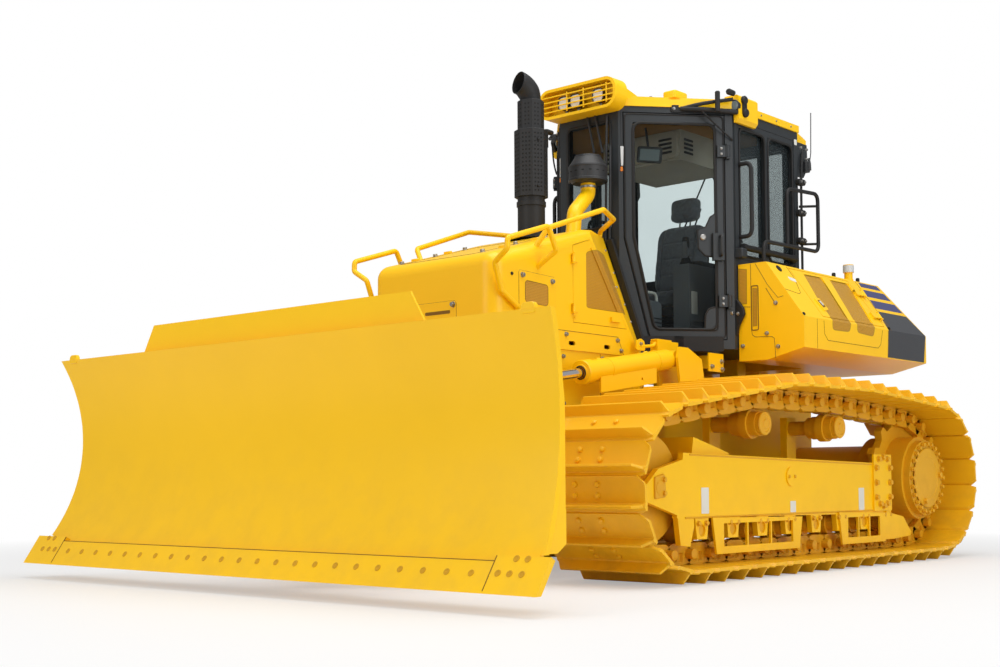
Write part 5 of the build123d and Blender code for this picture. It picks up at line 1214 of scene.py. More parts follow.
# ---- undercarriage ----------------------------------------------------------
@dataclass
class Undercarriage:
    """Fasteners and plates on the track frames and the final drives."""

    centre: float = TRACK_CENTRE
    drive_x: float = DRIVE_X
    drive_z: float = 0.570
    cover_ring: float = 0.243
    cover_out: float = 0.220
    cover_bolts: int = 24
    roller_x: tuple[float, float, int] = (0.520, -1.770, 8)
    carrier_x: Pair = CARRIER_X

    def drive_bolts(self, kit: Kit) -> None:
        """Ring of hexagon heads on each final drive's cover, a step inside it and two plugs."""
        angle = np.arange(self.cover_bolts) * TAU / self.cover_bolts
        y = self.centre + self.cover_out + 0.012
        spots = np.stack([self.drive_x + self.cover_ring * np.cos(angle), np.full(len(angle), y),
                          self.drive_z + self.cover_ring * np.sin(angle)], axis=1)
        ring = copied(hex_bolt(0.026), axis_frames(spots, (0, 1, 0)))
        kit.pair("drive_bolts", CAST_PAINT, ring)
        step = lathe(((0.212, 0.0), (0.208, 0.006), (0.150, 0.009), (0.146, 0.006), (0.001, 0.006)), 64)
        plug = hex_bolt(0.040)
        face = Patch((self.drive_x, y, self.drive_z), (-1, 0, 0), (0, 0, 1))
        kit.pair("drive_covers", CAST_PAINT, face.heads(step, ((0.0, 0.0),), -0.001))
        kit.pair("drive_plugs", CAST_PAINT, face.heads(plug, ((0.175, 0.02), (-0.06, -0.165)), 0.004))

    def beam_details(self, kit: Kit) -> None:
        """Blank plates, joint bolts, hatch screws, cover bolts and the idler yoke's block."""
        for x, low, high in ((0.487, 0.372, 0.520), (-1.404, 0.357, 0.505)):
            kit.pair("beam_tags", PALE_TAG,
                     BEAM.plate(aft(*rect(x + 0.038, low, x - 0.038, high)), 0.0, 0.002, 0.004))
        kit.pair("beam_tags", PALE_TAG,
                 BEAM.plate(aft(*rect(-0.466, 0.36, -0.532, 0.43)), 0.0, 0.002, 0.004))
        joint = aft((-1.6, 0.64), (-1.6, 0.54), (-1.6, 0.44), (-1.635, 0.7), (-1.7, 0.712), (-1.765, 0.7),
                    (-1.8, 0.64), (-1.8, 0.54), (-1.8, 0.44), (-1.7, 0.38), (-1.65, 0.395), (-1.755, 0.395))
        kit.pair("joint_bolts", CAST_PAINT, BEAM.bolts(0.034, joint, 0.012))
        kit.pair("hatch_screws", CAST_PAINT,
                 BEAM.heads(button_head(0.022), aft((-0.445, 0.582), (-0.515, 0.582)), 0.008))
        first, last, count = self.roller_x
        feet = [(x + side * 0.040, 0.318) for x in np.linspace(first, last, count) for side in (1, -1)]
        kit.pair("roller_bolts", CAST_PAINT, BEAM.bolts(0.026, aft(*feet)))
        yoke = aft((0.985, 0.580), (0.890, 0.600), (0.880, 0.470), (0.985, 0.460))
        kit.pair("idler_yokes", CAST_PAINT, BEAM.plate(yoke, -0.001, 0.01, 0.012, 0.004))
        # The slot is a near-black plate: painted shade of the opening.
        kit.pair("idler_slots", SOOT_AND_HOLE_SHADE, BEAM.plate(aft(*rect(0.97, 0.54, 0.925, 0.5)), 0.009, 0.0115, 0.006))
        kit.pair("idler_bolts", CAST_PAINT, BEAM.bolts(0.026, aft((0.905, 0.565), (0.905, 0.492)), 0.009))
        kit.pair("beam_beads", CAST_PAINT, BEAM.bead(aft((0.69, 0.352), (-1.64, 0.352)), 0.006),
                 BEAM.bead(aft((0.64, 0.705), (-1.56, 0.662)), 0.005))

    def carriers(self, kit: Kit) -> None:
        """Stepped end caps with a plug on the carrier rollers."""
        cap = lathe(((0.074, 0.0), (0.07, 0.006), (0.052, 0.007), (0.048, 0.003), (0.03, 0.004),
                     (0.024, 0.01), (0.001, 0.01)), 40)
        face = Patch((0.0, 1.228, CARRIER_Z), (-1, 0, 0), (0, 0, 1))
        kit.pair("carrier_caps", CAST_PAINT, face.heads(cap, [(-x, 0.0) for x in self.carrier_x], -0.001))

    def build(self) -> None:
        """All of the undercarriage's fine pieces."""
        kit = Kit("hull")
        self.drive_bolts(kit)
        self.beam_details(kit)
        self.carriers(kit)
        kit.make()


# ---- places on the machine ----------------------------------------------------
HOOD_SIDE = left_wall(0.5)
SKIRT_SIDE = left_wall(0.49)
NOSE = front_wall(1.415)
HOOD_TOP = Patch((1.415, 0.0, 1.850), (0, 1, 0), (-0.963, 0, 0.269))
FENDER_SLANT = Patch((0.0, 0.965, 1.990), (-1, 0, 0), (0, -0.586, 0.810))
FENDER_SIDE = left_wall(1.24)
FENDER_FRONT = front_wall(-0.735)
FENDER_TOP = Patch((0.0, 0.0, 1.990), (-1, 0, 0), (0, -1, 0))
CAB_SIDE = left_wall(0.75)
CAB_FRONT = front_wall(-0.105)
CAB_REAR = rear_wall(-1.555)
DOOR = Patch((-0.695, 0.750, 0.0), (-0.7597, 0.6503, 0), (0, 0, 1))
EDGE = Patch((2.845, 0.0, 0.091), (0, 1, 0), (-0.5497, 0, 0.8351))
BEAM = left_wall(1.273)


# ---- hood -------------------------------------------------------------------
@dataclass
class Hood:
    """Bolted panels, seams, guard windows and latches of the hood and its skirts."""

    bolt: float = 0.024
    facet: Triple = (-1.0, 1.85, 0.712)
    panel: tuple[float, float, float, float] = (1.200, 0.876, 1.520, 1.770)
    window: tuple[float, float, float, float] = (1.148, 0.943, 1.583, 1.716)

    def side_panels(self, kit: Kit) -> None:
        """Small bolted panel with its guard window, the lower panel and the seams round them."""
        front, back, low, high = self.panel
        box = aft((front, low), (back, low), (back, high - 0.012), (front, high))
        kit.pair("hood_panels", HULL_PAINT, HOOD_SIDE.plate(box, -0.001, 0.003, 0.012, 0.001))
        # The seam beads are painted shade in the panel gaps.
        kit.pair("hood_seam_shade", GAP_SHADE, HOOD_SIDE.bead(box, 0.0022, True, 0.014))
        front, back, low, high = self.window
        hole = aft((front, low + 0.008), (back, low), (back, high - 0.01), (front, high))
        # The guard plate's holes show painted shade.
        kit.pair("hood_guards", MESH_SHEET, HOOD_SIDE.plate(hole, 0.001, 0.0036, 0.022))
        kit.pair("hood_seam_shade", GAP_SHADE, HOOD_SIDE.bead(hole, 0.0018, True, 0.022, 0.0036))
        front, back, low, high = self.panel
        corners = aft((front - 0.028, high - 0.026), (back + 0.028, high - 0.038),
                      (front - 0.028, low + 0.03), (back + 0.028, low + 0.03))
        lower = aft((0.775, 1.432), (0.268, 1.430), (0.232, 1.368), (1.18, 1.432))
        kit.pair("hood_bolts", STEEL, HOOD_SIDE.bolts(self.bolt, corners, 0.003),
                 HOOD_SIDE.bolts(self.bolt * 0.9, lower))
        kit.pair("hood_seam_shade", GAP_SHADE, HOOD_SIDE.bead(aft((1.4, 1.455), (0.262, 1.452), (0.205, 1.345))))
        kit.pair("hood_dots", RUBBER, HOOD_SIDE.heads(button_head(0.02), aft((1.262, 1.742))),
                 HOOD_SIDE.heads(button_head(0.02, 0.35), aft((1.262, 1.2))))
        screws = aft((0.79, 1.02), (0.79, 1.30), (0.41, 1.31), (0.06, 1.31), (0.06, 1.03), (0.41, 1.03))
        kit.pair("hood_bolts", STEEL, SKIRT_SIDE.bolts(0.02, screws))
        kit.pair("hood_seam_shade", GAP_SHADE, SKIRT_SIDE.bead(aft((0.43, 0.995), (0.43, 1.335))))

    def facets(self, kit: Kit) -> None:
        """Button bolts down the slanted rear corners and the black seal between them and the cab."""
        spots = [(-0.023, 0.259, 1.908), (0.081, 0.358, 1.795), (-0.045, 0.345, 1.7), (-0.06, 0.372, 1.585),
                 (0.02, 0.23, 2.055)]
        base = np.array((0.516, 0.5, 2.037))
        normal = np.array(self.facet) / np.linalg.norm(self.facet)
        spots = np.array(spots) - ((np.array(spots) - base) @ normal)[:, None] * normal
        heads = copied(button_head(0.018), axis_frames(spots, self.facet))
        kit.pair("facet_bolts", STEEL, heads)
        seal = CAB_FRONT.plate(((0.15, 2.15), (0.196, 2.15), (0.44, 1.462), (0.392, 1.455)), -0.001, 0.024,
                               0.008, 0.004)
        kit.pair("hood_seal", RUBBER, seal)

    def nose(self, kit: Kit) -> None:
        """Service door in the nose, with its bolts and slot, over a guarded opening."""
        door = rect(-0.3, 1.06, 0.21, 1.6)
        kit.add("hood_panels", HULL_PAINT, NOSE.plate(door, -0.001, 0.003, 0.02, 0.001))
        kit.add("hood_seam_shade", GAP_SHADE, NOSE.bead(door, 0.0022, True, 0.022))
        corners = [(y, z) for z in (1.578, 1.082) for y in (0.188, -0.278)]
        kit.add("hood_bolts", STEEL, NOSE.bolts(0.026, corners, 0.003))
        # The slot is a dark plate: painted shade of its opening.
        slot = rect(-0.037, 1.528, 0.165, 1.548)
        kit.add("nose_slot_shade", GAP_SHADE, NOSE.plate(slot, 0.002, 0.0038, 0.008), slot="black_plastic")
        grid = rect(-0.24, 1.16, 0.15, 1.46)
        kit.add("hood_guards", MESH_SHEET, NOSE.plate(grid, 0.002, 0.0038, 0.02))

    def top(self, kit: Kit) -> None:
        """Lid seams, bolts and latches on the sloping top."""
        # The seam beads are painted shade in the lid's gaps.
        for y in (0.30, -0.30):
            kit.add("hood_seam_shade", GAP_SHADE, HOOD_TOP.bead(((y, 0.06), (y, 0.72))))
            kit.add("hood_bolts", STEEL,
                    HOOD_TOP.bolts(0.026, ((y * 1.1, 0.1), (y * 1.1, 0.4), (y * 1.1, 0.68))))
        kit.add("hood_seam_shade", GAP_SHADE, HOOD_TOP.bead(((-0.3, 0.06), (0.3, 0.06))),
                HOOD_TOP.bead(((-0.3, 0.72), (0.3, 0.72))))
        latch = tile(rect(-0.03, -0.012, 0.03, 0.012), 0.008, 0.0, 0.014, 0.004)
        kit.add("hood_panels", HULL_PAINT,
                HOOD_TOP.heads(latch, ((0.36, 0.25), (-0.36, 0.25), (0.36, 0.55), (-0.36, 0.55))))

    def build(self) -> None:
        """All of the hood's fine pieces."""
        kit = Kit("hull")
        self.side_panels(kit)
        self.facets(kit)
        self.nose(kit)
        self.top(kit)
        kit.make()
        for side, _ in SIDES:
            door = Kit(f"engine_door_{side}", side)
            screws = aft((0.690, 1.54), (0.690, 1.93))
            door.add("engine_door_bolts", HULL_PAINT, HOOD_SIDE.heads(button_head(0.016), screws))
            door.make()


# ---- exhaust and air intake ---------------------------------------------------
@dataclass
class Stacks:
    """Perforated exhaust shield with its mouth dark from soot and painted shade, and the air bowl."""

    x: float = 0.495
    shields: tuple[tuple[float, float, float, int], ...] = (
        (0.0998, 2.372, 2.78, 3), (0.0795, 2.8, 2.975, 2))
    hole: float = 0.0062
    pitch: float = 0.026
    bowl: Triple = (0.100, 0.150, 2.490)
    aside: float = -0.30
    bend: float = 0.112
    elbow_low: float = 2.980
    outside: tuple[Pair, ...] = (*((t, 0.064 + 0.008 * min(t, 30) / 30) for t in range(0, 78, 6)),
                                 (79, 0.0735), (80, 0.0725), (80, 0.0675), (77, 0.067), (48, 0.066),
                                 (24, 0.063), (14, 0.06))
    inside: tuple[Pair, ...] = ((20, 0.06), (30, 0.063), (50, 0.065), (70, 0.066), (71, 0.065),
                                (50, 0.0635), (30, 0.061), (24, 0.058))

    def holes(self) -> Shell:
        """Shallow cups in rows on all eight faces of both shields, dark with painted shade for the holes.

        Rows stand one pitch apart, columns 22 mm apart about the middle of each face, whose
        normal turns by an eighth of a circle from one to the next.
        """
        cup = lathe(((self.hole, -0.001), (self.hole, 0.0008), (self.hole * 0.2, 0.0008)), 8)
        shell = Shell()
        for apothem, low, high, columns in self.shields:
            rows = np.arange(low + 0.02, high - 0.012, self.pitch)
            across = (np.arange(columns) - (columns - 1) / 2) * 0.022
            for turn in (np.arange(8) + 0.5) * TAU / 8:
                normal = np.array((math.cos(turn), math.sin(turn), 0.0))
                side = np.array((-math.sin(turn), math.cos(turn), 0.0))
                aa, zz = [grid.ravel() for grid in np.meshgrid(across, rows)]
                spots = np.array((self.x, 0, 0)) + normal * apothem + aa[:, None] * side
                spots = spots + zz[:, None] * np.array((0, 0, 1.0))
                shell.copies(cup, axis_frames(spots, normal))
        return shell

    def exhaust(self, kit: Kit) -> None:
        """Shield with its holes, collar, band, bolts and foot, and the elbow whose inside is dark from soot
        and painted shade.
        """
        kit.add("shield_holes", SOOT_AND_HOLE_SHADE, self.holes())
        ring = lathe(((0.15, 2.088), (0.15, 2.112), (0.138, 2.118), (0.089, 2.118), (0.089, 2.088)), 40,
                     ring=True)
        band = lathe(((0.0885, 2.30), (0.094, 2.302), (0.094, 2.330), (0.0885, 2.332)), 40, ring=True)
        for part in (ring, band):
            kit.add("stack_collar", BLACK_PAINT, placed(part, (self.x, 0, 0)))
        spots = [(self.x + 0.0998 * math.cos(a), 0.0998 * math.sin(a), z)
                 for a in (TAU / 16 * 3, TAU / 16 * 13) for z in (2.42, 2.72)]
        bolts = Shell()
        for spot in spots:
            bolts.copies(hex_bolt(0.016), axis_frames([spot], (spot[0] - self.x, spot[1], 0)))
        kit.add("stack_bolts", BLACK_PAINT, bolts)
        turn = np.arange(8) * TAU / 8
        for reach, low, high in ((0.108, 2.360, 2.790), (0.086, 2.790, 2.982)):
            eight = np.stack([self.x + reach * np.cos(turn), reach * np.sin(turn)], axis=1)
            kit.add("stack_shield", BLACK_PAINT, tile(eight, 0.008, low, high, 0.004))
        foot = lathe(rect(0.001, 1.78, 0.0875, 2.372), 40)
        kit.add("stack_shield", BLACK_PAINT, placed(foot, (self.x, 0, 0)))
        kit.add("stack_elbow", BLACK_PAINT, self.elbow(self.outside))
        kit.add("stack_mouth", SOOT_AND_HOLE_SHADE, self.elbow(self.inside))

    def elbow(self, rows: Sequence[Pair]) -> Shell:
        """Round pipe that bends forward.

        The middle line turns through the angle t on a circle of the bend's radius b: it has
        gone b (1 - cos t) ahead and b sin t up, and the ring there stands square to it.

        Args:
            rows: angle in degrees and pipe radius of each ring.

        Returns:
            The closed shell.
        """
        table = np.array(rows)
        t, r = np.radians(table[:, :1, None]), table[:, 1:, None]
        v = (np.arange(36) * TAU / 36)[None, :, None]
        ahead = np.array((math.cos(self.aside), math.sin(self.aside), 0.0))
        up, across = np.array((0.0, 0.0, 1.0)), np.array((-math.sin(self.aside), math.cos(self.aside), 0.0))
        route = (1 - np.cos(t)) * ahead + np.sin(t) * up
        middle = np.array((self.x, 0.0, self.elbow_low)) + self.bend * route
        points = middle + r * (np.cos(v) * (np.cos(t) * ahead - np.sin(t) * up) + np.sin(v) * across)
        return gridded(points, close_v=True, caps=True)

    def intake(self, kit: Kit) -> None:
        """Lip, step, crown and slots of the air bowl, and the clamp under it."""
        x, y, z = self.bowl
        lip = lathe(((0.120, 0.008), (0.1285, 0.012), (0.1285, 0.026), (0.1255, 0.030)), 48, ring=True)
        step = lathe(((0.1265, 0.098), (0.1285, 0.102), (0.1265, 0.112)), 48, ring=True)
        crown = lathe(((0.080, 0.168), (0.088, 0.172), (0.084, 0.1815), (0.001, 0.1820), (0.001, 0.175)), 48)
        for part in (lip, step, crown):
            kit.add("bowl_rings", BLACK_PLASTIC, placed(part, (x, y, z)))
        # The bowl's slots are near-black plates: painted shade of the openings.
        slot = tile(rect(-0.009, -0.003, 0.009, 0.003), 0.002, -0.001, 0.0012)
        slots = Shell()
        for turn in np.arange(16) * TAU / 16:
            out = (math.cos(turn), math.sin(turn), 0)
            spot = (x + 0.126 * out[0], y + 0.126 * out[1], z + 0.070)
            axes = ((-out[1], out[0], 0), (0, 0, 1.0), out)
            slots.copies(slot, frame_matrix(*[np.array([row]) for row in (spot, *axes)]))
        kit.add("bowl_slots", SOOT_AND_HOLE_SHADE, slots)
        clamp = lathe(((0.049, -0.030), (0.053, -0.028), (0.053, -0.016), (0.049, -0.014)), 40, ring=True)
        kit.add("bowl_clamp", STEEL, placed(clamp, (x, y, z)))

    def build(self) -> None:
        """Exhaust and intake."""
        kit = Kit("hull")
        self.exhaust(kit)
        self.intake(kit)
        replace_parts(kit.make()["stack_shield"], "exhaust_stack")


# ---- cab --------------------------------------------------------------------
@dataclass
class Cab:
    """Window gaskets, seams, clamps, wiper, aerial and steps outside the cab."""

    panes: tuple[Pair, ...] = ((-1.105, -0.775), (-1.475, -1.145))
    pane_low: float = 2.060
    pane_high: float = 2.920

    def gaskets(self, kit: Kit) -> None:
        """Rubber round every fixed pane, its corners rounded."""
        for first, last in self.panes:
            loop = aft(*rect(last, self.pane_low, first, self.pane_high))
            kit.pair("cab_gaskets", RUBBER, CAB_SIDE.bead(loop, 0.01, True, 0.05))
        front = rect(-0.183, 2.235, 0.183, 2.94)
        rear = rect(-0.66, 2.08, 0.66, 2.91)
        kit.add("cab_gaskets", RUBBER, CAB_FRONT.bead(front, 0.01, True, 0.04),
                CAB_REAR.bead(rear, 0.01, True, 0.06))

    def trims(self, kit: Kit) -> None:
        """Pillar strips, seams, bolts of the roof's ears and blank plates."""
        kit.pair("cab_trims", DARK_PAINT,
                 CAB_SIDE.plate(aft(*rect(-0.712, 2.08, -0.752, 2.96)), -0.001, 0.006, 0.006, 0.002),
                 CAB_SIDE.plate(aft(*rect(-1.492, 2.02, -1.54, 2.96)), -0.001, 0.006, 0.006, 0.002))
        kit.pair("cab_seams", RUBBER, CAB_SIDE.bead(aft((-0.705, 2.035), (-1.55, 2.035))),
                 CAB_SIDE.bead(aft((-0.705, 2.965), (-1.55, 2.965))),
                 DOOR.bead(((-0.758, 2.6), (-0.758, 2.99)), 0.002))
        ear = aft((-1.60, 2.78), (-1.665, 2.80), (-1.675, 2.86), (-1.60, 2.93), (-1.68, 2.93))
        kit.pair("cab_bolts", STEEL, CAB_SIDE.bolts(0.018, ear))
        kit.add("blank_tags", PALE_TAG,
                CAB_SIDE.plate(aft(*rect(-1.5, 2.935, -1.535, 2.975)), 0.005, 0.0075, 0.004))
        kit.pair("pillar_strip", SILVER,
                 DOOR.plate(((-0.746, 2.63), (-0.76, 2.63), (-0.764, 2.76), (-0.742, 2.76)), -0.001, 0.005,
                            0.004, 0.0015))
        kit.pair("pillar_reflector", AMBER,
                 DOOR.plate(((-0.746, 2.595), (-0.766, 2.592), (-0.764, 2.622), (-0.75, 2.625)), -0.001,
                            0.006, 0.004, 0.002))

    def fittings(self, kit: Kit) -> None:
        """Clamps down the rear pillar with the loom they hold, a wiper, the aerial and its box."""
        for z in (2.67, 2.45, 2.25):
            block = tile(rect(-0.045, -0.022, 0.045, 0.022), 0.014, 0.0, 0.04, 0.008)
            kit.pair("pillar_clamps", RUBBER, CAB_SIDE.heads(block, aft((-1.55, z)), 0.004))
            kit.pair("cab_bolts", STEEL, CAB_SIDE.bolts(0.014, aft((-1.525, z), (-1.575, z)), 0.044))
        loom = rounded_route([(-1.561, 0.772, 1.99), (-1.561, 0.772, 2.25), (-1.561, 0.772, 2.67),
                              (-1.59, 0.765, 2.86), (-1.64, 0.745, 2.92)], 0.08)
        kit.add("pillar_loom", RUBBER, sweep(loom, 0.009, 10))
        mast = np.array([(-1.675, 0.775, 2.800), (-1.675, 0.790, 2.90), (-1.675, 0.795, 3.190)])
        socket = lathe(((0.004, 0.0), (0.016, 0.002), (0.014, 0.05), (0.006, 0.09), (0.003, 0.092)), 16)
        kit.add("aerial", BLACK_PLASTIC, sweep(mast, 0.0035, 8), placed(socket, (-1.675, 0.775, 2.775)),
                CAB_SIDE.heads(tile(rect(-0.03, -0.04, 0.03, 0.04), 0.008, 0.0, 0.03, 0.006),
                               aft((-1.655, 2.8))))
        for sign in (1.0, -1.0):
            arm = rounded_route([(-1.563, 0.3 * sign, 2.075), (-1.575, 0.3 * sign, 2.12),
                                 (-1.572, 0.08 * sign, 2.6)], 0.04)
            blade = np.array([(-1.566, 0.30 * sign - 0.02, 2.30), (-1.566, 0.02 * sign, 2.85)])
            kit.add("rear_wiper", BLACK_PLASTIC, sweep(arm, 0.006, 8), sweep(blade, 0.006, 8))

    def rails(self, kit: Kit) -> None:
        """Grab rails and the sill tube with their feet, the door's catch and the step lamp."""
        front = rounded_route([(-0.77, 0.752, 2.18), (-0.77, 0.845, 2.18), (-0.77, 0.845, 2.67),
                               (-0.77, 0.752, 2.67)], 0.06, 8)
        loop = rounded_route([(-0.89, 0.86, 1.992), (-0.89, 0.86, 2.158), (-1.635, 0.86, 2.172),
                              (-1.635, 0.86, 2.585), (-1.205, 0.86, 2.56), (-1.205, 0.86, 2.166)], 0.06, 8)
        sill = rounded_route([(-0.765, 0.775, 2.112), (-1.470, 0.775, 2.112)], 0.02)
        kit.pair("grab_rails", BLACK_PAINT, sweep(front, 0.0145, 14), sweep(loop, 0.0135, 14),
                 sweep(sill, 0.021, 18))
        for x in (-0.800, -1.450):
            foot = tile(rect(-0.03, -0.026, 0.03, 0.026), 0.012, 0.0, 0.03, 0.004)
            kit.pair("rail_feet", BLACK_PAINT, CAB_SIDE.heads(foot, aft((x, 2.112)), -0.001))
        stays = [sweep([(-1.560, 0.752, z), (-1.635, 0.860, z)], 0.009, 10) for z in (2.500, 2.230)]
        disc = lathe(((0.001, 0.0), (0.034, 0.0), (0.034, 0.008), (0.020, 0.010), (0.001, 0.010)), 24)
        kit.pair("rail_feet", BLACK_PAINT, *stays, placed(disc, (-0.89, 0.86, 1.991)))
        wall = front_wall(-0.706)
        catch = ((0.7, 1.507), (0.752, 1.507), (0.769, 1.581), (0.813, 1.654), (0.806, 1.695),
                 (0.76, 1.755), (0.7, 1.774))
        kit.pair("door_catch", BLACK_PAINT, wall.plate(catch, -0.022, 0.0, 0.02, 0.004))
        pin = lathe(((0.001, 0.0), (0.013, 0.0), (0.013, 0.030), (0.009, 0.034), (0.001, 0.034)), 20)
        kit.pair("catch_pins", STEEL, wall.heads(pin, ((0.735, 1.664),), -0.001),
                 wall.bolts(0.018, ((0.768, 1.66),)))
        box = tile(rect(0.712, 2.032, 0.808, 2.098), 0.012, -0.06, 0.0, 0.006)
        kit.pair("step_lamp", DARK_PAINT, wall.heads(box, ((0.0, 0.0),)))

    def front_rods(self, kit: Kit) -> None:
        """Two wiper arms hung before the windscreen and their blades."""
        x = -0.095
        for ends in (((-0.003, 3.0), (0.053, 2.745)), ((0.061, 3.0), (0.122, 2.735)),
                     ((0.16, 2.975), (0.14, 2.085)), ((0.188, 2.77), (0.172, 2.075))):
            kit.add("screen_rods", BLACK_PLASTIC, sweep([(x, y, z) for y, z in ends], 0.0085, 10))

    def steps(self, kit: Kit) -> None:
        """Grip plates on the sills below the doors."""
        tread = tile(rect(-0.17, -0.05, 0.17, 0.05), 0.012, 0.0, 0.006, 0.002)
        spots = DOOR.points(((-0.25, 1.458), (-0.52, 1.458)), 0.004)
        for spot in spots:
            kit.pair("sill_treads", RUBBER, placed(tread, spot, DOOR.along, (0, 0, 1)))

    def build(self) -> None:
        """All of the cab's outer trim."""
        kit = Kit("hull")
        self.gaskets(kit)
        self.trims(kit)
        self.fittings(kit)
        self.rails(kit)
        self.front_rods(kit)
        self.steps(kit)
        made = kit.make()
        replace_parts(made["grab_rails"], "cab_rails")


@dataclass
class CabDoor:
    """Gaskets, grip, lock, corner panels and hinge bolts of each cab door."""

    glass: tuple[Pair, ...] = ((-0.121, 1.553), (-0.546, 1.553), (-0.677, 2.163), (-0.677, 2.922),
                               (-0.121, 2.922))

    def build(self) -> None:
        """Left-hand shapes, mirrored for the right door."""
        for side, _ in SIDES:
            kit = Kit(f"cab_door_{side}", side)
            kit.add("door_gasket", RUBBER, DOOR.bead(self.glass, 0.011, True, 0.05))
            outer = ((-0.064, 1.496), (-0.574, 1.496), (-0.734, 2.152), (-0.734, 2.979), (-0.064, 2.979))
            kit.add("door_gasket", RUBBER, DOOR.bead(outer, 0.006, True, 0.03))
            corner = ((-0.118, 1.548), (-0.205, 1.548), (-0.200, 1.650), (-0.178, 1.690), (-0.118, 1.708))
            plate = ((-0.115, 2.035), (-0.196, 2.044), (-0.24, 2.088), (-0.247, 2.214), (-0.19, 2.234),
                     (-0.16, 2.3), (-0.115, 2.33))
            kit.add("door_panels", DARK_PAINT, DOOR.plate(corner, -0.022, 0.004, 0.02, 0.004),
                    DOOR.plate(plate, -0.022, 0.006, 0.018, 0.004))
            kit.add("door_gasket", RUBBER, DOOR.bead(corner, 0.007, True, 0.02),
                    DOOR.bead(plate, 0.007, True, 0.018))
            lock = lathe(((0.020, 0.0), (0.020, 0.010), (0.014, 0.014), (0.001, 0.014)), 24)
            kit.add("door_lock", STEEL, DOOR.heads(lock, ((-0.212, 2.165),), 0.005))
            bow = ((2.04, 0.03), (2.04, 0.062), (2.17, 0.062), (2.17, 0.03))
            grip = rounded_route([DOOR.points(((-0.1, z),), out)[0] for z, out in bow], 0.02)
            kit.add("door_grip", BLACK_PLASTIC, sweep(grip, 0.009, 10))
            pins = [(-0.085, z) for z in (1.722, 1.758, 2.722, 2.758)]
            kit.add("door_bolts", STEEL, DOOR.bolts(0.014, pins, 0.026))
            tag = rect(-0.4, 2.963, -0.6, 2.932)
            kit.add("door_tag", DARK_PAINT, DOOR.plate(tag, -0.001, 0.002, 0.004))
            kit.make()


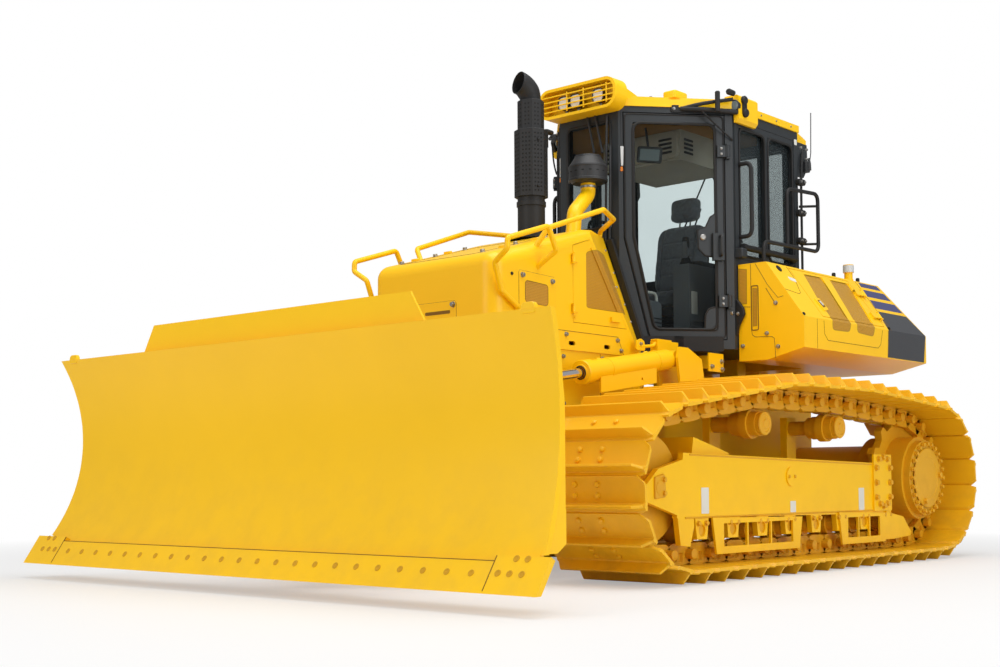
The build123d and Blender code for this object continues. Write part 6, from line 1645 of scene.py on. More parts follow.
@dataclass
class Roof:
    """Lamp units, knobs and the bent arms at the roof's edge."""

    lamps: tuple[float, ...] = (-0.135, -0.035, 0.155)
    lamp_z: float = 3.0955

    def squared(self, rows: Sequence[Pair], y: float) -> np.ndarray:
        """Grid of superellipse rings, each a (half width, x) row, about the axis of one front lamp."""
        turn = np.arange(40) * TAU / 40
        wide, tall = [np.sign(wave) * np.abs(wave) ** 0.6 for wave in (np.cos(turn), np.sin(turn))]
        return np.stack([np.stack([np.full(40, x), y + r * wide, self.lamp_z + r * tall], axis=1)
                         for r, x in rows])

    def front_lamps(self, kit: Kit) -> None:
        """Squared lamp bodies round the lenses, their feet, the loom between them and three posts."""
        body_rows = ((0.020, -0.080), (0.042, -0.052), (0.0465, -0.006), (0.0465, -0.001), (0.042, -0.001),
                     (0.041, -0.010), (0.034, -0.014))
        lens_rows = ((0.001, -0.013), (0.0405, -0.012), (0.0405, -0.007), (0.030, -0.0035), (0.016, -0.002),
                     (0.001, -0.0015))
        for y in self.lamps:
            points, glass = self.squared(body_rows, y), self.squared(lens_rows, y)
            body = Shell()
            body.grid(points, close_v=True)
            body.grid(np.stack([points[0], points[0] * (1, 0, 0) + points[0].mean(axis=0) * (0, 1, 1)]),
                      close_v=True)
            kit.add("lamp_bezels", BLACK_PLASTIC, body)
            kit.add("lamp_lenses", LAMP_GLASS, gridded(glass, close_v=True, caps=True))
            foot = placed(lathe(((0.012, 0.0), (0.012, 0.045)), 16), (-0.045, y, 3.01))
            kit.add("lamp_feet", STEEL, foot)
        loom = rounded_route([(-0.085, -0.27, 3.05), (-0.08, -0.135, 3.03), (-0.08, 0.0, 3.035),
                              (-0.08, 0.155, 3.03), (-0.085, 0.27, 3.06)], 0.06)
        kit.add("lamp_loom", RUBBER, sweep(loom, 0.006, 8))
        for y in (0.055, -0.085, 0.245):
            kit.add("lamp_posts", HULL_PAINT, sweep([(0.0205, y, 3.030), (0.0205, y, 3.160)], 0.005, 8))

    def side_lamps(self, kit: Kit) -> None:
        """Round lamp in the front of each side box, the bent arms before it and two knobs."""
        body = lathe(((0.001, -0.02), (0.038, -0.02), (0.042, 0.01), (0.038, 0.014), (0.036, 0.008),
                      (0.001, 0.009)), 32)
        lens = lathe(((0.001, 0.0085), (0.035, 0.0085), (0.030, 0.013), (0.012, 0.016), (0.001, 0.0165)), 32)
        spot = (-0.700, 0.766, 3.050)
        kit.pair("side_lamp_bodies", BLACK_PLASTIC, placed(body, spot, (0, 1, 0), (0, 0, 1)))
        kit.pair("side_lamp_lenses", SCREEN, placed(lens, spot, (0, 1, 0), (0, 0, 1)), slot="lamp")
        start = DOOR.points(((-0.355, 3.020),), 0.006)[0]
        for end, radius in (((-0.705, 0.785, 3.005), 0.017), ((-0.650, 0.785, 3.082), 0.013)):
            way = rounded_route([start, (-0.5, 0.64, 0.5 * (3.02 + end[2])), end], 0.1, 8)
            kit.pair("roof_arms", BLACK_PAINT, sweep(way, radius, 12))
        post = placed(lathe(((0.001, 2.99), (0.017, 2.99), (0.017, 3.118), (0.012, 3.124), (0.001, 3.124)),
                            20), (-0.543, 0.735, 0.0))
        cross = placed(lathe(((0.001, -0.035), (0.019, -0.035), (0.021, 0.02), (0.015, 0.032),
                              (0.001, 0.032)), 20), (-0.63, 0.78, 3.126), (0, 1, 0), (0, 0, 1))
        clasp = tile(rect(-0.022, -0.058, 0.022, 0.058), 0.02, -0.001, 0.014, 0.005)
        flank = left_wall(0.8)
        boss = lathe(((0.030, 0.0), (0.030, 0.016), (0.022, 0.024), (0.001, 0.025)), 24)
        kit.pair("roof_arms", BLACK_PAINT, post, cross, flank.heads(clasp, aft((-0.762, 3.05))),
                 flank.heads(boss, aft((-0.757, 3.092), (-0.77, 3.01))))
        pad = rect(-0.3, 2.996, -0.42, 3.046)
        kit.pair("roof_arms", BLACK_PAINT, DOOR.plate(pad, -0.001, 0.01, 0.01, 0.003))
        kit.pair("roof_bolts", STEEL, DOOR.bolts(0.016, ((-0.315, 3.02), (-0.4, 3.02)), 0.01))
        stay = arc((-0.500, 0.640, 3.000), (-0.600, 0.720, 2.88), (-0.690, 0.757, 2.820))
        kit.pair("roof_stays", BLACK_PAINT, sweep(stay, 0.006, 8))

    def top(self, kit: Kit) -> None:
        """Lifting eyes, blocks and bolts along the roof's edge."""
        eye = lathe(((0.020, 0.0), (0.020, 0.012), (0.010, 0.020), (0.010, 0.026), (0.001, 0.028)), 16)
        spots = [(x, sign * y, 3.115) for sign in (1, -1) for x, y in ((-0.4, 0.3), (-1.3, 0.45))]
        kit.add("roof_eyes", STEEL, copied(eye, axis_frames(spots, (0, 0, 1), (1, 0, 0))))
        block = tile(rect(-0.075, -0.05, 0.075, 0.05), 0.012, 0.0, 0.05, 0.008)
        for x, y in ((-0.500, 0.430), (-0.500, -0.430), (-1.380, 0.0)):
            kit.add("roof_blocks", HULL_PAINT, placed(block, (x, y, 3.112)))
        side = [(x, 3.055) for x in (-1.45, -1.25, -1.05)]
        kit.pair("roof_bolts", STEEL, CAB_SIDE.heads(button_head(0.014), aft(*side), 0.01))

    def build(self) -> None:
        """All of the roof's pieces."""
        kit = Kit("hull")
        self.front_lamps(kit)
        self.side_lamps(kit)
        self.top(kit)
        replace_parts(kit.make()["lamp_bezels"], "work_lamps")


# ---- inside the cab -----------------------------------------------------------
@dataclass(frozen=True)
class Pad:
    """One stuffed part of the seat: a rounded box, its lean, and the channels sewn across it."""

    name: str
    centre: Triple
    half: Triple
    lean: float
    channels: tuple[float, ...]
    bolster: float

    def start(self) -> np.ndarray:
        """Grid of a superellipsoid: a power of each of a sphere's coordinates makes a full, soft box."""
        u = np.linspace(-math.pi / 2, math.pi / 2, 33)[:, None]
        v = (np.arange(64) * TAU / 64)[None, :]

        def soft(value: np.ndarray) -> np.ndarray:
            """Signed power of a value."""
            return np.sign(value) * np.abs(value) ** 0.38

        x, y, z = (soft(np.cos(u)) * soft(np.cos(v)), soft(np.cos(u)) * soft(np.sin(v)),
                   np.broadcast_to(soft(np.sin(u)), (33, 64)))
        return np.stack([x, y, z], axis=2) * np.array(self.half)

    def turned(self, points: np.ndarray) -> np.ndarray:
        """Lean the pad about Y and bring it to its place."""
        c, s = math.cos(self.lean), math.sin(self.lean)
        x, y, z = points[..., 0], points[..., 1], points[..., 2]
        return np.stack([c * x + s * z, y, -s * x + c * z], axis=-1) + np.array(self.centre)

    def sewn(self, points: np.ndarray, front: int, up: int) -> np.ndarray:
        """Draw the surface in along its channels and its two side seams, as narrow bell curves.

        Args:
            points: places in the pad's own axes.
            front: axis that faces the sitter.
            up: axis along which the channels follow each other.

        Returns:
            The places with the channels in.
        """
        y = points[:, 1]
        facing = np.clip(points[:, front] / self.half[front], 0.0, 1.0)
        inside = np.clip((self.bolster - np.abs(y)) / 0.01, 0.0, 1.0)
        dip = np.zeros(len(points))
        for place in self.channels:
            dip = dip + 0.007 * np.exp(-((points[:, up] - place) / 0.007) ** 2) * inside
        dip = dip + 0.008 * np.exp(-((np.abs(y) - self.bolster) / 0.007) ** 2)
        dip = dip - 0.008 * np.clip((np.abs(y) - self.bolster) / 0.02, 0.0, 1.0)
        out = points.copy()
        out[:, front] -= dip * facing
        return out


@dataclass
class Seat:
    """Sprung seat: cloth cushion, back and head rest on a plastic shell and bellows."""

    pads: tuple[Pad, ...] = (
        Pad("seat_cushion", (-0.965, 0.0, 1.822), (0.232, 0.228, 0.058), 0.05, (-0.10, 0.02, 0.13), 0.150),
        Pad("seat_back", (-1.192, 0.0, 2.155), (0.050, 0.216, 0.262), -0.155, (-0.12, 0.0, 0.12), 0.140),
        Pad("seat_headrest", (-1.250, 0.0, 2.528), (0.036, 0.118, 0.084), -0.09, (), 0.300))
    puff: float = 0.012

    def blown(self, made: bpy.types.Object) -> None:
        """Voxel remesh at 6 mm, then blow the cover up as cloth and cap how far it moves."""
        remesh = made.modifiers.new("even", "REMESH")
        remesh.mode = "VOXEL"
        remesh.voxel_size = 0.006
        self.bake(made)
        before = self.read(made)
        cloth = made.modifiers.new("cover", "CLOTH")
        cloth.settings.use_pressure = True
        cloth.settings.uniform_pressure_force = 4.0
        cloth.settings.effector_weights.gravity = 0.0
        cloth.point_cache.frame_start, cloth.point_cache.frame_end = 1, 20
        scene = bpy.context.scene
        for frame in range(1, 21):
            scene.frame_set(frame)
        self.bake(made)
        scene.frame_set(1)
        moved = self.read(made) - before
        far = np.linalg.norm(moved, axis=1)[:, None]
        self.write(made, before + moved * np.minimum(1.0, self.puff / np.maximum(far, 1e-9)))

    @staticmethod
    def bake(made: bpy.types.Object) -> None:
        """Replace the mesh by the one its modifiers give, and drop them."""
        graph = bpy.context.evaluated_depsgraph_get()
        mesh = bpy.data.meshes.new_from_object(made.evaluated_get(graph))
        made.modifiers.clear()
        made.data = mesh

    @staticmethod
    def read(made: bpy.types.Object) -> np.ndarray:
        """The mesh's vertices as rows."""
        flat = np.zeros(len(made.data.vertices) * 3)
        made.data.vertices.foreach_get("co", flat)
        return flat.reshape(-1, 3)

    @staticmethod
    def write(made: bpy.types.Object, points: np.ndarray) -> None:
        """Put rows back as the mesh's vertices."""
        made.data.vertices.foreach_set("co", points.ravel())
        made.data.update()

    def pad(self, pad: Pad) -> bpy.types.Object:
        """Make one cushion: rounded box, blown cover, sewn channels, one subdivision."""
        box = gridded(pad.start(), close_v=True)
        made = make_piece(pad.name, box, SEAT_CLOTH, "hull", sharp=180)
        self.blown(made)
        front, up = (2, 0) if pad.half[2] < pad.half[0] else (0, 2)
        self.write(made, pad.turned(pad.sewn(self.read(made), front, up)))
        made.data.shade_smooth()
        if not made.data.materials:
            made.data.materials.append(MATERIALS(SEAT_CLOTH))
        smooth = made.modifiers.new("smooth", "SUBSURF")
        smooth.levels = smooth.render_levels = 1
        return made

    def build(self) -> None:
        """Cushions, bellows, shell and the head rest's two posts."""
        made = [self.pad(pad) for pad in self.pads]
        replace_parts(made[0], "operator_seat")
        kit = Kit("hull")
        rows = [(1.48, 0.15), (1.5, 0.178), (1.53, 0.155), (1.56, 0.178), (1.59, 0.155), (1.62, 0.178),
                (1.65, 0.155), (1.68, 0.178), (1.7, 0.17)]
        outline = rounded_outline(rect(-1.08, -1.0, 1.08, 1.0), 0.25)
        points = np.stack([np.concatenate([-0.985 + outline[:, :1] * r, outline[:, 1:] * r,
                                           np.full((len(outline), 1), z)], axis=1) for z, r in rows])
        kit.add("seat_bellows", RUBBER, gridded(points, close_v=True, caps=True))
        pan = tile(rect(-1.195, -0.215, -0.745, 0.215), 0.06, 1.7, 1.762, 0.012)
        foot = tile(rect(-1.175, -0.175, -0.805, 0.175), 0.03, 1.466, 1.482, 0.004)
        shell = tile(((-0.2, -0.235), (0.2, -0.235), (0.17, 0.255), (-0.17, 0.255)), 0.08, -0.02, 0.0,
                     0.008)
        back = placed(shell, (-1.245, 0.0, 2.150), (0, 1, 0), (-0.155, 0, 0.988))
        kit.add("seat_shell", BLACK_PLASTIC, pan, foot, back)
        for y in (0.045, -0.045):
            kit.add("headrest_posts", STEEL, sweep([(-1.232, y, 2.37), (-1.243, y, 2.47)], 0.006, 10))
        kit.make()


@dataclass
class Interior:
    """Lining, monitor, levers, console trims and blank plates."""

    def ceiling(self, kit: Kit) -> None:
        """Lining under the roof, and the air unit's cover with its vents."""
        plan = rounded_outline(((-0.18, -0.19), (-0.18, 0.19), (-0.715, 0.665), (-1.48, 0.665),
                                (-1.48, -0.665), (-0.715, -0.665)), 0.05)
        kit.add("ceiling_lining", LINING, slab(plan, 2.972, 3.024, 0.0))
        face = front_wall(-0.698)
        cover = rect(-0.32, 2.775, 0.32, 2.965)
        kit.add("aircon_cover", TRIM, face.plate(cover, -0.001, 0.018, 0.04, 0.01))
        slots = [(y, z) for y in (0.22, -0.22) for z in (2.82, 2.85, 2.88, 2.91)]
        # The vents are near-black plates: painted shade of the openings.
        vent = tile(rect(-0.055, -0.008, 0.055, 0.008), 0.006, 0.0, 0.004)
        kit.add("aircon_vents", SOOT_AND_HOLE_SHADE, face.heads(vent, slots, 0.017))
        side = left_wall(0.33)
        kit.add("aircon_vents", SOOT_AND_HOLE_SHADE,
                side.heads(vent, aft(*[(-0.8, z) for z in (2.82, 2.85, 2.88, 2.91)]), -0.001))

    def monitor(self, kit: Kit) -> None:
        """Screen and its glass on a short stalk."""
        screen = tile(rect(-0.085, -0.055, 0.085, 0.055), 0.015, -0.016, 0.012, 0.006)
        glass = tile(rect(-0.066, -0.038, 0.066, 0.038), 0.006, 0.01, 0.0135)
        spot, x_axis, y_axis = (-0.50, 0.215, 2.775), (-0.62, 0.78, -0.08), (0.12, 0.20, 0.97)
        kit.add("monitor", BLACK_PLASTIC, placed(screen, spot, x_axis, y_axis),
                sweep([(-0.51, 0.2, 2.81), (-0.52, 0.17, 2.975)], 0.008, 10))
        kit.add("monitor_glass", SCREEN, placed(glass, spot, x_axis, y_axis))

    def levers(self, kit: Kit) -> None:
        """Boot and knob of each lever, and the arm rest behind it."""
        for sign in (1.0, -1.0):
            boot = lathe(((0.048, 0.0), (0.042, 0.02), (0.034, 0.022), (0.03, 0.045), (0.024, 0.047),
                          (0.02, 0.07)), 24)
            knob = lathe(((0.012, 0.10), (0.024, 0.12), (0.027, 0.16), (0.022, 0.19), (0.001, 0.195)), 24)
            for part, finish, name in ((boot, RUBBER, "lever_boots"), (knob, BLACK_PLASTIC, "lever_knobs")):
                kit.add(name, finish, placed(part, (-0.7, sign * 0.365, 2.026)))
            rest = tile(rect(-1.09, sign * 0.365 - 0.055, -0.78, sign * 0.365 + 0.055), 0.04, 2.026, 2.062,
                        0.014)
            kit.add("arm_rests", BLACK_PLASTIC, rest, slot="seat_cloth")

    def consoles(self, kit: Kit) -> None:
        """Blank plate and ribs on the consoles' outer sides."""
        outer = left_wall(0.43)
        kit.add("console_tag", PALE_TAG,
                outer.plate(aft(*rect(-0.665, 1.685, -0.735, 1.84)), 0.0, 0.002, 0.006))
        ribs = [outer.bead(aft((-0.66, z), (-1.08, z)), 0.006) for z in (1.52, 1.56, 1.60, 1.64)]
        kit.pair("console_ribs", CONSOLE, *ribs)

    def footwell(self, kit: Kit) -> None:
        """Ribbed boxes beside the pedals, the bow over them, the dash's cap and the pedals."""
        box = tile(rect(-0.6, 0.115, -0.36, 0.245), 0.03, 1.466, 1.775, 0.02)
        kit.pair("pedal_box", CONSOLE, box)
        flank = left_wall(0.245)
        lines = [flank.bead(aft((-0.385, z), (-0.575, z)), 0.005) for z in np.arange(1.52, 1.68, 0.027)]
        kit.pair("pedal_box_ribs", BLACK_PLASTIC, *lines)
        handle = rounded_route([(-0.395, 0.215, 1.765), (-0.405, 0.215, 1.832), (-0.555, 0.215, 1.832),
                                (-0.565, 0.215, 1.765)], 0.04)
        kit.add("grab_bow", PALE_TAG, sweep(handle, 0.01, 12))
        deck = tile(rect(-0.335, -0.155, -0.175, 0.155), 0.02, 2.218, 2.245, 0.008)
        kit.add("dash_cap", BLACK_PLASTIC, deck)
        for y in (0.045, -0.045):
            pedal = tile(rect(-0.04, -0.06, 0.04, 0.06), 0.015, 0.0, 0.012, 0.004)
            kit.add("pedals", RUBBER, placed(pedal, (-0.41, y, 1.56), (0, 1, 0), (0.5, 0, 0.86)),
                    sweep([(-0.4, y, 1.56), (-0.335, y, 1.5)], 0.008, 8))

    def build(self) -> None:
        """Everything fixed inside the cab but the seat."""
        kit = Kit("hull")
        for group in (self.ceiling, self.monitor, self.levers, self.consoles, self.footwell):
            group(kit)
        kit.make()


# ---- fenders and rear -----------------------------------------------------------
@dataclass
class Fenders:
    """Seams, latches, caps, bolts and plates of the fenders."""

    def seams(self, kit: Kit) -> None:
        """Painted shade beads in the gaps between the panels of the front, the slant and the side."""
        seams = (FENDER_FRONT.bead(((0.851, 1.985), (0.851, 1.55), (0.858, 1.515), (0.88, 1.5),
                                    (1.005, 1.493), (1.022, 1.48), (1.03, 1.352))),
                 FENDER_FRONT.bead(((0.78, 1.708), (0.846, 1.7))),
                 FENDER_FRONT.bead(((0.855, 1.545), (0.855, 1.838), (0.905, 1.838), (0.905, 1.545)), 0.004,
                                   True, 0.01),
                 FENDER_FRONT.bead(((1.03, 1.712), (0.963, 1.816)), 0.0024),
                 FENDER_FRONT.bead(((0.885, 1.986), (0.975, 1.838), (1.052, 1.745), (1.092, 1.752))),
                 FENDER_SLANT.bead(((0.738, -0.24), (0.895, -0.262), (0.925, -0.248), (0.985, -0.12),
                                    (0.99, -0.008))),
                 FENDER_SLANT.bead(((1.965, -0.005), (1.965, -0.468))),
                 FENDER_SIDE.bead(((1.92, 1.605), (1.905, 1.412))),
                 FENDER_SIDE.bead(((0.905, 1.605), (0.905, 1.412))),
                 FENDER_SIDE.bead(((0.995, 1.6), (1.0, 1.515), (1.045, 1.474), (1.76, 1.472), (1.8, 1.5),
                                   (1.83, 1.6))))
        kit.pair("fender_seam_shade", GAP_SHADE, *seams)

    def fittings(self, kit: Kit) -> None:
        """Caps, plates, bolts, posts, filler and grip bars."""
        cap = lathe(((0.026, 0.0), (0.026, 0.004), (0.020, 0.006), (0.018, 0.003), (0.001, 0.003)), 28)
        kit.pair("fender_caps", RUBBER, FENDER_SLANT.heads(cap, ((0.856, -0.045),)))
        kit.add("blank_tags", PALE_TAG,
                FENDER_SLANT.plate(((0.9, -0.108), (0.985, -0.12), (0.978, -0.152), (0.905, -0.14)), 0.0,
                                   0.002, 0.006))
        heads = ((0.967, 1.517), (1.049, 1.426), (1.036, 1.711), (0.785, 1.445), (0.785, 1.69))
        kit.pair("fender_bolts", STEEL, FENDER_FRONT.bolts(0.022, heads))
        kit.pair("fender_dots", RUBBER,
                 FENDER_SLANT.heads(button_head(0.024), ((0.748, -0.452), (1.945, -0.452))))
        post = lathe(((0.014, 0.0), (0.014, 0.030), (0.010, 0.036), (0.001, 0.037)), 16)
        kit.pair("fender_posts", RUBBER, FENDER_TOP.heads(post, ((1.72, -0.93), (2.08, -0.93))))
        lid = lathe(((0.0385, 2.052), (0.0385, 2.1), (0.034, 2.1078), (0.001, 2.1079), (0.001, 2.1)), 32,
                    0.0, 12, 0.015)
        neck = lathe(((0.0305, 1.992), (0.0345, 1.994), (0.0345, 2.004), (0.0305, 2.006)), 32, ring=True)
        kit.add("filler_lid", SILVER, placed(lid, (-1.95, 0.925, 0)))
        kit.add("filler_ring", HULL_PAINT, placed(neck, (-1.95, 0.925, 0)))
        tread = [FENDER_TOP.bead(((x, -0.79), (x, -0.93)), 0.004) for x in np.arange(0.80, 1.66, 0.05)]
        kit.pair("fender_treads", RUBBER, *tread)

    def build(self) -> None:
        """Pieces on the hull and the latch on each slanted door."""
        kit = Kit("hull")
        self.seams(kit)
        self.fittings(kit)
        kit.make()
        for side, _ in SIDES:
            door = Kit(f"side_door_{side}", side)
            latch = ((1.062, -0.285), (1.135, -0.272), (1.160, -0.372), (1.086, -0.392))
            cup = ((1.082, -0.300), (1.124, -0.293), (1.138, -0.352), (1.096, -0.362))
            door.add("side_latch", HULL_PAINT, FENDER_SLANT.plate(latch, -0.001, 0.007, 0.008, 0.003))
            # The cup is a dark plate: painted shade of the latch's recess.
            door.add("side_latch_cup_shade", GAP_SHADE, FENDER_SLANT.plate(cup, 0.006, 0.0085, 0.006),
                     slot="black_plastic")
            paddle = ((1.094, -0.306), (1.116, -0.302), (1.126, -0.34), (1.104, -0.346))
            door.add("side_latch_paddle", SILVER, FENDER_SLANT.plate(paddle, 0.008, 0.011, 0.005, 0.001),
                     slot="chrome")
            door.make()


@dataclass
class RearEnd:
    """Lamps, blank plate, bolts and pull pin behind the machine."""

    def build(self) -> None:
        """Pieces on the hull and on the grille door."""
        kit = Kit("hull")
        lamp = lathe(((0.001, 0.0), (0.045, 0.0), (0.050, 0.012), (0.046, 0.026), (0.001, 0.028)), 32)
        lens = lathe(((0.001, 0.0255), (0.041, 0.0255), (0.036, 0.031), (0.016, 0.034), (0.001, 0.0345)), 32)
        wall = rear_wall(-2.525)
        kit.add("rear_lamp_bodies", BLACK_PLASTIC, wall.heads(lamp, ((-0.9, 1.53), (0.9, 1.53))))
        kit.add("rear_lamp_lenses", LAMP_GLASS, wall.heads(lens, ((-0.9, 1.53), (0.9, 1.53))))
        kit.pair("rear_reflectors", AMBER,
                 wall.plate(rect(-1.14, 1.45, -1.04, 1.5), 0.0, 0.008, 0.01, 0.003))
        heads = [(sign * y, z) for y, z in ((0.8, 1.4), (1.2, 1.45), (0.8, 1.58)) for sign in (1, -1)]
        kit.add("rear_bolts", STEEL, wall.bolts(0.022, heads))
        kit.add("rear_plate", PALE_TAG, wall.plate(rect(0.98, 1.42, 1.14, 1.5), 0.0, 0.003, 0.01))
        x = -2.655
        pin = lathe(((0.024, 0.702), (0.036, 0.704), (0.036, 0.716), (0.010, 0.720), (0.001, 0.720)), 24)
        bail = rounded_route([(x, -0.03, 0.715), (x, -0.03, 0.775), (x, 0.03, 0.775), (x, 0.03, 0.715)], 0.02)
        kit.add("drawbar_pin", STEEL, placed(pin, (x, 0.0, 0.0)), sweep(bail, 0.005, 8))
        kit.make()
        door = Kit("cooler_door")
        rim = rear_wall(-2.559)
        corners = [(y, z) for y in (-0.66, 0.66) for z in (1.40, 1.565)]
        door.add("grille_bolts", STEEL, rim.bolts(0.018, corners))
        backing = rect(-0.63, 1.412, 0.63, 1.552)
        # The grille sheet's near-black holes are painted shade of the space behind it.
        door.add("grille_sheet", DARK_MESH, rim.plate(backing, -0.022, -0.019))
        door.make()


# ---- blade and its gear ---------------------------------------------------------
@dataclass
class Blade:
    """Plough bolts, bit seams, lifting eyes and weld beads of the blade."""

    bolt_space: float = 0.145
    edge_half: float = 1.700

    def build(self) -> None:
        """Fine pieces on the moldboard and the edge."""
        kit = Kit("blade")
        bolt = lathe(((0.0165, -0.001), (0.0165, 0.0018), (0.0145, 0.003), (0.0115, 0.0026),
                      (0.0095, 0.0004), (0.001, 0.0004)), 16)
        count = int(2 * self.edge_half / self.bolt_space)
        row = [(y, 0.095) for y in (np.arange(count) - (count - 1) / 2) * self.bolt_space]
        tips = ((1.745, 0.101), (1.811, 0.101), (1.879, 0.101), (1.816, 0.175), (1.879, 0.175))
        bits = [(sign * y, up) for sign in (1, -1) for y, up in tips]
        # The bolts' darker yellow is painted shade of the countersinks.
        kit.add("edge_bolts", EDGE_BOLT_SHADE, EDGE.heads(bolt, row + bits))
        # The seam beads are painted shade in the joints between the edge and its bits.
        kit.add("edge_seam_shade", GAP_SHADE, EDGE.bead(((-1.699, 0.1605), (1.699, 0.1605)), 0.0022),
                *[EDGE.bead(((y, 0.012), (y, 0.186)), 0.0026) for y in (1.7002, -1.7002)])
        eye = tile(((-0.05, -0.02), (0.05, -0.02), (0.035, 0.03), (-0.035, 0.03)), 0.022, -0.01, 0.01,
                   0.003)
        for y in (1.80, -1.80):
            kit.add("blade_eyes", HULL_PAINT, placed(eye, (2.638, y, 1.304), (0, 1, 0), (0, 0, 1)))
        weld = np.stack([np.full(60, 2.6025), np.linspace(-1.145, 1.145, 60),
                         1.3045 + 0.001 * np.sin(np.arange(60) * 1.9)], axis=1)
        kit.add("blade_welds", HULL_PAINT, sweep(weld, 0.007, 8))
        kit.make()


@dataclass
class Cylinders:
    """Pipes, clamps, gland bolts and pin caps of the hydraulic cylinders."""

    def along(self, rear: Sequence[float], eye: Sequence[float],
              up: Sequence[float]) -> tuple[np.ndarray, ...]:
        """A cylinder's rear pin, its direction and the direction away from its axis nearest to up."""
        rear, eye, up = [np.array(value, float) for value in (rear, eye, up)]
        ahead = (eye - rear) / np.linalg.norm(eye - rear)
        up = up - ahead * np.dot(up, ahead)
        return rear, ahead, up / np.linalg.norm(up)

    def dressing(self, kit: Kit, rear: Sequence[float], eye: Sequence[float], up: Sequence[float],
                 radius: float, length: float, name: str) -> None:
        """Steel pipe along a barrel, two clamp bands and the stepped gland with its wiper.

        Args:
            kit: the barrel's kit.
            rear: its rear pin.
            eye: the rod's eye.
            up: direction in which the pipe stands off, made square to the axis.
            radius: the barrel's radius.
            length: from its rear pin to its front end.
            name: what the pieces' names start with.
        """
        foot, ahead, out = self.along(rear, eye, up)
        side = np.cross(ahead, out)
        lift = radius + 0.012
        stops = ((0.14, -0.006), (0.17, 0.0), (length - 0.12, 0.0), (length - 0.09, 0.0))
        route = [foot + ahead * a + out * (lift + extra) for a, extra in stops]
        route.append(foot + ahead * (length - 0.065) + out * (radius - 0.004))
        kit.add(f"{name}_pipe", HULL_PAINT, sweep(rounded_route(route, 0.03), 0.008, 10))
        band = lathe(((radius - 0.001, -0.016), (radius + 0.0035, -0.014), (radius + 0.0035, 0.014),
                      (radius - 0.001, 0.016)), 40, ring=True)
        block = tile(rect(-0.018, -0.016, 0.018, 0.016), 0.006, 0.0, 0.024, 0.003)
        for a in (0.22, length - 0.22):
            kit.add(f"{name}_clamps", HULL_PAINT,
                    placed(band, foot + ahead * a, side, np.cross(ahead, side)),
                    placed(block, foot + ahead * a + out * radius, ahead, np.cross(out, ahead)))
        gland = lathe(((0.037, 0.0005), (radius + 0.0085, 0.0005), (radius + 0.0095, 0.006),
                       (radius + 0.006, 0.012), (0.05, 0.0125), (0.046, 0.017), (0.037, 0.017)), 48,
                      ring=True)
        kit.add(f"{name}_gland", HULL_PAINT,
                placed(gland, foot + ahead * (length + 0.021), side, np.cross(ahead, side)))
        wiper = lathe(((0.0355, 0.0), (0.041, 0.0), (0.041, 0.004), (0.0355, 0.005)), 40, ring=True)
        kit.add(f"{name}_wiper", RUBBER,
                placed(wiper, foot + ahead * (length + 0.0375), side, np.cross(ahead, side)))

    def build(self) -> None:
        """Lift and angle cylinders, the lift pins' caps and the hose bracket over each lift barrel."""
        rows = (("lift", (-0.140, 0.640, 1.335), (1.700, 0.640, 1.060), (0, -0.75, 0.66), 0.065, 0.930),
                ("angle", (1.050, 0.470, 0.668), (2.295, 0.540, 0.668), (0, -0.3, 1.0), 0.052, 0.800))
        for side, _ in SIDES:
            for name, rear, eye, up, radius, length in rows:
                kit = Kit(f"{name}_barrel_{side}", side)
                self.dressing(kit, rear, eye, up, radius, length, name)
                kit.make()
        kit = Kit("hull")
        side = left_wall(0.7112)
        cap = lathe(((0.046, -0.001), (0.046, 0.006), (0.04, 0.009), (0.016, 0.009), (0.014, 0.006),
                     (0.001, 0.006)), 32)
        kit.pair("pin_caps", HULL_PAINT, side.heads(cap, ((0.14, 1.335),)))
        ring = [(0.140 + 0.030 * math.cos(a), 1.335 + 0.030 * math.sin(a)) for a in (0.5, 2.6, 4.7)]
        kit.pair("pin_bolts", STEEL, side.bolts(0.012, ring, 0.008),
                 side.bolts(0.024, ((0.585, 1.338), (0.47, 1.3), (0.59, 1.286)), 0.0))
        shelf = left_wall(0.552)
        lug = ((-0.145, 1.376), (-0.045, 1.376), (-0.055, 1.438), (-0.090, 1.452), (-0.130, 1.440))
        kit.pair("hose_bracket", HULL_PAINT, shelf.plate(lug, -0.008, 0.002, 0.014, 0.001),
                 shelf.plate(rect(0.065, 1.452, 0.23, 1.462), -0.035, 0.012, 0.003, 0.001))
        kit.pair("hose_tube", HULL_PAINT,
                 sweep(rounded_route([(0.12, 0.545, 1.405), (0.05, 0.545, 1.405), (-0.06, 0.545, 1.418),
                                      (-0.066, 0.545, 1.44)], 0.03), 0.011, 10))
        kit.pair("pin_bolts", STEEL, shelf.bolts(0.018, ((-0.095, 1.418),), 0.001))
        kit.make()


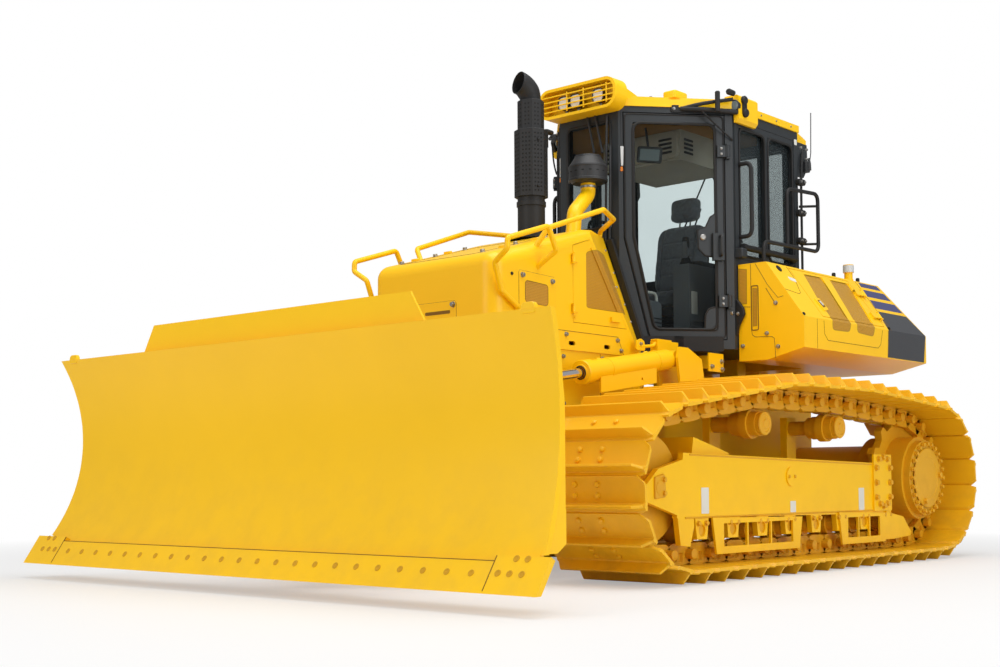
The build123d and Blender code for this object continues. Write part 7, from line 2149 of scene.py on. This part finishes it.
# ---- studio -----------------------------------------------------------------
@dataclass
class Studio:
    """Plain floor, soft light and the camera."""

    camera_place: Triple = (7.17524, 5.65935, 0.56395)
    yaw: float = 3.86782
    pitch: float = 0.05119
    roll: float = -0.00515
    lens: float = 49.99
    shift: Pair = (-0.0002, 0.0762)

    def ray(self, tree: ShaderTree, kind: str) -> Signal:
        """1 for one kind of ray, else 0."""
        return tree.node("ShaderNodeLightPath", output=f"Is {kind} Ray")

    def floor(self) -> None:
        """Wide pale floor that keeps the machine's shadow and goes over to plain white far off."""
        tree = ShaderTree("studio_floor")
        place, *_ = tree.place()
        white = tree.mix(tree.noise(place, 0.7, 2.0), (0.80, 0.80, 0.80), (0.79, 0.79, 0.79))
        lit = tree.node("ShaderNodeBsdfPrincipled", {}, {"Base Color": white, "Roughness": 0.6})
        plain = tree.node("ShaderNodeEmission", {}, {"Color": (1.0, 1.0, 1.0, 1.0), "Strength": 1.0})
        reach = tree.node("ShaderNodeVectorMath", {"operation": "LENGTH"}, {0: place}, "Value")
        share = self.ray(tree, "Camera") * (reach.ramp(3.4, 7.0) * 0.62 + 0.38)
        tree.node_output(tree.node("ShaderNodeMixShader", {}, {0: share, 1: lit, 2: plain}))
        mesh = bpy.data.meshes.new("studio_floor")
        mesh.from_pydata([(x, y, 0.0) for x, y in rect(-60.0, -60.0, 60.0, 60.0)], [], [(0, 1, 2, 3)])
        mesh.materials.append(tree.material)
        made = bpy.data.objects.new("studio_floor", mesh)
        bpy.context.scene.collection.objects.link(made)

    def world(self) -> None:
        """Soft surroundings, dimmer in mirrors, and plain white where the camera sees them."""
        world = bpy.data.worlds.new("studio")
        bpy.context.scene.world = world
        world.use_nodes = True
        tree = ShaderTree("studio_world", world.node_tree)
        soft, dim, white = [tree.node("ShaderNodeBackground", {}, {"Color": (1.0,) * 4, "Strength": light})
                            for light in (0.52, 0.34, 1.0)]
        under = tree.node("ShaderNodeMixShader", {}, {0: self.ray(tree, "Glossy"), 1: soft, 2: dim})
        shown = (self.ray(tree, "Camera") + self.ray(tree, "Transmission")).clamped(0.0, 1.0)
        tree.node_output(tree.node("ShaderNodeMixShader", {}, {0: shown, 1: under, 2: white}),
                         "ShaderNodeOutputWorld")

    def lamps(self) -> None:
        """Three large soft lamps: over the machine, in front and at its left."""
        rows = (("top", (1.0, 2.0, 8.5), (0.0, 0.0, 1.0), 7.0, 520.0),
                ("front", (9.0, -1.0, 4.5), (0.5, 0.0, 1.2), 5.0, 185.0),
                ("left", (1.0, 9.5, 4.0), (-0.5, 0.0, 1.2), 5.5, 260.0))
        for name, place, aim, size, power in rows:
            light = bpy.data.lights.new(f"studio_{name}", "AREA")
            light.size = size
            light.energy = power
            made = bpy.data.objects.new(f"studio_{name}", light)
            bpy.context.scene.collection.objects.link(made)
            made.location = place
            made.rotation_euler = (Vector(aim) - Vector(place)).to_track_quat("-Z", "Y").to_euler()

    def camera(self) -> None:
        """Camera low before the machine's left front corner."""
        forward = Vector((math.cos(self.pitch) * math.cos(self.yaw),
                          math.cos(self.pitch) * math.sin(self.yaw), math.sin(self.pitch)))
        right = forward.cross(Vector((0, 0, 1))).normalized()
        up = right.cross(forward)
        c, s = math.cos(self.roll), math.sin(self.roll)
        right, up = c * right + s * up, -s * right + c * up
        data = bpy.data.cameras.new("view")
        data.lens = self.lens
        data.sensor_width = 36.0
        data.shift_x, data.shift_y = self.shift
        data.clip_end = 200.0
        made = bpy.data.objects.new("view", data)
        bpy.context.scene.collection.objects.link(made)
        turn = Matrix((right, up, -forward)).transposed().to_4x4()
        made.matrix_world = Matrix.Translation(Vector(self.camera_place)) @ turn
        bpy.context.scene.camera = made

    def build(self) -> None:
        """Floor, world, lamps and camera."""
        self.floor()
        self.world()
        self.lamps()
        self.camera()
        bpy.context.scene.view_settings.view_transform = "Standard"


def dress_frame(frame: dict) -> None:
    """Cover every CAD node with its finish."""
    dress(frame, HULL_PAINT, "main_frame", "cross_shafts", "body_posts", "hood_skirts", "cooler_housing",
          "intake_pipe", "hood_rails", "cab_roof", "drawbar", "c_frame", "blade_knuckle", "blade",
          "tilt_barrel", "cutting_edge", *both("track_frame", "lift_barrel", "angle_barrel"))
    dress(frame, HOOD_PAINT, "hood", *both("engine_door"))
    dress(frame, FENDER_PAINT, "rear_body", *both("side_door"))
    dress(frame, TRACK_PAINT, *both("track"))
    dress(frame, CAST_PAINT, "engine_block",
          *both("sprocket", "final_drive", "idler", "track_rollers", "carrier_rollers"))
    dress(frame, CHROME, "tilt_rod", *both("lift_rod", "angle_rod"))
    dress(frame, DARK_PAINT, "cab_frame", "rear_grille_door", *both("cab_door"))
    dress(frame, BLACK_PAINT, "exhaust_stack", "cab_rails")
    dress(frame, GLASS, "cab_glass", *both("door_glass"))
    dress(frame, SEAT_CLOTH, "operator_seat")
    dress(frame, CONSOLE, "consoles")
    dress(frame, TRIM, "headliner_unit")
    dress(frame, BLACK_PLASTIC, "work_lamps", "precleaner", "radiator_fan")


def main() -> None:
    """Load the frame, dress it, add the fine pieces and set the studio."""
    logging.basicConfig(level=logging.INFO, format="%(name)s: %(message)s")
    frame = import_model()
    dress_frame(frame)
    for part in (Tracks(), Undercarriage(), Hood(), Stacks(), Cab(), CabDoor(), Roof(), Seat(), Interior(),
                 Fenders(), RearEnd(), Blade(), Cylinders(), Studio()):
        part.build()
        LOG.info("%s done", type(part).__name__)


if __name__ == "__main__":
    main()
